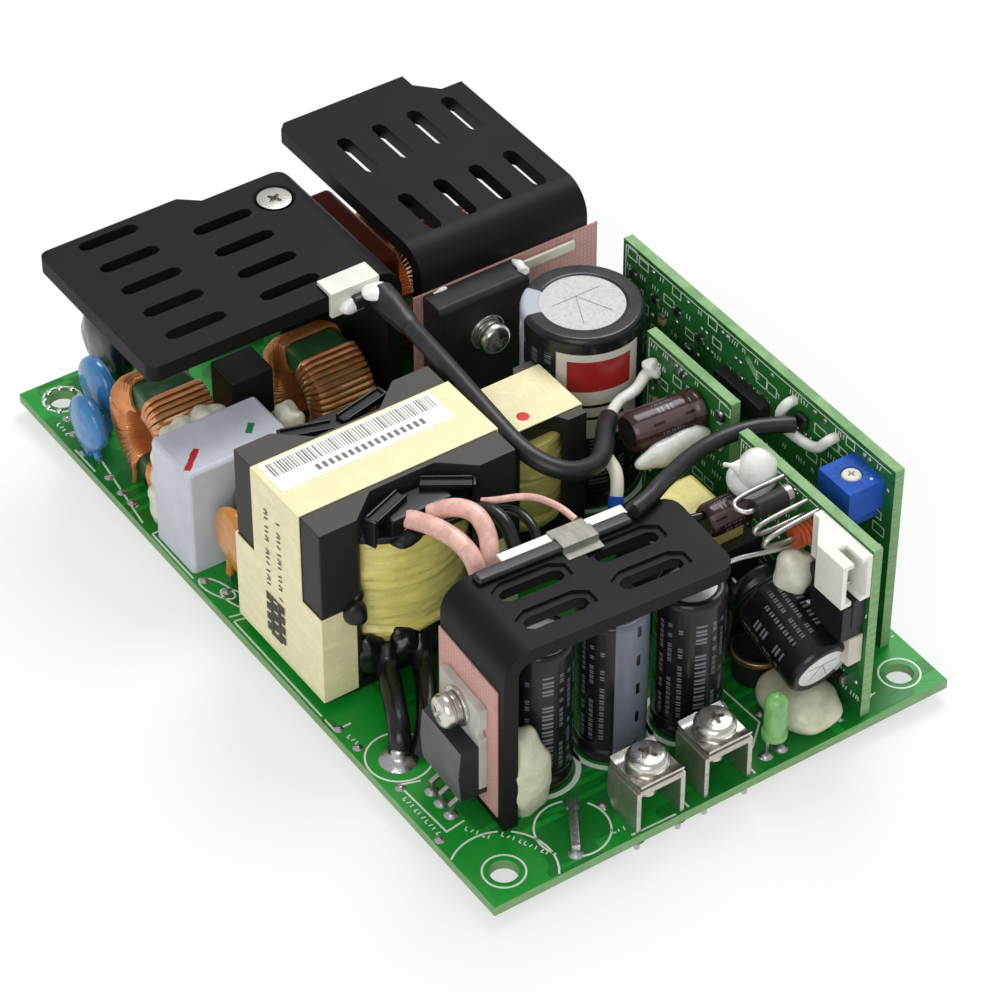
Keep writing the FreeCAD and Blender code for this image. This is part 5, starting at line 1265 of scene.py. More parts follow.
@dataclass
class Studio:
    """The photograph's viewpoint over a plain pale floor, under soft light."""

    eye: Point = (353.6, -236.4, 382.7)
    aim: Point = (7.22, -0.95, 15.0)
    roll: float = -0.086
    lens: float = 141.96
    shift: Point = (0.013, -0.009)
    floor_height: float = -1.9
    floor_glow: float = 0.62
    ambient: float = 0.56
    lamps: tuple[tuple[str, Point, float, float], ...] = (("key_lamp", (-0.25, 0.35, 0.75), 0.42, 4.5),
                                                          ("side_lamp", (0.55, -0.55, 0.5), 0.5, 2.7))

    def camera(self) -> None:
        """Place the camera and make it the scene's own."""
        data = bpy.data.cameras.new("viewpoint")
        data.lens = self.lens
        data.sensor_width = SENSOR_WIDTH
        data.shift_x, data.shift_y = self.shift
        data.clip_start, data.clip_end = 0.01, 50.0
        viewer = bpy.data.objects.new("viewpoint", data)
        bpy.context.scene.collection.objects.link(viewer)
        look = (Vector(self.aim) - Vector(self.eye)).to_track_quat("-Z", "Y")
        turn = look.to_matrix().to_4x4() @ Matrix.Rotation(math.radians(self.roll), 4, "Z")
        viewer.matrix_world = Matrix.Translation(Vector(self.eye) * MM) @ turn
        bpy.context.scene.camera = viewer

    def floor(self) -> None:
        """Lay a plain pale floor that keeps a soft shadow."""
        part = bmesh.new()
        bmesh.ops.create_grid(part, x_segments=1, y_segments=1, size=6.0)
        mesh = bpy.data.meshes.new("floor")
        part.to_mesh(mesh)
        part.free()
        mesh.transform(Matrix.Translation((0, 0, self.floor_height * MM)))
        r = Recipe("floor_pale")
        r.dress(base_color=(0.86, 0.86, 0.86), roughness=r.cloud(0.02, 2.0) * 0.1 + 0.8)
        glow = r.node("ShaderNodeEmission", strength=1.0, color=(1, 1, 1, 1))
        path = r.node("ShaderNodeLightPath")
        seen = Sock(r.tree, path.outputs["Is Camera Ray"]).most(Sock(r.tree, path.outputs["Is Glossy Ray"]))
        seen = seen.most(Sock(r.tree, path.outputs["Is Transmission Ray"]))
        mix = r.node("ShaderNodeMixShader")
        for source, slot in (((seen * self.floor_glow).socket, mix.inputs[0]), (r.shader.outputs[0], mix.inputs[1]),
                             (glow.outputs[0], mix.inputs[2]), (mix.outputs[0], r.out.inputs[0])):
            r.tree.links.new(source, slot)
        mesh.materials.append(r.material)
        ground = bpy.data.objects.new("floor", mesh)
        bpy.context.scene.collection.objects.link(ground)

    def lamp(self, name: str, spot: Point, size: float, power: float) -> None:
        """Hang one soft square lamp that looks at the supply's middle."""
        data = bpy.data.lights.new(name, "AREA")
        data.shape = "SQUARE"
        data.size = size
        data.energy = power
        hung = bpy.data.objects.new(name, data)
        bpy.context.scene.collection.objects.link(hung)
        turn = (Vector((0, 0, 0.015)) - Vector(spot)).to_track_quat("-Z", "Y").to_matrix().to_4x4()
        hung.matrix_world = Matrix.Translation(Vector(spot)) @ turn

    def light(self) -> None:
        """Light the supply softly, with a white surround for the camera and for gloss."""
        world = bpy.data.worlds.new("surround")
        bpy.context.scene.world = world
        world.use_nodes = True
        tree = world.node_tree
        tree.nodes.clear()
        out = tree.nodes.new("ShaderNodeOutputWorld")
        soft, white = tree.nodes.new("ShaderNodeBackground"), tree.nodes.new("ShaderNodeBackground")
        for sky, strength in ((soft, self.ambient), (white, 1.0)):
            sky.inputs[0].default_value = (1.0, 1.0, 1.0, 1.0)
            sky.inputs[1].default_value = strength
        path = tree.nodes.new("ShaderNodeLightPath")
        seen = Sock(tree, path.outputs["Is Camera Ray"]).most(Sock(tree, path.outputs["Is Transmission Ray"]))
        mix = tree.nodes.new("ShaderNodeMixShader")
        for source, slot in ((seen.socket, mix.inputs[0]), (soft.outputs[0], mix.inputs[1]),
                             (white.outputs[0], mix.inputs[2]), (mix.outputs[0], out.inputs[0])):
            tree.links.new(source, slot)
        for lamp in self.lamps:
            self.lamp(*lamp)
        bpy.context.scene.view_settings.view_transform = "Standard"

    def build(self) -> None:
        """Set up the view, the floor and the light."""
        self.camera()
        self.floor()
        self.light()


# Free leads


@dataclass
class SensorLeads:
    """The two limp sleeved leads between the heatsinks and the upright boards."""

    mains_route: tuple[Point, ...] = (
        (-18.9, -1.0, 33.0), (-11.0, -1.6, 33.0), (-1.0, -2.2, 33.0), (9.5, -2.8, 32.5), (19.4, -2.7, 31.1),
        (24.1, 0.7, 29.6), (24.0, 5.9, 28.3), (20.4, 9.9, 27.4), (17.0, 12.2, 26.6), (14.0, 15.1, 25.6))
    output_route: tuple[Point, ...] = (
        (33.6, 32.6, 29.8), (32.1, 29.8, 30.0), (30.7, 26.1, 30.0), (30.4, 21.4, 30.1), (31.8, 16.0, 30.8),
        (34.4, 11.2, 32.2), (37.0, 7.0, 33.9), (38.8, 3.8, 34.2), (39.6, 0.5, 34.3))

    def lead(self, name: str, node: str, route: Sequence[Point], radius: float, length: float) -> None:
        """Lay one lead as a smooth curve along its route."""
        data = bpy.data.curves.new(name, "CURVE")
        data.dimensions = "3D"
        data.bevel_depth = radius * MM
        data.bevel_resolution = 6
        data.use_fill_caps = True
        spline = data.splines.new("NURBS")
        spline.points.add(len(route) - 1)
        for spot, place in zip(spline.points, route):
            spot.co = (*(Vector(place) * MM), 1.0)
        spline.order_u = 3
        spline.use_endpoint_u = True
        spline.resolution_u = 12
        data.materials.append(material_of(Wear.lead))
        piece = bpy.data.objects.new(name, data)
        bpy.context.scene.collection.objects.link(piece)
        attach(piece, "supply")
        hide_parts(node)
        log.info("%s laid", name)

    def build(self) -> None:
        """Lay both leads."""
        self.lead("mains_lead", "mains_sensor_lead", self.mains_route, radius=1.4, length=0.063)
        self.lead("output_lead", "output_sensor_lead", self.output_route, radius=1.2, length=0.0353)


@dataclass
class MainBoard:
    """The main board with its print, pads and solder."""

    hole_spots: tuple[Point, ...] = tuple((sx * 58.75, sy * 33.35) for sx in (-1, 1) for sy in (-1, 1))
    hole_ring: float = 2.95
    keep_out: float = 7.3
    link_ring: float = 5.2
    pad_ring: float = 4.7
    can_ring: float = 5.75
    bulk_ring: float = 9.6
    line: float = 0.28
    joint: Pair = (1.1, 1.9)

    def plate(self) -> None:
        """Dress the board: lacquer above and below, sawn laminate at the edges."""
        board = dressing("main_board").cad("main_board", Wear.mask, 0.06)
        board.repaint(Wear.edge, lambda normal, middle: abs(normal.z) < 0.6)
        board.done()

    def print_lines(self) -> None:
        """Lay the white outlines, rings and dashes of the board's print."""
        ink = Form("board_print")
        for spot in self.hole_spots:
            ink.circle(spot, self.hole_ring, self.line, Wear.ink)
        for centre, radius, arc in (((58.75, -33.35), self.keep_out, (52, 138)),
                                    ((58.75, -33.35), self.keep_out, (152, 219)),
                                    ((57.5, -21.4), self.link_ring, (160, 300)),
                                    ((57.5, -21.4), self.link_ring, (-20, 122))):
            ink.circle(centre, radius, self.line, Wear.ink, arc=arc)
        ink.circle((33.2, -33.1), self.pad_ring, self.line, Wear.ink)
        for centre, wide in (*((spot, self.can_ring) for spot in Cans.outputs), (Cans.bulk[:2], self.bulk_ring)):
            ink.circle(centre, wide, 0.75, Wear.ink)
        paths = [
            [(37.6, -36.1), (48.5, -35.6), (48.1, -32.5)], [(38.6, -33.2), (37.6, -36.1)],
            [(57.0, -6.2), (63.0, -6.2)], [(56.0, -15.8), (57.2, -15.8)], [(57.0, 5.0), (63.0, 5.0)],
            [(62.9, -15.6), (63.1, -8.4)], [(47.1, 11.1), (55.5, 11.4), (58.9, 7.6)],
            [(59.0, 14.6), (59.0, 20.7), (61.6, 20.7)],
            [(59.8, 27.7), (61.2, 25.0)], [(-24.9, -37.7), (-13.4, -37.7)], [(-24.9, -37.7), (-24.9, -30.0)],
            [(-3.6, -37.7), (-3.2, -35.8)], [(-2.5, -37.5), (-2.1, -35.6)], [(-2.4, -37.6), (20.6, -37.6)],
            [(-47.5, -37.6), (-41.5, -37.6)], [(-43.0, -35.6), (-27.8, -37.6)],
            [(21.4, -37.6), (24.0, -37.6), (24.0, -35.0)],
            [(-63.0, -8.6), (-63.0, 7.4)], [(-62.9, 9.0), (-62.9, 36.0)],
        ]
        for path in paths:
            ink.strip(path, self.line, Wear.ink)
        for x, y in ((-9.7, -36.0), (-6.0, -34.6)):
            oval = [(x + 3.1 * math.cos(t), y + 1.3 * math.sin(t) + 0.28 * 3.1 * math.cos(t))
                    for t in (math.tau * k / 28 for k in range(28))]
            ink.strip(oval, self.line, Wear.ink, closed=True)
        dashes = [((40.2, -37.1), 0.02, 10), ((49.6, -33.4), 0.5, 5), ((53.2, -30.0), 0.5, 4),
                  ((56.2, -28.4), 0.42, 5),
                  ((61.2, -17.4), 1.3, 3), ((59.3, 27.2), 0.6, 2), ((51.6, 36.6), 0.4, 2), ((57.6, 12.4), 1.2, 4),
                  ((-33.0, -36.9), 0.1, 3), ((-58.2, -28.9), 1.2, 4), ((-54.0, -37.0), 0.0, 4),
                  ((26.0, -36.9), 0.1, 3)]
        for (x, y), lean, count in dashes:
            for k in range(count):
                dx, dy = 0.86 * k * math.cos(lean), 0.86 * k * math.sin(lean)
                side = (-math.sin(lean) * 0.62, math.cos(lean) * 0.62)
                tilt = 0.16 if k % 2 else -0.1
                ink.strip([(x + dx, y + dy), (x + dx + side[0] + tilt, y + dy + side[1])], 0.17, Wear.ink)
                if k % 3 == 0:
                    ink.strip([(x + dx, y + dy), (x + dx + 0.42 * math.cos(lean), y + dy + 0.42 * math.sin(lean))],
                              0.17, Wear.ink)
        ink.done()

    def pads(self) -> None:
        """Set soldered pads and plated through holes on the top side."""
        tin = Form("top_pads")
        spots = [(-54.4, -35.0), (-50.8, -35.9), (-39.3, -36.5), (-32.5, -36.6), (-35.3, -36.7), (-12.2, -36.6),
                 (-8.4, -35.2), (-46.2, -37.0), (38.2, -36.2), (49.2, -37.2), (56.1, -15.5), (60.6, -6.2),
                 (28.5, -36.8),
                 (61.0, 20.9), (60.4, 18.3), (54.2, 12.6), (-60.0, -22.0), (-61.8, -17.5), (36.0, -29.4),
                 (24.0, -37.0)]
        for x, y in spots:
            tin.turned(rim([(0.75, BOARD_TOP), (0.55, BOARD_TOP + 0.12), (0.2, BOARD_TOP + 0.34),
                            (0, BOARD_TOP + 0.36)], 0.1),
                       (x, y, 0), Wear.solder, sides=16)
        for k in range(9):
            turn = math.tau * k / 9
            x, y = -58.75 + 2.75 * math.cos(turn), -33.35 + 2.75 * math.sin(turn)
            tin.turned([(0.55, BOARD_TOP), (0.4, BOARD_TOP + 0.22), (0, BOARD_TOP + 0.3)], (x, y, 0), Wear.solder,
                       sides=14)
        tin.done()

    def joints(self) -> None:
        """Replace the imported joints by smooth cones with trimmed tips, and the top ones by fillets."""
        tin = Form("solder_dressed", "solder_joints")
        wide, drop = self.joint
        for low, high in spans("solder_joints"):
            x, y = (low.x + high.x) / 2, (low.y + high.y) / 2
            if high.z < 0.5:
                cone = [(0, 0.0), (wide, 0.0), (wide * 0.82, -0.22), (0.6, -0.62), (0.44, -0.95),
                        (0.4, -drop + 0.1), (0.3, -drop),
                        (0, -drop)]
                tin.turned(cone, (x, y, 0), Wear.solder, sides=14)
            elif high.x - low.x > 4:
                tin.turned(rim([(2.75, BOARD_TOP), (2.2, BOARD_TOP + 0.5), (1.25, BOARD_TOP + 1.0),
                                (1.0, BOARD_TOP + 2.2),
                                (0, BOARD_TOP + 2.5)], 0.4), (x, y, 0), Wear.solder, sides=36)
            else:
                tin.turned([(1.05, BOARD_TOP), (0.8, BOARD_TOP + 0.12), (0.58, BOARD_TOP + 0.4),
                            (0.3, BOARD_TOP + 0.52), (0, BOARD_TOP + 0.54)],
                           (x, y, 0), Wear.solder, sides=24)
        tin.done()

    def build(self) -> None:
        """Build the board."""
        self.plate()
        self.print_lines()
        self.pads()
        self.joints()


@dataclass
class Heatsinks:
    """The three folded heatsinks, their screw and post, and their insulating sheets."""

    screw_spot: Point = (-45.6, -2.6)
    top: float = 34.6
    screw_radius: float = 2.6

    def build(self) -> None:
        """Dress the folded sheets and set the countersunk screw."""
        for node, edge in (("heatsink_input", 0.22), ("heatsink_primary", 0.22), ("heatsink_output", 0.3)):
            dressed(node, Wear.sink, edge)
        x, y = self.screw_spot
        head = dressing("heatsink_screw")
        head.screw(Vector((x, y, self.top - 1.55)), Z, self.screw_radius, 1.45, Wear.plated, countersunk=True,
                   turn=0.5)
        head.turned([(1.4, -5.8), (1.4, -1.4)], (x, y, self.top - 0.2), Wear.plated, sides=24)
        head.done()
        dressed("heatsink_post", Wear.plated, 0.2)
        dressed("insulator_sheets", Wear.pink, 0.05, name="insulators")


@dataclass
class ClampedDevices:
    """The transistors and rectifier on the heatsink legs, with their screws and washers."""

    power_seat: Point = (-16.25, 14.85, 21.3)
    head: Point = (2.5, 1.9)
    washers: tuple[Point, ...] = ((2.9, 0.6), (2.3, 0.9))

    def seats(self) -> list[tuple[Vector, Vector]]:
        """Return the seat and outward way of both clamp screws."""
        small = skewed((52.8 - 8.9, -29.3 - 0.25 - 1.3, 18.6))
        out = skewed((52.8 - 8.9, -40.0, 18.6)) - small
        return [(Vector(self.power_seat), X.copy()), (small, out.normalized())]

    def screws(self) -> None:
        """Set both pan-head screws on their washers."""
        form = dressing("clamp_screws")
        plates = dressing("clamp_washers")
        for index, (seat, axis) in enumerate(self.seats()):
            rise = 0.0
            for radius, thick in self.washers:
                split = 0.5 if radius < 2.5 else 0.0
                plates.turned(rim([(1.3, rise + 0.02), (radius, rise + 0.02), (radius, rise + thick - 0.02),
                                   (1.3, rise + thick - 0.02)], 0.12),
                              seat, Wear.tinned if split else Wear.bright, axis=axis, sides=40)
                rise += thick
            form.screw(seat + axis * rise, axis, self.head[0], self.head[1], Wear.bright, turn=0.35 + index * 0.4)
            form.turned([(1.25, 0), (1.25, rise)], seat, Wear.bright, axis=axis, sides=20)
        form.done()
        plates.done()

    def packages(self) -> None:
        """Dress the moulded packages, the plated tab and the heat paste that squeezes out."""
        dressed("power_transistor", Wear.epoxy, 0.3)
        small = dressing("output_transistor").cad("output_transistor", Wear.epoxy, 0.18)
        dimple = skewed((52.8 - 8.9 - 3.2, -29.3 - 0.25 - 4.2, 9.6))
        # The face that looks along -Y wears the painted reflection.
        small.repaint(Wear.face_sheen, lambda normal, middle: normal.y < -0.8)
        small.turned([(0.7, 0), (0.55, 0.12), (0, 0.12)], dimple, Wear.black, axis=-Y, sides=24)
        small.done()
        dressed("output_transistor_tab", Wear.pasted, 0.14, name="output_tab")
        dressed("bridge_rectifier", Wear.epoxy, 0.4, name="bridge")
        paste = Form("heat_paste")
        paste.lump((-18.4, 22.4, 28.3), (1.6, 0.8, 0.7), Wear.white_glue, 0.3, 0.8, floor=0)
        paste.lump((-20.6, 9.5, 28.0), (0.3, 1.4, 0.4), Wear.white_glue, 0.3, 0.8, floor=0, seed=3)
        paste.block((-20.9, 24.2, 25.4), (0.7, 9.4, 1.7), Wear.glue, 0.3)
        paste.done()

    def build(self) -> None:
        """Build the clamped devices."""
        self.screws()
        self.packages()


@dataclass
class Cans:
    """The electrolytic capacitors: standing, lying and brown."""

    bulk: Point = (-1.8, 21.7, 9.0, 31.5)
    outputs: tuple[Point, ...] = ((45.4, -18.9), (46.4, -7.4), (48.8, 3.7))
    output_size: Point = (5.0, 25.0)
    lying_front: Point = (60.1, 17.9, 11.7)
    lying_tilt: float = 17.0
    lying_size: Point = (5.0, 16.0)
    browns: tuple[tuple[Point, Point, float], ...] = (((18.7, 14.9, 26.0), (19.5, 26.5, 26.0), 3.0),
                                                      ((38.4, 13.6, 24.6), (38.4, 22.9, 24.6), 2.5))

    def can(self, form: Form, base: Vector, axis: Vector, radius: float, height: float, sleeve: Finish,
            lead_end: float,
            open_end: float, metal: Optional[Finish] = None) -> None:
        """Add one can.

        Args:
            form: the piece that it joins.
            base: the middle of its lead end.
            axis: the way to its vent end.
            radius: its radius.
            height: its length.
            sleeve: the sleeve's finish.
            lead_end: distance from the lead end to its crimp groove.
            open_end: radius of the bare metal in its vent end.
            metal: the bare end's finish; a dark end without a vent where there is none.
        """
        r, h = radius, height
        wall = rim([(r - 1.2, 0.05), (r - 0.15, 0.0), (r, 0.5), (r, lead_end - 0.75), (r - 0.5, lead_end),
                    (r, lead_end + 0.75),
                    (r, h - 0.7), (r - 0.45, h), (open_end + 0.35, h - 0.02), (open_end, h - 0.25)], 0.45)
        form.turned(wall, base, sleeve, axis=axis, sides=64)
        end = base + axis * (h - 0.3)
        form.turned([(0, 0), (open_end + 0.1, 0), (open_end + 0.1, 0.08), (0, 0.1)], end, metal or Wear.black,
                    axis=axis, sides=64)
        place = Matrix.Translation(end + axis * 0.08) @ frame_along(axis)
        arm = open_end * 0.82
        if metal:
            for way in ([(-arm * 0.35, -arm * 0.8), (-arm * 0.35, arm * 0.8)],
                        [(-arm * 0.35, 0), (arm * 0.75, arm * 0.5)],
                        [(-arm * 0.35, 0), (arm * 0.75, -arm * 0.5)]):
                form.strip(way, 0.12, Wear.vent, height=0.0, thick=0.05, place=place)

    def build(self) -> None:
        """Build all cans."""
        x, y, r, h = self.bulk
        form = Form("bulk_can", "bulk_capacitor")
        self.can(form, Vector((x, y, BOARD_TOP)), Z, r, h, Wear.bulk, 2.6, 6.15, Wear.can_end)
        form.done()
        form = Form("output_cans", "output_capacitors")
        r, h = self.output_size
        for (x, y), sleeve in zip(self.outputs, (Wear.edge_striped_can, Wear.striped_can, Wear.can)):
            self.can(form, Vector((x, y, BOARD_TOP)), Z, r, h, sleeve, 2.4, 3.5, Wear.can_end)
        form.done()
        tilt = math.radians(self.lying_tilt)
        away = Vector((-math.cos(tilt), 0, math.sin(tilt)))
        r, h = self.lying_size
        form = Form("lying_can", "lying_capacitor")
        self.can(form, Vector(self.lying_front) + away * h, -away, r, h, Wear.lying, 2.3, 3.55, Wear.pale_end)
        form.done()
        form = Form("brown_cans", "brown_capacitors")
        for start, end, r in self.browns:
            a, b = Vector(start), Vector(end)
            self.can(form, b, (a - b).normalized(), r, (b - a).length, Wear.brown, 1.8, r - 1.0)
        form.done()


@dataclass
class TurnNodes:
    """The node tree that winds turns of wire over part of a ring's section; sizes in millimetres."""

    corner: float = 1.5
    shake: float = 0.012
    seed: int = 7

    def tree(self) -> bpy.types.NodeTree:
        """Return the tree, with its named inputs."""
        tree = bpy.data.node_groups.new("ring_turns", "GeometryNodeTree")
        for name, kind in (("Mean Radius", "NodeSocketFloat"), ("Section Width", "NodeSocketFloat"),
                           ("Section Length", "NodeSocketFloat"), ("Wire", "NodeSocketFloat"),
                           ("Turns", "NodeSocketInt"), ("Start", "NodeSocketFloat"), ("Sweep", "NodeSocketFloat"),
                           ("Material", "NodeSocketMaterial")):
            tree.interface.new_socket(name, in_out="INPUT", socket_type=kind)
        tree.interface.new_socket("Winding", in_out="OUTPUT", socket_type="NodeSocketGeometry")

        def node(kind: str, settings: Optional[dict] = None, **inputs: object) -> bpy.types.Node:
            """Add a node, its settings first, then its sockets' values or links by name."""
            made = tree.nodes.new(kind)
            for key, value in (settings or {}).items():
                setattr(made, key, value)
            for slot in made.inputs:
                value = inputs.get(slot.name.lower().replace(" ", "_")) if slot.enabled else None
                if isinstance(value, bpy.types.NodeSocket):
                    tree.links.new(value, slot)
                elif value is not None:
                    slot.default_value = value
            return made

        given = {slot.name: slot for slot in node("NodeGroupInput").outputs}
        value = {name: Sock(tree, slot) for name, slot in given.items()}
        section = node("GeometryNodeCurvePrimitiveQuadrilateral", width=given["Section Width"],
                       height=given["Section Length"])
        bent = node("GeometryNodeFilletCurve", {"mode": "POLY"}, curve=section.outputs[0], count=2,
                    radius=self.corner)
        wire = node("GeometryNodeCurvePrimitiveCircle", resolution=6, radius=(value["Wire"] * 0.5).socket)
        turn = node("GeometryNodeCurveToMesh", curve=bent.outputs[0], profile_curve=wire.outputs[0])
        out = node("ShaderNodeCombineXYZ", x=given["Mean Radius"])
        turn = node("GeometryNodeTransform", geometry=turn.outputs[0], translation=out.outputs[0])
        line = node("GeometryNodeMeshLine", count=given["Turns"], offset=(0.0, 0.0, 0.0))
        index = Sock(tree, node("GeometryNodeInputIndex").outputs[0])
        angle = value["Start"] + value["Sweep"] * (index + 0.5) / value["Turns"]
        tilts = [node("FunctionNodeRandomValue", min=-self.shake, max=self.shake, id=index.socket,
                      seed=self.seed + k)
                 for k in range(2)]
        lean = node("ShaderNodeCombineXYZ", x=tilts[0].outputs[1], y=angle.socket, z=tilts[1].outputs[1])
        spin = node("FunctionNodeEulerToRotation", euler=lean.outputs[0])
        ring = node("GeometryNodeInstanceOnPoints", points=line.outputs[0], instance=turn.outputs[0],
                    rotation=spin.outputs[0])
        mesh = node("GeometryNodeRealizeInstances", geometry=ring.outputs[0])
        mesh = node("GeometryNodeSetShadeSmooth", geometry=mesh.outputs[0], shade_smooth=True)
        mesh = node("GeometryNodeSetMaterial", geometry=mesh.outputs[0], material=given["Material"])
        tree.links.new(mesh.outputs[0], node("NodeGroupOutput").inputs[0])
        return tree

    def wind(self, tree: bpy.types.NodeTree, finish: Finish, sizes: dict[str, float]) -> bmesh.types.BMesh:
        """Return turns as a part, wound round +Y at the origin.

        Args:
            tree: the tree from tree().
            finish: what the wire wears.
            sizes: values of the tree's named inputs.

        Returns:
            The part.
        """
        held = scratch(bmesh.new())
        worn = held.modifiers.new("turns", "NODES")
        worn.node_group = tree
        for item in tree.interface.items_tree:
            if item.name in sizes:
                worn[item.identifier] = sizes[item.name]
            elif item.name == "Material":
                worn[item.identifier] = material_of(finish)
        mesh = bpy.data.meshes.new_from_object(held.evaluated_get(bpy.context.evaluated_depsgraph_get()))
        part = fresh()
        part.from_mesh(mesh)
        bpy.data.objects.remove(held)
        return part


@dataclass
class RingChoke:
    """A toroid on edge, its axis along Y, with two windings of touching turns."""

    name: str
    centre: Point
    outer: float
    inner: float
    width: float
    turns: int
    wire: float = 0.85
    gap: float = 14.0
    tail: float = 2.4

    def core(self, form: Form) -> None:
        """Add the lacquered ring."""
        a, b, half = self.inner, self.outer, self.width / 2
        section = rim([((a + b) / 2, -half), (b, -half), (b, half), (a, half), (a, -half), ((a + b) / 2, -half)],
                      1.3)[:-1]
        form.turned(section, self.centre, Wear.core, axis=Y, sides=72, loop=True)

    def wire_turns(self, form: Form, nodes: TurnNodes, tree: bpy.types.NodeTree) -> None:
        """Add both windings and their ends down to the board."""
        x, y, z = self.centre
        pad = self.wire * 1.02
        for side in (0.0, 180.0):
            part = nodes.wind(tree, Wear.copper, {
                "Mean Radius": (self.outer + self.inner) / 2, "Section Width": self.outer - self.inner + pad,
                "Section Length": self.width + pad, "Wire": self.wire * 0.94, "Turns": self.turns,
                "Start": math.radians(side - 90 + self.gap), "Sweep": math.radians(180 - 2 * self.gap)})
            part.transform(Matrix.Translation(Vector(self.centre)))
            form.add(part, Wear.copper, outward=False)
        for sx in (-1, 1):
            for sy in (-1, 1):
                edge = y + sy * (self.width / 2 + 0.4)
                top = z - self.outer * 0.9
                form.tube([(x + sx * self.tail, edge, top + 2.0), (x + sx * self.tail * 0.9, edge, top),
                           (x + sx * self.tail * 1.05, edge + sy * 0.1, BOARD_TOP)], self.wire / 2, Wear.copper,
                           sides=8)

    def build(self, cores: Form, windings: Form, nodes: TurnNodes, tree: bpy.types.NodeTree) -> None:
        """Add the core to one piece and the windings to another."""
        self.core(cores)
        self.wire_turns(windings, nodes, tree)


@dataclass
class Toroids:
    """The two line chokes and the larger one of the power-factor stage."""

    line: tuple[RingChoke, ...] = (RingChoke("front", (-33.9, -29.05, 11.5), 8.6, 4.6, 8.7, 25),
                                   RingChoke("rear", (-29.1, -5.9, 11.3), 8.6, 4.6, 8.7, 25))
    boost: RingChoke = field(default_factory=lambda: RingChoke("boost", (-41.5, 20.2, 14.6), 11.2, 6.2, 10.5, 32))

    def build(self) -> None:
        """Wind all three."""
        nodes = TurnNodes()
        tree = nodes.tree()
        for chokes, cores, windings in ((self.line, "line_choke_cores", "line_choke_windings"),
                                        ((self.boost,), "boost_choke_core", "boost_choke_winding")):
            rings, wires = dressing(cores), dressing(windings)
            for choke in chokes:
                choke.build(rings, wires, nodes, tree)
            rings.done()
            wires.done()


@dataclass
class PotCore:
    """A ferrite core with a round window, set on end: its halves, tape and wound drum."""

    centre: Point
    half: Point
    low: float
    high: float
    beam: float
    foot: float
    waist: Point
    window: float
    split: bool
    drum: tuple[Point, Point]

    def outline(self) -> list[tuple[float, float]]:
        """Return the waisted outline, round the centre."""
        (hx, hy), (w, h), f = self.half, self.waist, self.half[1] - self.foot
        quarter = [(hx, hy), (hx, f), (w, h), (w, -h), (hx, -f), (hx, -hy)]
        return quarter + [(-x, y) for x, y in reversed(quarter)]

    def ferrite(self, form: Form) -> None:
        """Add the halves with their rounded window."""
        cx, cy = self.centre
        middle = (self.low + self.high) / 2 if self.split else self.high
        spans_z = [(self.low, middle), (middle + 0.07, self.high)] if self.split else [(self.low, self.high)]
        depth = self.high - self.low - 2 * self.beam
        for low, high in spans_z:
            block = swept([(cx + x, cy + y, low) for x, y in self.outline()], (0, 0, high - low))
            room = spun([(0, 0), (self.window, 0), (self.window, depth), (0, depth)],
                        (cx, cy, self.low + self.beam),
                        sides=72)
            part = carved(block, room)
            bmesh.ops.dissolve_limit(part, angle_limit=math.radians(0.5), verts=part.verts, edges=part.edges)
            form.soften(part, 0.28, 2)
            form.add(part, Wear.ferrite)

    def reel(self, form: Form) -> None:
        """Add the taped drum with its laps, creases and puckered ends."""
        cx, cy = self.centre
        (radius, low), (bulge, high) = self.drum
        profile = [(radius * 0.6, low)]
        steps = 44
        for k in range(steps + 1):
            t = k / steps
            swell = bulge * math.sin(math.pi * min(1.0, t * 1.15)) + 0.10 * math.sin(t * 21.0)
            swell -= 0.9 * max(0.0, 0.07 - t) * 8
            pinch = 0.55 * math.exp(-((t - 0.15) / 0.018) ** 2) + 0.22 * math.exp(-((t - 0.62) / 0.012) ** 2)
            profile.append((radius + swell - pinch - 0.5 * max(0.0, t - 0.95) * 14, low + (high - low) * t))
        profile.append((radius * 0.6, high))
        part = spun(profile, (cx, cy, 0), sides=110)
        form.add(ruffled(part, 0.32, (0.13, 0.13, 0.75), seed=radius), Wear.drum)


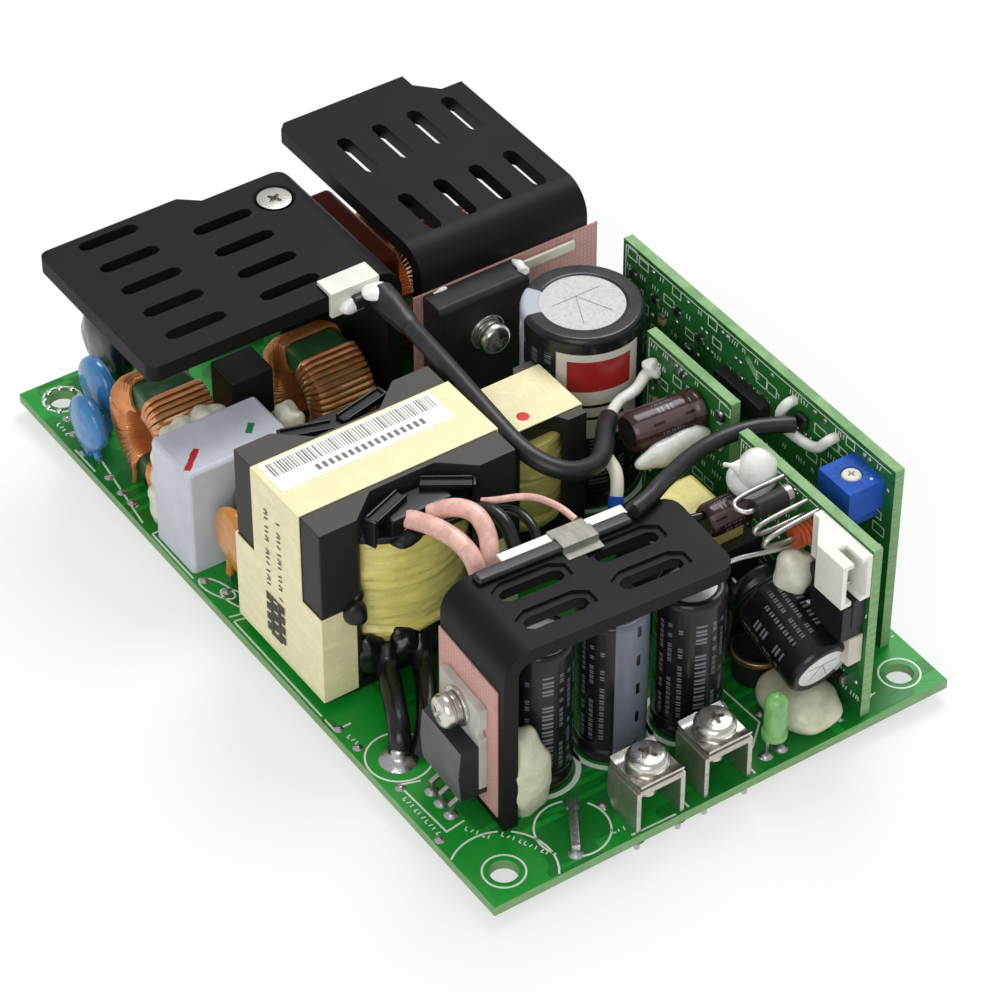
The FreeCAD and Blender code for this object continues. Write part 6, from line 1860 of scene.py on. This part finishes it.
@dataclass
class MainTransformer:
    """The main transformer: core, belt, label, drum, bobbin clips, sleeves and leads."""

    core: PotCore = field(default_factory=lambda: PotCore(
        (9.05, -20.65), (10.9, 15.9), 3.5, 33.7, 4.5, 6.0, (6.9, 5.2), 13.6, True, ((12.55, 9.3), (0.35, 27.9))))
    clips: tuple[tuple[Point, Point], ...] = (((17.5, -21.9), (19.9, -28.3)), ((16.9, -18.6), (20.9, -12.6)),
                                              ((0.2, -21.9), (-1.9, -28.8)), ((-0.2, -20.2), (-1.9, -12.6)))
    leads: tuple[tuple[Point, ...], ...] = (
        ((20.4, -26.4, 9.4), (21.6, -27.4, 6.6), (26.4, -29.6, 6.4), (32.6, -32.5, 5.4), (33.1, -33.0, 2.4)),
        ((20.9, -21.6, 9.2), (22.9, -22.6, 6.4), (27.4, -24.6, 6.4), (33.7, -28.8, 5.4), (34.4, -30.4, 2.0)))

    def tape(self) -> None:
        """Wrap the belt and the lower feet, and lay the label and the side print."""
        form = dressing("transformer_tape").cad("transformer_tape", Wear.tape, 0.1)
        form.decal((9.9, -35.9, 33.95), (0, 27.9, 0), (-6.5, 0, 0), Wear.label)
        face = on_face(-36.9)
        for column, (x, low, high) in enumerate(((6.3, 14.6, 30.2), (9.4, 14.9, 29.6))):
            count = int((high - low) / 0.8)
            for k in range(count):
                z = low + 0.8 * k
                if (k * 7 + column * 3) % 5:
                    form.strip([(x, z), (x + 0.9, z + (0.26 if k % 3 else -0.18))], 0.2, Wear.dark_ink, 0.0, 0.03,
                               place=face)
        for row in range(16):
            for column in range(5):
                if (row * 5 + column * 3 + row * column) % 4:
                    x, z = 5.9 + column * 0.96, 6.4 + row * 0.47
                    form.strip([(x, z), (x + 0.88, z)], 0.34, Wear.dark_ink, 0.0, 0.03, place=face)
        form.done()

    def clip_bar(self, form: Form, start: Point, end: Point) -> None:
        """Add one bobbin bar with raised rims, and the block under its outer end."""
        a, b = Vector((*start, 31.6)), Vector((*end, 31.6))
        run = (b - a).normalized()
        side = run.cross(Z)
        for low, wide, high in ((a, 1.05, 0.75), (a + side * 0.85, 0.2, 1.15), (a - side * 0.85, 0.2, 1.15)):
            form.prism([low - side * wide, low + side * wide, low + (b - a) + side * wide,
                        low + (b - a) - side * wide],
                       (0, 0, high), Wear.bobbin, 0.12)
        form.prism([b - side - Z * 3.4, b + side - Z * 3.4, b + side + run * 0.5 - Z * 3.4,
                    b - side + run * 0.5 - Z * 3.4],
                   (0, 0, 4.5), Wear.bobbin, 0.15)

    def bobbin(self) -> None:
        """Build the flanges, the rails and the four fanned bars."""
        cx, cy = self.core.centre
        form = dressing("transformer_bobbin")
        for low in (8.0, 28.0):
            section = rim([(8.0, low), (13.3, low), (13.3, low + 1.2), (8.0, low + 1.2), (8.0, low)], 0.3)[:-1]
            form.turned(section, (cx, cy, 0), Wear.bobbin, sides=80, loop=True)
        for sign in (-1, 1):
            form.block((cx + sign * 8.5 - 1.6, cy - 12.5, BOARD_TOP), (3.2, 25.0, 1.65), Wear.bobbin, 0.3)
        form.turned([(7.0, 8.1), (7.8, 8.1), (7.8, 29.1), (7.0, 29.1)], (cx, cy, 0), Wear.bobbin, sides=48,
                    loop=True)
        for sign in (-1, 1):
            form.block((cx + sign * 9.9 - 2.2, cy - 5.2, 28.6), (4.4, 10.0, 3.2), Wear.bobbin, 0.5)
        for start, end in self.clips:
            self.clip_bar(form, start, end)
        for centre, reach, rough, scale, seed in (((20.3, -31.6, 17.6), (1.5, 1.7, 1.9), 0.2, 0.5, 0),
                                                  ((19.6, -30.6, 19.4), (0.9, 1.1, 1.0), 0.2, 0.6, 4),
                                                  ((20.8, -23.2, 28.0), (1.9, 2.6, 1.3), 0.3, 0.5, 2),
                                                  ((20.4, -18.6, 28.6), (1.6, 2.4, 1.2), 0.35, 0.6, 9)):
            form.lump(centre, reach, Wear.bobbin, rough, scale, 0, seed)
        for k in range(4):
            form.tube([(20.2 + 0.4 * k, -24.6 + 0.8 * k, 28.6), (21.4, -23.8 + 0.9 * k, 29.4),
                       (20.2, -22.6 + 0.8 * k, 30.2)],
                      0.16, Wear.copper, sides=6)
        form.done()

    def build(self) -> None:
        """Build the transformer."""
        form = dressing("transformer_core")
        self.core.ferrite(form)
        cx, cy = self.core.centre
        form.turned([(6.7, 8.0), (6.7, 29.2)], (cx, cy, 0), Wear.ferrite, sides=40)
        form.done()
        self.tape()
        self.bobbin()
        form = dressing("transformer_leads")
        for points in self.leads:
            form.tube(points, 1.6, Wear.gloss, sides=24, steps=8)
        for k, (x, y) in enumerate(((19.6, -29.0), (21.0, -24.4), (20.6, -19.6), (19.2, -15.0))):
            form.lump((x, y, 8.6), (1.7, 2.3, 2.9), Wear.gloss, 0.22, 0.4, floor=4.0, seed=k)
        form.done()


@dataclass
class SmallChoke:
    """The smaller core between the main transformer and the bulk can."""

    core: PotCore = field(default_factory=lambda: PotCore(
        (6.35, 4.6), (6.95, 7.3), 5.8, 27.8, 3.0, 3.2, (4.8, 2.8), 6.95, False, ((6.55, 9.2), (0.3, 24.6))))
    dot: Point = (9.32, 3.68, 28.05)

    def build(self, reels: Form) -> None:
        """Build the core, its belt with a red dot, and its drum in the shared piece."""
        form = dressing("choke_core")
        self.core.ferrite(form)
        cx, cy = self.core.centre
        form.turned([(3.2, 8.8), (3.2, 24.8)], (cx, cy, 0), Wear.ferrite, sides=32)
        form.done()
        form = dressing("choke_tape").cad("choke_tape", Wear.tape, 0.1)
        x, y, z = self.dot
        form.turned([(0, 0), (0.95, 0), (0.8, 0.05), (0, 0.06)], (x, y, z), Wear.red_ink, sides=28)
        form.done()
        self.core.reel(reels)


@dataclass
class LineFilter:
    """Capacitors, discs and fixing glue on the mains side."""

    glue: tuple[tuple[Point, Point], ...] = (
        ((-25.9, -34.8, 6.0), (2.2, 2.2, 4.8)), ((-26.2, -33.2, 11.6), (2.6, 2.8, 4.4)),
        ((-26.0, -31.4, 16.0), (2.6, 3.0, 3.4)),
        ((-25.6, -27.6, 17.6), (2.4, 3.4, 2.5)), ((-25.0, -29.2, 4.0), (1.6, 4.4, 3.2)),
        ((-19.2, -17.4, 15.6), (3.6, 2.6, 4.6)),
        ((-22.4, -15.4, 8.0), (2.4, 2.6, 6.2)), ((-16.4, -18.8, 10.4), (2.0, 1.6, 4.6)))

    def disc(self, form: Form, centre: Point, radius: float, thick: float, finish: Finish, tail: float) -> None:
        """Add one dipped disc on edge whose coat runs down its legs."""
        x, y, z = centre
        part = fresh()
        bmesh.ops.create_icosphere(part, subdivisions=4, radius=1.0)
        for vert in part.verts:
            way = vert.co.copy()
            fall = max(0.0, -way.z)
            wide = (1 - 0.62 * fall ** 3)
            flat = math.copysign(abs(way.y) ** 0.72, way.y)
            vert.co = Vector((x + way.x * radius * wide, y + flat * thick / 2 * (1 - 0.3 * fall ** 4),
                              z + way.z * radius - tail * fall ** 4))
        form.add(ruffled(part, radius * 0.035, (0.35, 0.35, 0.35), seed=x), finish)
        for sign in (-1, 1):
            foot = x + sign * 2.5
            form.tube([(x + sign * radius * 0.42, y, z - radius * 0.72), (x + sign * 2.2, y, z - radius - 0.4),
                       (foot, y, max(BOARD_TOP + 0.9, z - radius - 2.4))], 0.62, finish, sides=12)
            form.tube([(foot, y, z - radius), (foot, y, BOARD_TOP)], 0.33, Wear.tinned, sides=10)

    def build(self) -> None:
        """Build the filter parts."""
        dressed("line_film_capacitor", Wear.film, 0.3, name="film_box")
        dressed("filter_block", Wear.black, 0.3)
        dressed("rail_film_capacitor", Wear.red_box, 0.35, 3, name="rail_film")
        plan = (("blue_disc_capacitors", Wear.blue_dip,
                 (((-45.4, -36.1, 7.4), 4.6, 3.4, 2.0), ((-50.0, -31.6, 9.6), 4.6, 3.4, 1.6))),
                ("orange_disc_capacitor", Wear.orange_dip, (((-7.6, -33.5, 10.8), 5.3, 3.0, 0.4),)),
                ("inrush_disc", Wear.green_dip, (((-8.6, -29.6, 12.4), 5.6, 3.4, 0.3),)),
                ("surge_disc", Wear.black_dip, (((-57.4, -25.6, 9.6), 6.2, 5.0, 0.3),)))
        for node, finish, discs in plan:
            form = dressing(node)
            for centre, radius, thick, tail in discs:
                self.disc(form, centre, radius, thick, finish, tail)
            form.done()
        form = Form("fuse_dressed", "mains_fuse")
        form.turned(rim([(0, 0.1), (2.4, 0.1), (2.4, 19.9), (0, 19.9)], 0.3), (-57.5, 10.5, 5.0), Wear.ceramic,
                    axis=Y, sides=48)
        for start in (0.0, 15.0):
            form.turned(rim([(0, start), (2.6, start), (2.6, start + 5.0), (2.4, start + 5.0)], 0.35),
                        (-57.5, 10.5, 5.0), Wear.bright,
                        axis=Y, sides=48)
            form.tube([(-57.5, 10.5 + start + 2.5, 3.0), (-57.5, 10.5 + start + 2.5, BOARD_TOP)], 0.4, Wear.tinned)
        form.done()


@dataclass
class UprightBoards:
    """The three small boards that stand on the main one, with their print and surface parts."""

    cards: tuple[tuple[float, ...], ...] = ((-9.4, 53.3, 34.3, 34.2), (6.6, 26.6, 26.9, 31.0),
                                            (32.8, 62.5, 23.4, 32.2))
    draw: Random = field(default_factory=lambda: Random(11))
    print_line: float = 0.16

    def card_print(self, form: Form, left: float, right: float, face: float, top: float) -> None:
        """Add rows of plain dashes, outlines and solder dots to one card's front."""
        place, draw = on_face(face), self.draw
        for row in range(int(top / 2.6) - 1):
            z = top - 2.0 - 2.6 * row
            x = left + 1.2
            while x < right - 2.0:
                pick = draw.random()
                if pick < 0.42:
                    for k in range(draw.randint(2, 4)):
                        form.strip([(x + 0.55 * k, z), (x + 0.55 * k + draw.uniform(-0.1, 0.25), z + 0.8)],
                                   self.print_line,
                                   Wear.ink, 0.0, 0.03, place=place)
                elif pick < 0.62:
                    w, h = draw.uniform(1.6, 2.6), draw.uniform(1.2, 1.9)
                    form.strip([(x, z - 0.4), (x + w, z - 0.4), (x + w, z - 0.4 + h), (x, z - 0.4 + h)],
                               self.print_line,
                               Wear.ink, 0.0, 0.03, closed=True, place=place)
                elif pick < 0.86:
                    for k in range(draw.randint(1, 2)):
                        form.turned([(0.42, -0.02), (0.34, 0.16), (0.14, 0.28), (0, 0.29)],
                                    (x + 0.6 + 1.1 * k, face, z + 0.4), Wear.solder,
                                    axis=-Y, sides=12)
                x += draw.uniform(2.2, 3.4)
        form.strip([(left + 0.7, 3.0), (left + 0.7, top - 0.8), (right - 0.9, top - 0.8)], self.print_line,
                   Wear.ink, 0.0, 0.03, place=place)

    def surface_part(self, form: Form, low: Vector, high: Vector, index: int) -> None:
        """Add one surface part: a chip with solder ends, or a package with rows of feet."""
        size = high - low
        along = 0 if size.x >= size.z else 2
        across = 2 - along
        if size[along] > 3.4:
            form.block(low, size, Wear.epoxy, 0.16)
            count = max(3, int(size[along] / 1.27))
            for k in range(count):
                for edge, way in ((low[across], -1), (high[across], 1)):
                    foot = Vector((0, 0, 0))
                    foot[along] = low[along] + (k + 0.5) * size[along] / count - 0.2
                    foot[across] = edge - (0.75 if way < 0 else 0.0)
                    foot.y = high.y - 0.28
                    wide = [0.0, 0.26, 0.0]
                    wide[along], wide[across] = 0.4, 0.75
                    form.block(foot, wide, Wear.tinned, 0.06)
            return
        inner = size.copy()
        inner[along] *= 0.52
        start = low.copy()
        start[along] += size[along] * 0.24
        form.block(start, inner, (Wear.epoxy, Wear.chip_tan, Wear.black)[index % 3], 0.05)
        for end in (0.0, 0.74):
            cap, spot = size.copy(), low.copy()
            cap[along] *= 0.26
            spot[along] += size[along] * end
            form.block(spot, cap, Wear.solder, 0.1)

    def build(self) -> None:
        """Build the cards."""
        cards = dressing("upright_boards").cad("upright_boards", Wear.card_mask, 0.05)
        cards.repaint(Wear.edge, lambda normal, middle: abs(normal.y) < 0.6)
        cards.done()
        marks = Form("card_print")
        for card in self.cards:
            self.card_print(marks, *card)
        marks.done()
        parts = dressing("surface_parts")
        for index, (low, high) in enumerate(spans("surface_parts")):
            self.surface_part(parts, low, high, index)
        parts.block((54.6, 19.6, 16.8), (7.0, 3.8, 6.0), Wear.black, 0.2)
        parts.block((60.2, 20.9, 12.0), (1.7, 2.4, 5.0), Wear.ceramic, 0.15)
        parts.done()


@dataclass
class Trimmer:
    """The blue trimmer and its cross-slotted rotor."""

    spot: Point = (47.75, 31.3)
    top: float = 31.5
    ticks: int = 14

    def build(self) -> None:
        """Build the body with its dial ticks, and the rotor on its own body."""
        x, y = self.spot
        form = dressing("trimmer_body").cad("trimmer_body", Wear.blue_case, 0.2)
        for k in range(self.ticks):
            t = math.tau * k / self.ticks
            form.strip([(x + r * math.cos(t), y + r * math.sin(t)) for r in (1.95, 2.45)], 0.2, Wear.dark_ink,
                       self.top, 0.03)
        form.turned([(0, 0), (0.24, 0), (0.2, 0.04), (0, 0.04)], (x + 2.3, y + 1.6, self.top), Wear.ink, sides=16)
        form.done()
        (low, high), = spans("trimmer_rotor")
        rotor = Form("rotor_dressed", "trimmer_rotor")
        rotor.screw(Vector((x, y, low.z + 0.02)), Z, high.x - x, high.z - low.z - 0.05, Wear.cream, turn=0.1)
        rotor.done(body="trimmer_rotor")


@dataclass
class CardWires:
    """Axial parts, hairpin leads, jumpers and sleeved wires."""

    face: float = 23.4
    diode: Point = (45.9, 31.2)
    resistor: Point = (49.8, 27.0)
    thin: float = 0.36

    def hairpins(self, form: Form) -> None:
        """Add the bent bare leads."""
        face, (x, z), (wx, wz) = self.face, self.diode, self.resistor
        front, end = face - 7.3, face - 3.3
        for points in (
                [(x, face, z), (x, face - 0.9, z)],
                [(x, front, z), (x, front - 1.2, z), (x - 1.4, front - 2.2, z + 0.2),
                 (x - 2.9, front - 1.2, z + 0.4), (x - 2.9, face, z + 0.4)],
                [(x + 2.5, face, z), (x + 2.5, face - 7.8, z - 0.2), (x + 2.5, face - 9.4, z - 1.2),
                 (x + 2.5, face - 7.8, z - 2.3),
                 (x + 2.5, face, z - 2.3)],
                [(wx + 1.0, face, z), (wx + 1.0, face - 8.0, z - 0.6), (wx + 0.8, face - 9.4, z - 1.9),
                 (wx + 0.2, face - 8.0, wz + 0.9),
                 (wx, end - 1.4, wz), (wx, end, wz)],
                [(wx, face, wz - 2.0), (48.8, 17.6, 25.2), (46.6, 11.4, 25.0), (46.2, 10.2, 22.4)]):
            form.tube(points, self.thin, Wear.tinned, sides=12, steps=7)

    def axials(self) -> None:
        """Add the banded diode and the ribbed wirewound part."""
        (x, z), (wx, wz), face = self.diode, self.resistor, self.face
        form = dressing("axial_parts")
        form.turned(rim([(0, 0), (1.35, 0), (1.35, 6.4), (0, 6.4)], 0.4), (x, face - 7.3, z), Wear.epoxy, axis=Y,
                    sides=40)
        form.turned([(1.3, 5.1), (1.38, 5.1), (1.38, 6.0), (1.3, 6.0)], (x, face - 7.3, z), Wear.tinned, axis=Y,
                    sides=40)
        ribs = [(1.5 + 0.22 * math.cos(k * math.pi / 3), 0.2 + 3.0 * k / 24) for k in range(25)]
        form.turned([(0, 0.1), (1.3, 0.12), *ribs, (1.3, 3.28), (0, 3.3)], (wx, face, wz), Wear.bronze, axis=-Y,
                    sides=36)
        form.done()

    def wires(self) -> None:
        """Add the jumper, the white tail, the rosy sleeves and the dark strands."""
        back = 34.3
        form = dressing("insulated_wires")
        form.tube([(31.2, back, 31.7), (31.2, back - 1.3, 31.7), (30.3, back - 1.9, 29.6),
                   (31.4, back - 1.9, 27.7), (38.6, back - 1.9, 28.6),
                   (40.5, back - 1.4, 31.5), (40.5, back, 31.5)], 0.78, Wear.white_wire, sides=18, steps=7)
        form.tube([(14.3, 14.9, 25.7), (12.2, 17.2, 24.9), (10.3, 19.8, 24.2), (10.1, 22.8, 24.4),
                   (9.0, 25.2, 25.8), (9.0, 26.9, 25.8)], 0.85,
                  Wear.white_wire, sides=18, steps=7)
        form.lump((9.2, 26.0, 26.2), (1.3, 1.1, 1.5), Wear.white_glue, 0.3, 0.8, floor=0)
        form.tube([(20.2, 10.6, 24.6), (22.6, 10.3, 24.2), (24.4, 9.2, 23.0), (25.2, 8.4, 21.8)], 0.95, Wear.cream,
                  sides=16)
        form.tube([(25.0, 8.6, 22.2), (25.9, 7.8, 20.6), (26.1, 7.6, 19.2)], 1.1, Wear.blue_case, sides=16)
        for points, radius, finish in (
                ([(19.4, -23.2, 30.2), (22.5, -22.0, 31.0), (25.3, -20.8, 31.2), (29.0, -19.9, 31.0),
                  (32.2, -19.6, 29.6), (33.4, -19.4, 24.0)],
                 1.35, Wear.rose),
                ([(21.4, -19.8, 30.6), (23.6, -17.4, 32.4), (26.6, -15.8, 32.6), (29.8, -16.1, 31.4),
                  (32.2, -17.4, 29.6), (33.4, -17.4, 24.0)],
                 1.3, Wear.rose),
                ([(23.4, -12.8, 30.8), (24.5, -11.9, 31.2), (26.8, -7.2, 31.6), (31.0, -5.4, 31.8),
                  (34.0, -4.8, 31.2)], 0.5, Wear.rose),
                ([(21.8, -17.2, 28.8), (24.2, -13.8, 31.0), (28.4, -12.4, 31.2), (32.6, -13.4, 28.4)], 1.05,
                 Wear.gloss),
                ([(21.6, -14.6, 28.2), (25.6, -9.4, 29.8), (30.2, -8.8, 29.4), (33.8, -10.2, 27.0)], 0.7,
                 Wear.gloss),
                ([(38.0, 13.8, 25.6), (37.6, 11.4, 25.8), (35.8, 10.2, 25.2), (34.8, 9.8, 21.0)], 0.6, Wear.gloss)):
            form.tube(points, radius, finish, sides=20, steps=8)
        form.done()

    def build(self) -> None:
        """Build the wires and the leads of all devices."""
        form = Form("leads_dressed", "device_leads")
        form.cad("device_leads", Wear.tinned, 0.08,
                 pick=where("device_leads", lambda m: not (m.z > 25 and 42 < m.x < 56)))
        self.hairpins(form)
        form.done()
        self.axials()
        self.wires()


@dataclass
class Terminals:
    """The two screw terminals, the lamp and the flat link at the output edge."""

    corners: tuple[Point, ...] = ((56.4, -15.05), (56.2, -3.7))
    size: Point = (6.8, 8.0, 7.4)
    plate: float = 3.6
    head: Point = (3.0, 2.1, 10.1)
    lamp: Point = (61.1, 9.5)

    def curled(self, cx: float, cy: float, low: float, thick: float, curl: float) -> list[Vector]:
        """Return the section of a clamping plate whose ends curl up."""
        run = [self.plate * (k / 10 - 1) for k in range(21)]
        lift = [curl * max(0.0, abs(x) / self.plate - 0.62) ** 1.5 * 4 for x in run]
        lower = [Vector((cx + x, cy - self.plate, low + z)) for x, z in zip(run, lift)]
        return lower + [spot + Z * thick for spot in reversed(lower)]

    def build(self) -> None:
        """Build the terminals, the lamp and the link."""
        dressed("terminal_frames", Wear.tin_plate, 0.16)
        plates, screws = dressing("terminal_plates"), dressing("terminal_screws")
        radius, height, seat = self.head
        for index, (x, y) in enumerate(self.corners):
            cx, cy = x + self.size[0] / 2, y + self.size[1] / 2
            low = BOARD_TOP + self.size[2]
            plates.block((cx - self.plate, cy - self.plate, low), (2 * self.plate, 2 * self.plate, 0.5),
                         Wear.tin_plate, 0.12)
            plates.prism(self.curled(cx, cy, low + 0.46, 0.45, 0.55), (0, 2 * self.plate, 0), Wear.bright, 0.1)
            plates.turned(rim([(1.6, 0), (2.7, 0), (2.7, 0.5), (1.6, 0.5), (1.6, 0)], 0.15)[:-1],
                          (cx, cy, seat - 0.35), Wear.bright, sides=48,
                          loop=True)
            screws.screw(Vector((cx, cy, seat)), Z, radius, height, Wear.bright, turn=0.5 + index * 0.9)
            screws.turned([(1.45, 0), (1.45, 5.2)], (cx, cy, seat - 5.0), Wear.bright, sides=24)
        plates.done()
        screws.done()
        lamp = Form("lamp_dressed", "indicator_lamp")
        dome = [(1.6 * math.cos(k * math.pi / 16), 10.9 + 1.55 * math.sin(k * math.pi / 16)) for k in range(9)]
        lamp.turned([(0, 4.8), (1.8, 4.8), (1.85, 4.95), (1.85, 5.7), (1.62, 5.85), *dome[:-1], (0, 12.45)],
                    (*self.lamp, 0), Wear.lamp, sides=48)
        lamp.done()
        dressed("flat_link", Wear.solder, 0.14)


@dataclass
class SmallParts:
    """The drum inductor, the auxiliary transformer, the clip, tapes and glue."""

    drum: Point = (47.3, 17.2)

    def glue(self, blobs: Sequence[tuple[Point, Point]]) -> None:
        """Lay the fixing glue, the white strip and the silver tape."""
        form = dressing("glue_and_tape")
        form.cad("glue_and_tape", Wear.white_wire, 0.1,
                 pick=where("glue_and_tape", lambda m: 32 < m.z < 33.4 and m.y < 15))
        form.cad("glue_and_tape", Wear.foil, 0.12, pick=where("glue_and_tape", lambda m: m.z >= 33.4 and m.y < 15))
        for k, (centre, reach) in enumerate(blobs):
            form.lump(centre, reach, Wear.glue, 0.16, 0.45, seed=k * 1.7)
        for centre, reach, finish, rough, scale, floor, seed in (
                ((50.6, -24.7, 8.2), (3.4, 3.7, 7.8), Wear.green_glue, 0.1, 0.3, BOARD_TOP, 0),
                ((56.6, 17.2, 4.0), (6.2, 5.4, 3.1), Wear.green_glue, 0.08, 0.25, BOARD_TOP, 0),
                ((50.4, 20.2, 21.6), (2.5, 2.8, 3.8), Wear.glue, 0.2, 0.3, 0, 5),
                ((53.8, 20.4, 15.4), (0.8, 1.6, 3.2), Wear.white_glue, 0.15, 0.4, 0, 6),
                ((22.4, 19.8, 23.5), (1.6, 6.4, 2.1), Wear.white_glue, 0.15, 0.3, 0, 7),
                ((39.4, 21.7, 30.5), (2.9, 2.9, 3.8), Wear.white_glue, 0.06, 0.25, 0, 0),
                ((38.3, 20.9, 28.7), (3.1, 2.8, 2.4), Wear.white_glue, 0.1, 0.3, 0, 3)):
            form.lump(centre, reach, finish, rough, scale, floor, seed)
        form.turned([(0.0, 0), (1.2, 0.1), (0.6, 0.9), (0.34, 1.4), (0.3, 1.8), (0.36, 2.1), (0.2, 2.4),
                     (0, 2.45)], (38.0, 19.7, 31.4),
                    Wear.white_glue, axis=Vector((-0.5, -0.8, 0.25)), sides=28)
        form.done()

    def build(self) -> None:
        """Build the small parts."""
        x, y = self.drum
        form = dressing("drum_inductor")
        form.turned(rim([(0, 1.6), (3.7, 1.6), (3.7, 6.6), (3.1, 6.6), (2.9, 6.2), (0, 6.2)], 0.3), (x, y, 0),
                    Wear.black, sides=56)
        form.turned(rim([(3.5, 5.6), (3.9, 5.6), (3.9, 6.5), (3.3, 6.5), (3.5, 5.6)], 0.2)[:-1], (x, y, 0),
                    Wear.ring_bronze, sides=56, loop=True)
        form.done()
        form = dressing("aux_transformer")
        form.cad("aux_transformer", Wear.ferrite, 0.3, pick=where("aux_transformer", lambda m: m.z < 15))
        form.cad("aux_transformer", Wear.drum, 0.4, steps=3, pick=where("aux_transformer", lambda m: m.z >= 15))
        form.done()
        form = dressing("sensor_clip").cad("sensor_clip", Wear.nylon, 0.2)
        form.lump((-19.2, -2.2, 34.2), (1.9, 2.2, 0.8), Wear.white_glue, 0.1, 0.6, floor=0)
        form.lump((-20.2, -5.0, 32.6), (1.1, 2.6, 1.3), Wear.white_glue, 0.12, 0.6, floor=0, seed=3)
        form.done()
        form = dressing("sensor_heads").cad("sensor_heads", Wear.lead, 0.5, steps=3)
        x, y, z = SensorLeads.mains_route[0]
        cuff = [(1.9, 0), (2.2, 0.3), (2.15, 2.0), (2.0, 4.0), (1.8, 6.0), (1.62, 7.6), (1.46, 8.6), (1.38, 8.8)]
        part = spun(cuff, (x - 0.6, y - 0.03, z), Vector((1, -0.07, 0)), sides=28)
        form.add(ruffled(part, 0.14, (0.6, 0.6, 0.6), seed=4), Wear.lead)
        form.done()
        dressed("fan_header", Wear.nylon, 0.14)
        dressed("winding_bases", Wear.black, 0.15)
        dressed("mains_header", Wear.nylon, 0.2)
        dressed("mains_pins", Wear.tinned, 0.1)
        self.glue(LineFilter.glue)


def main() -> None:
    """Build the supply's sub-assemblies in order."""
    logging.basicConfig(level=logging.INFO, format="%(message)s")
    Studio().build()
    SensorLeads().build()
    MainBoard().build()
    Heatsinks().build()
    ClampedDevices().build()
    Cans().build()
    Toroids().build()
    transformer = MainTransformer()
    transformer.build()
    reels = dressing("taped_windings")
    SmallChoke().build(reels)
    transformer.core.reel(reels)
    reels.done()
    LineFilter().build()
    UprightBoards().build()
    Trimmer().build()
    CardWires().build()
    Terminals().build()
    SmallParts().build()


if __name__ == "__main__":
    main()
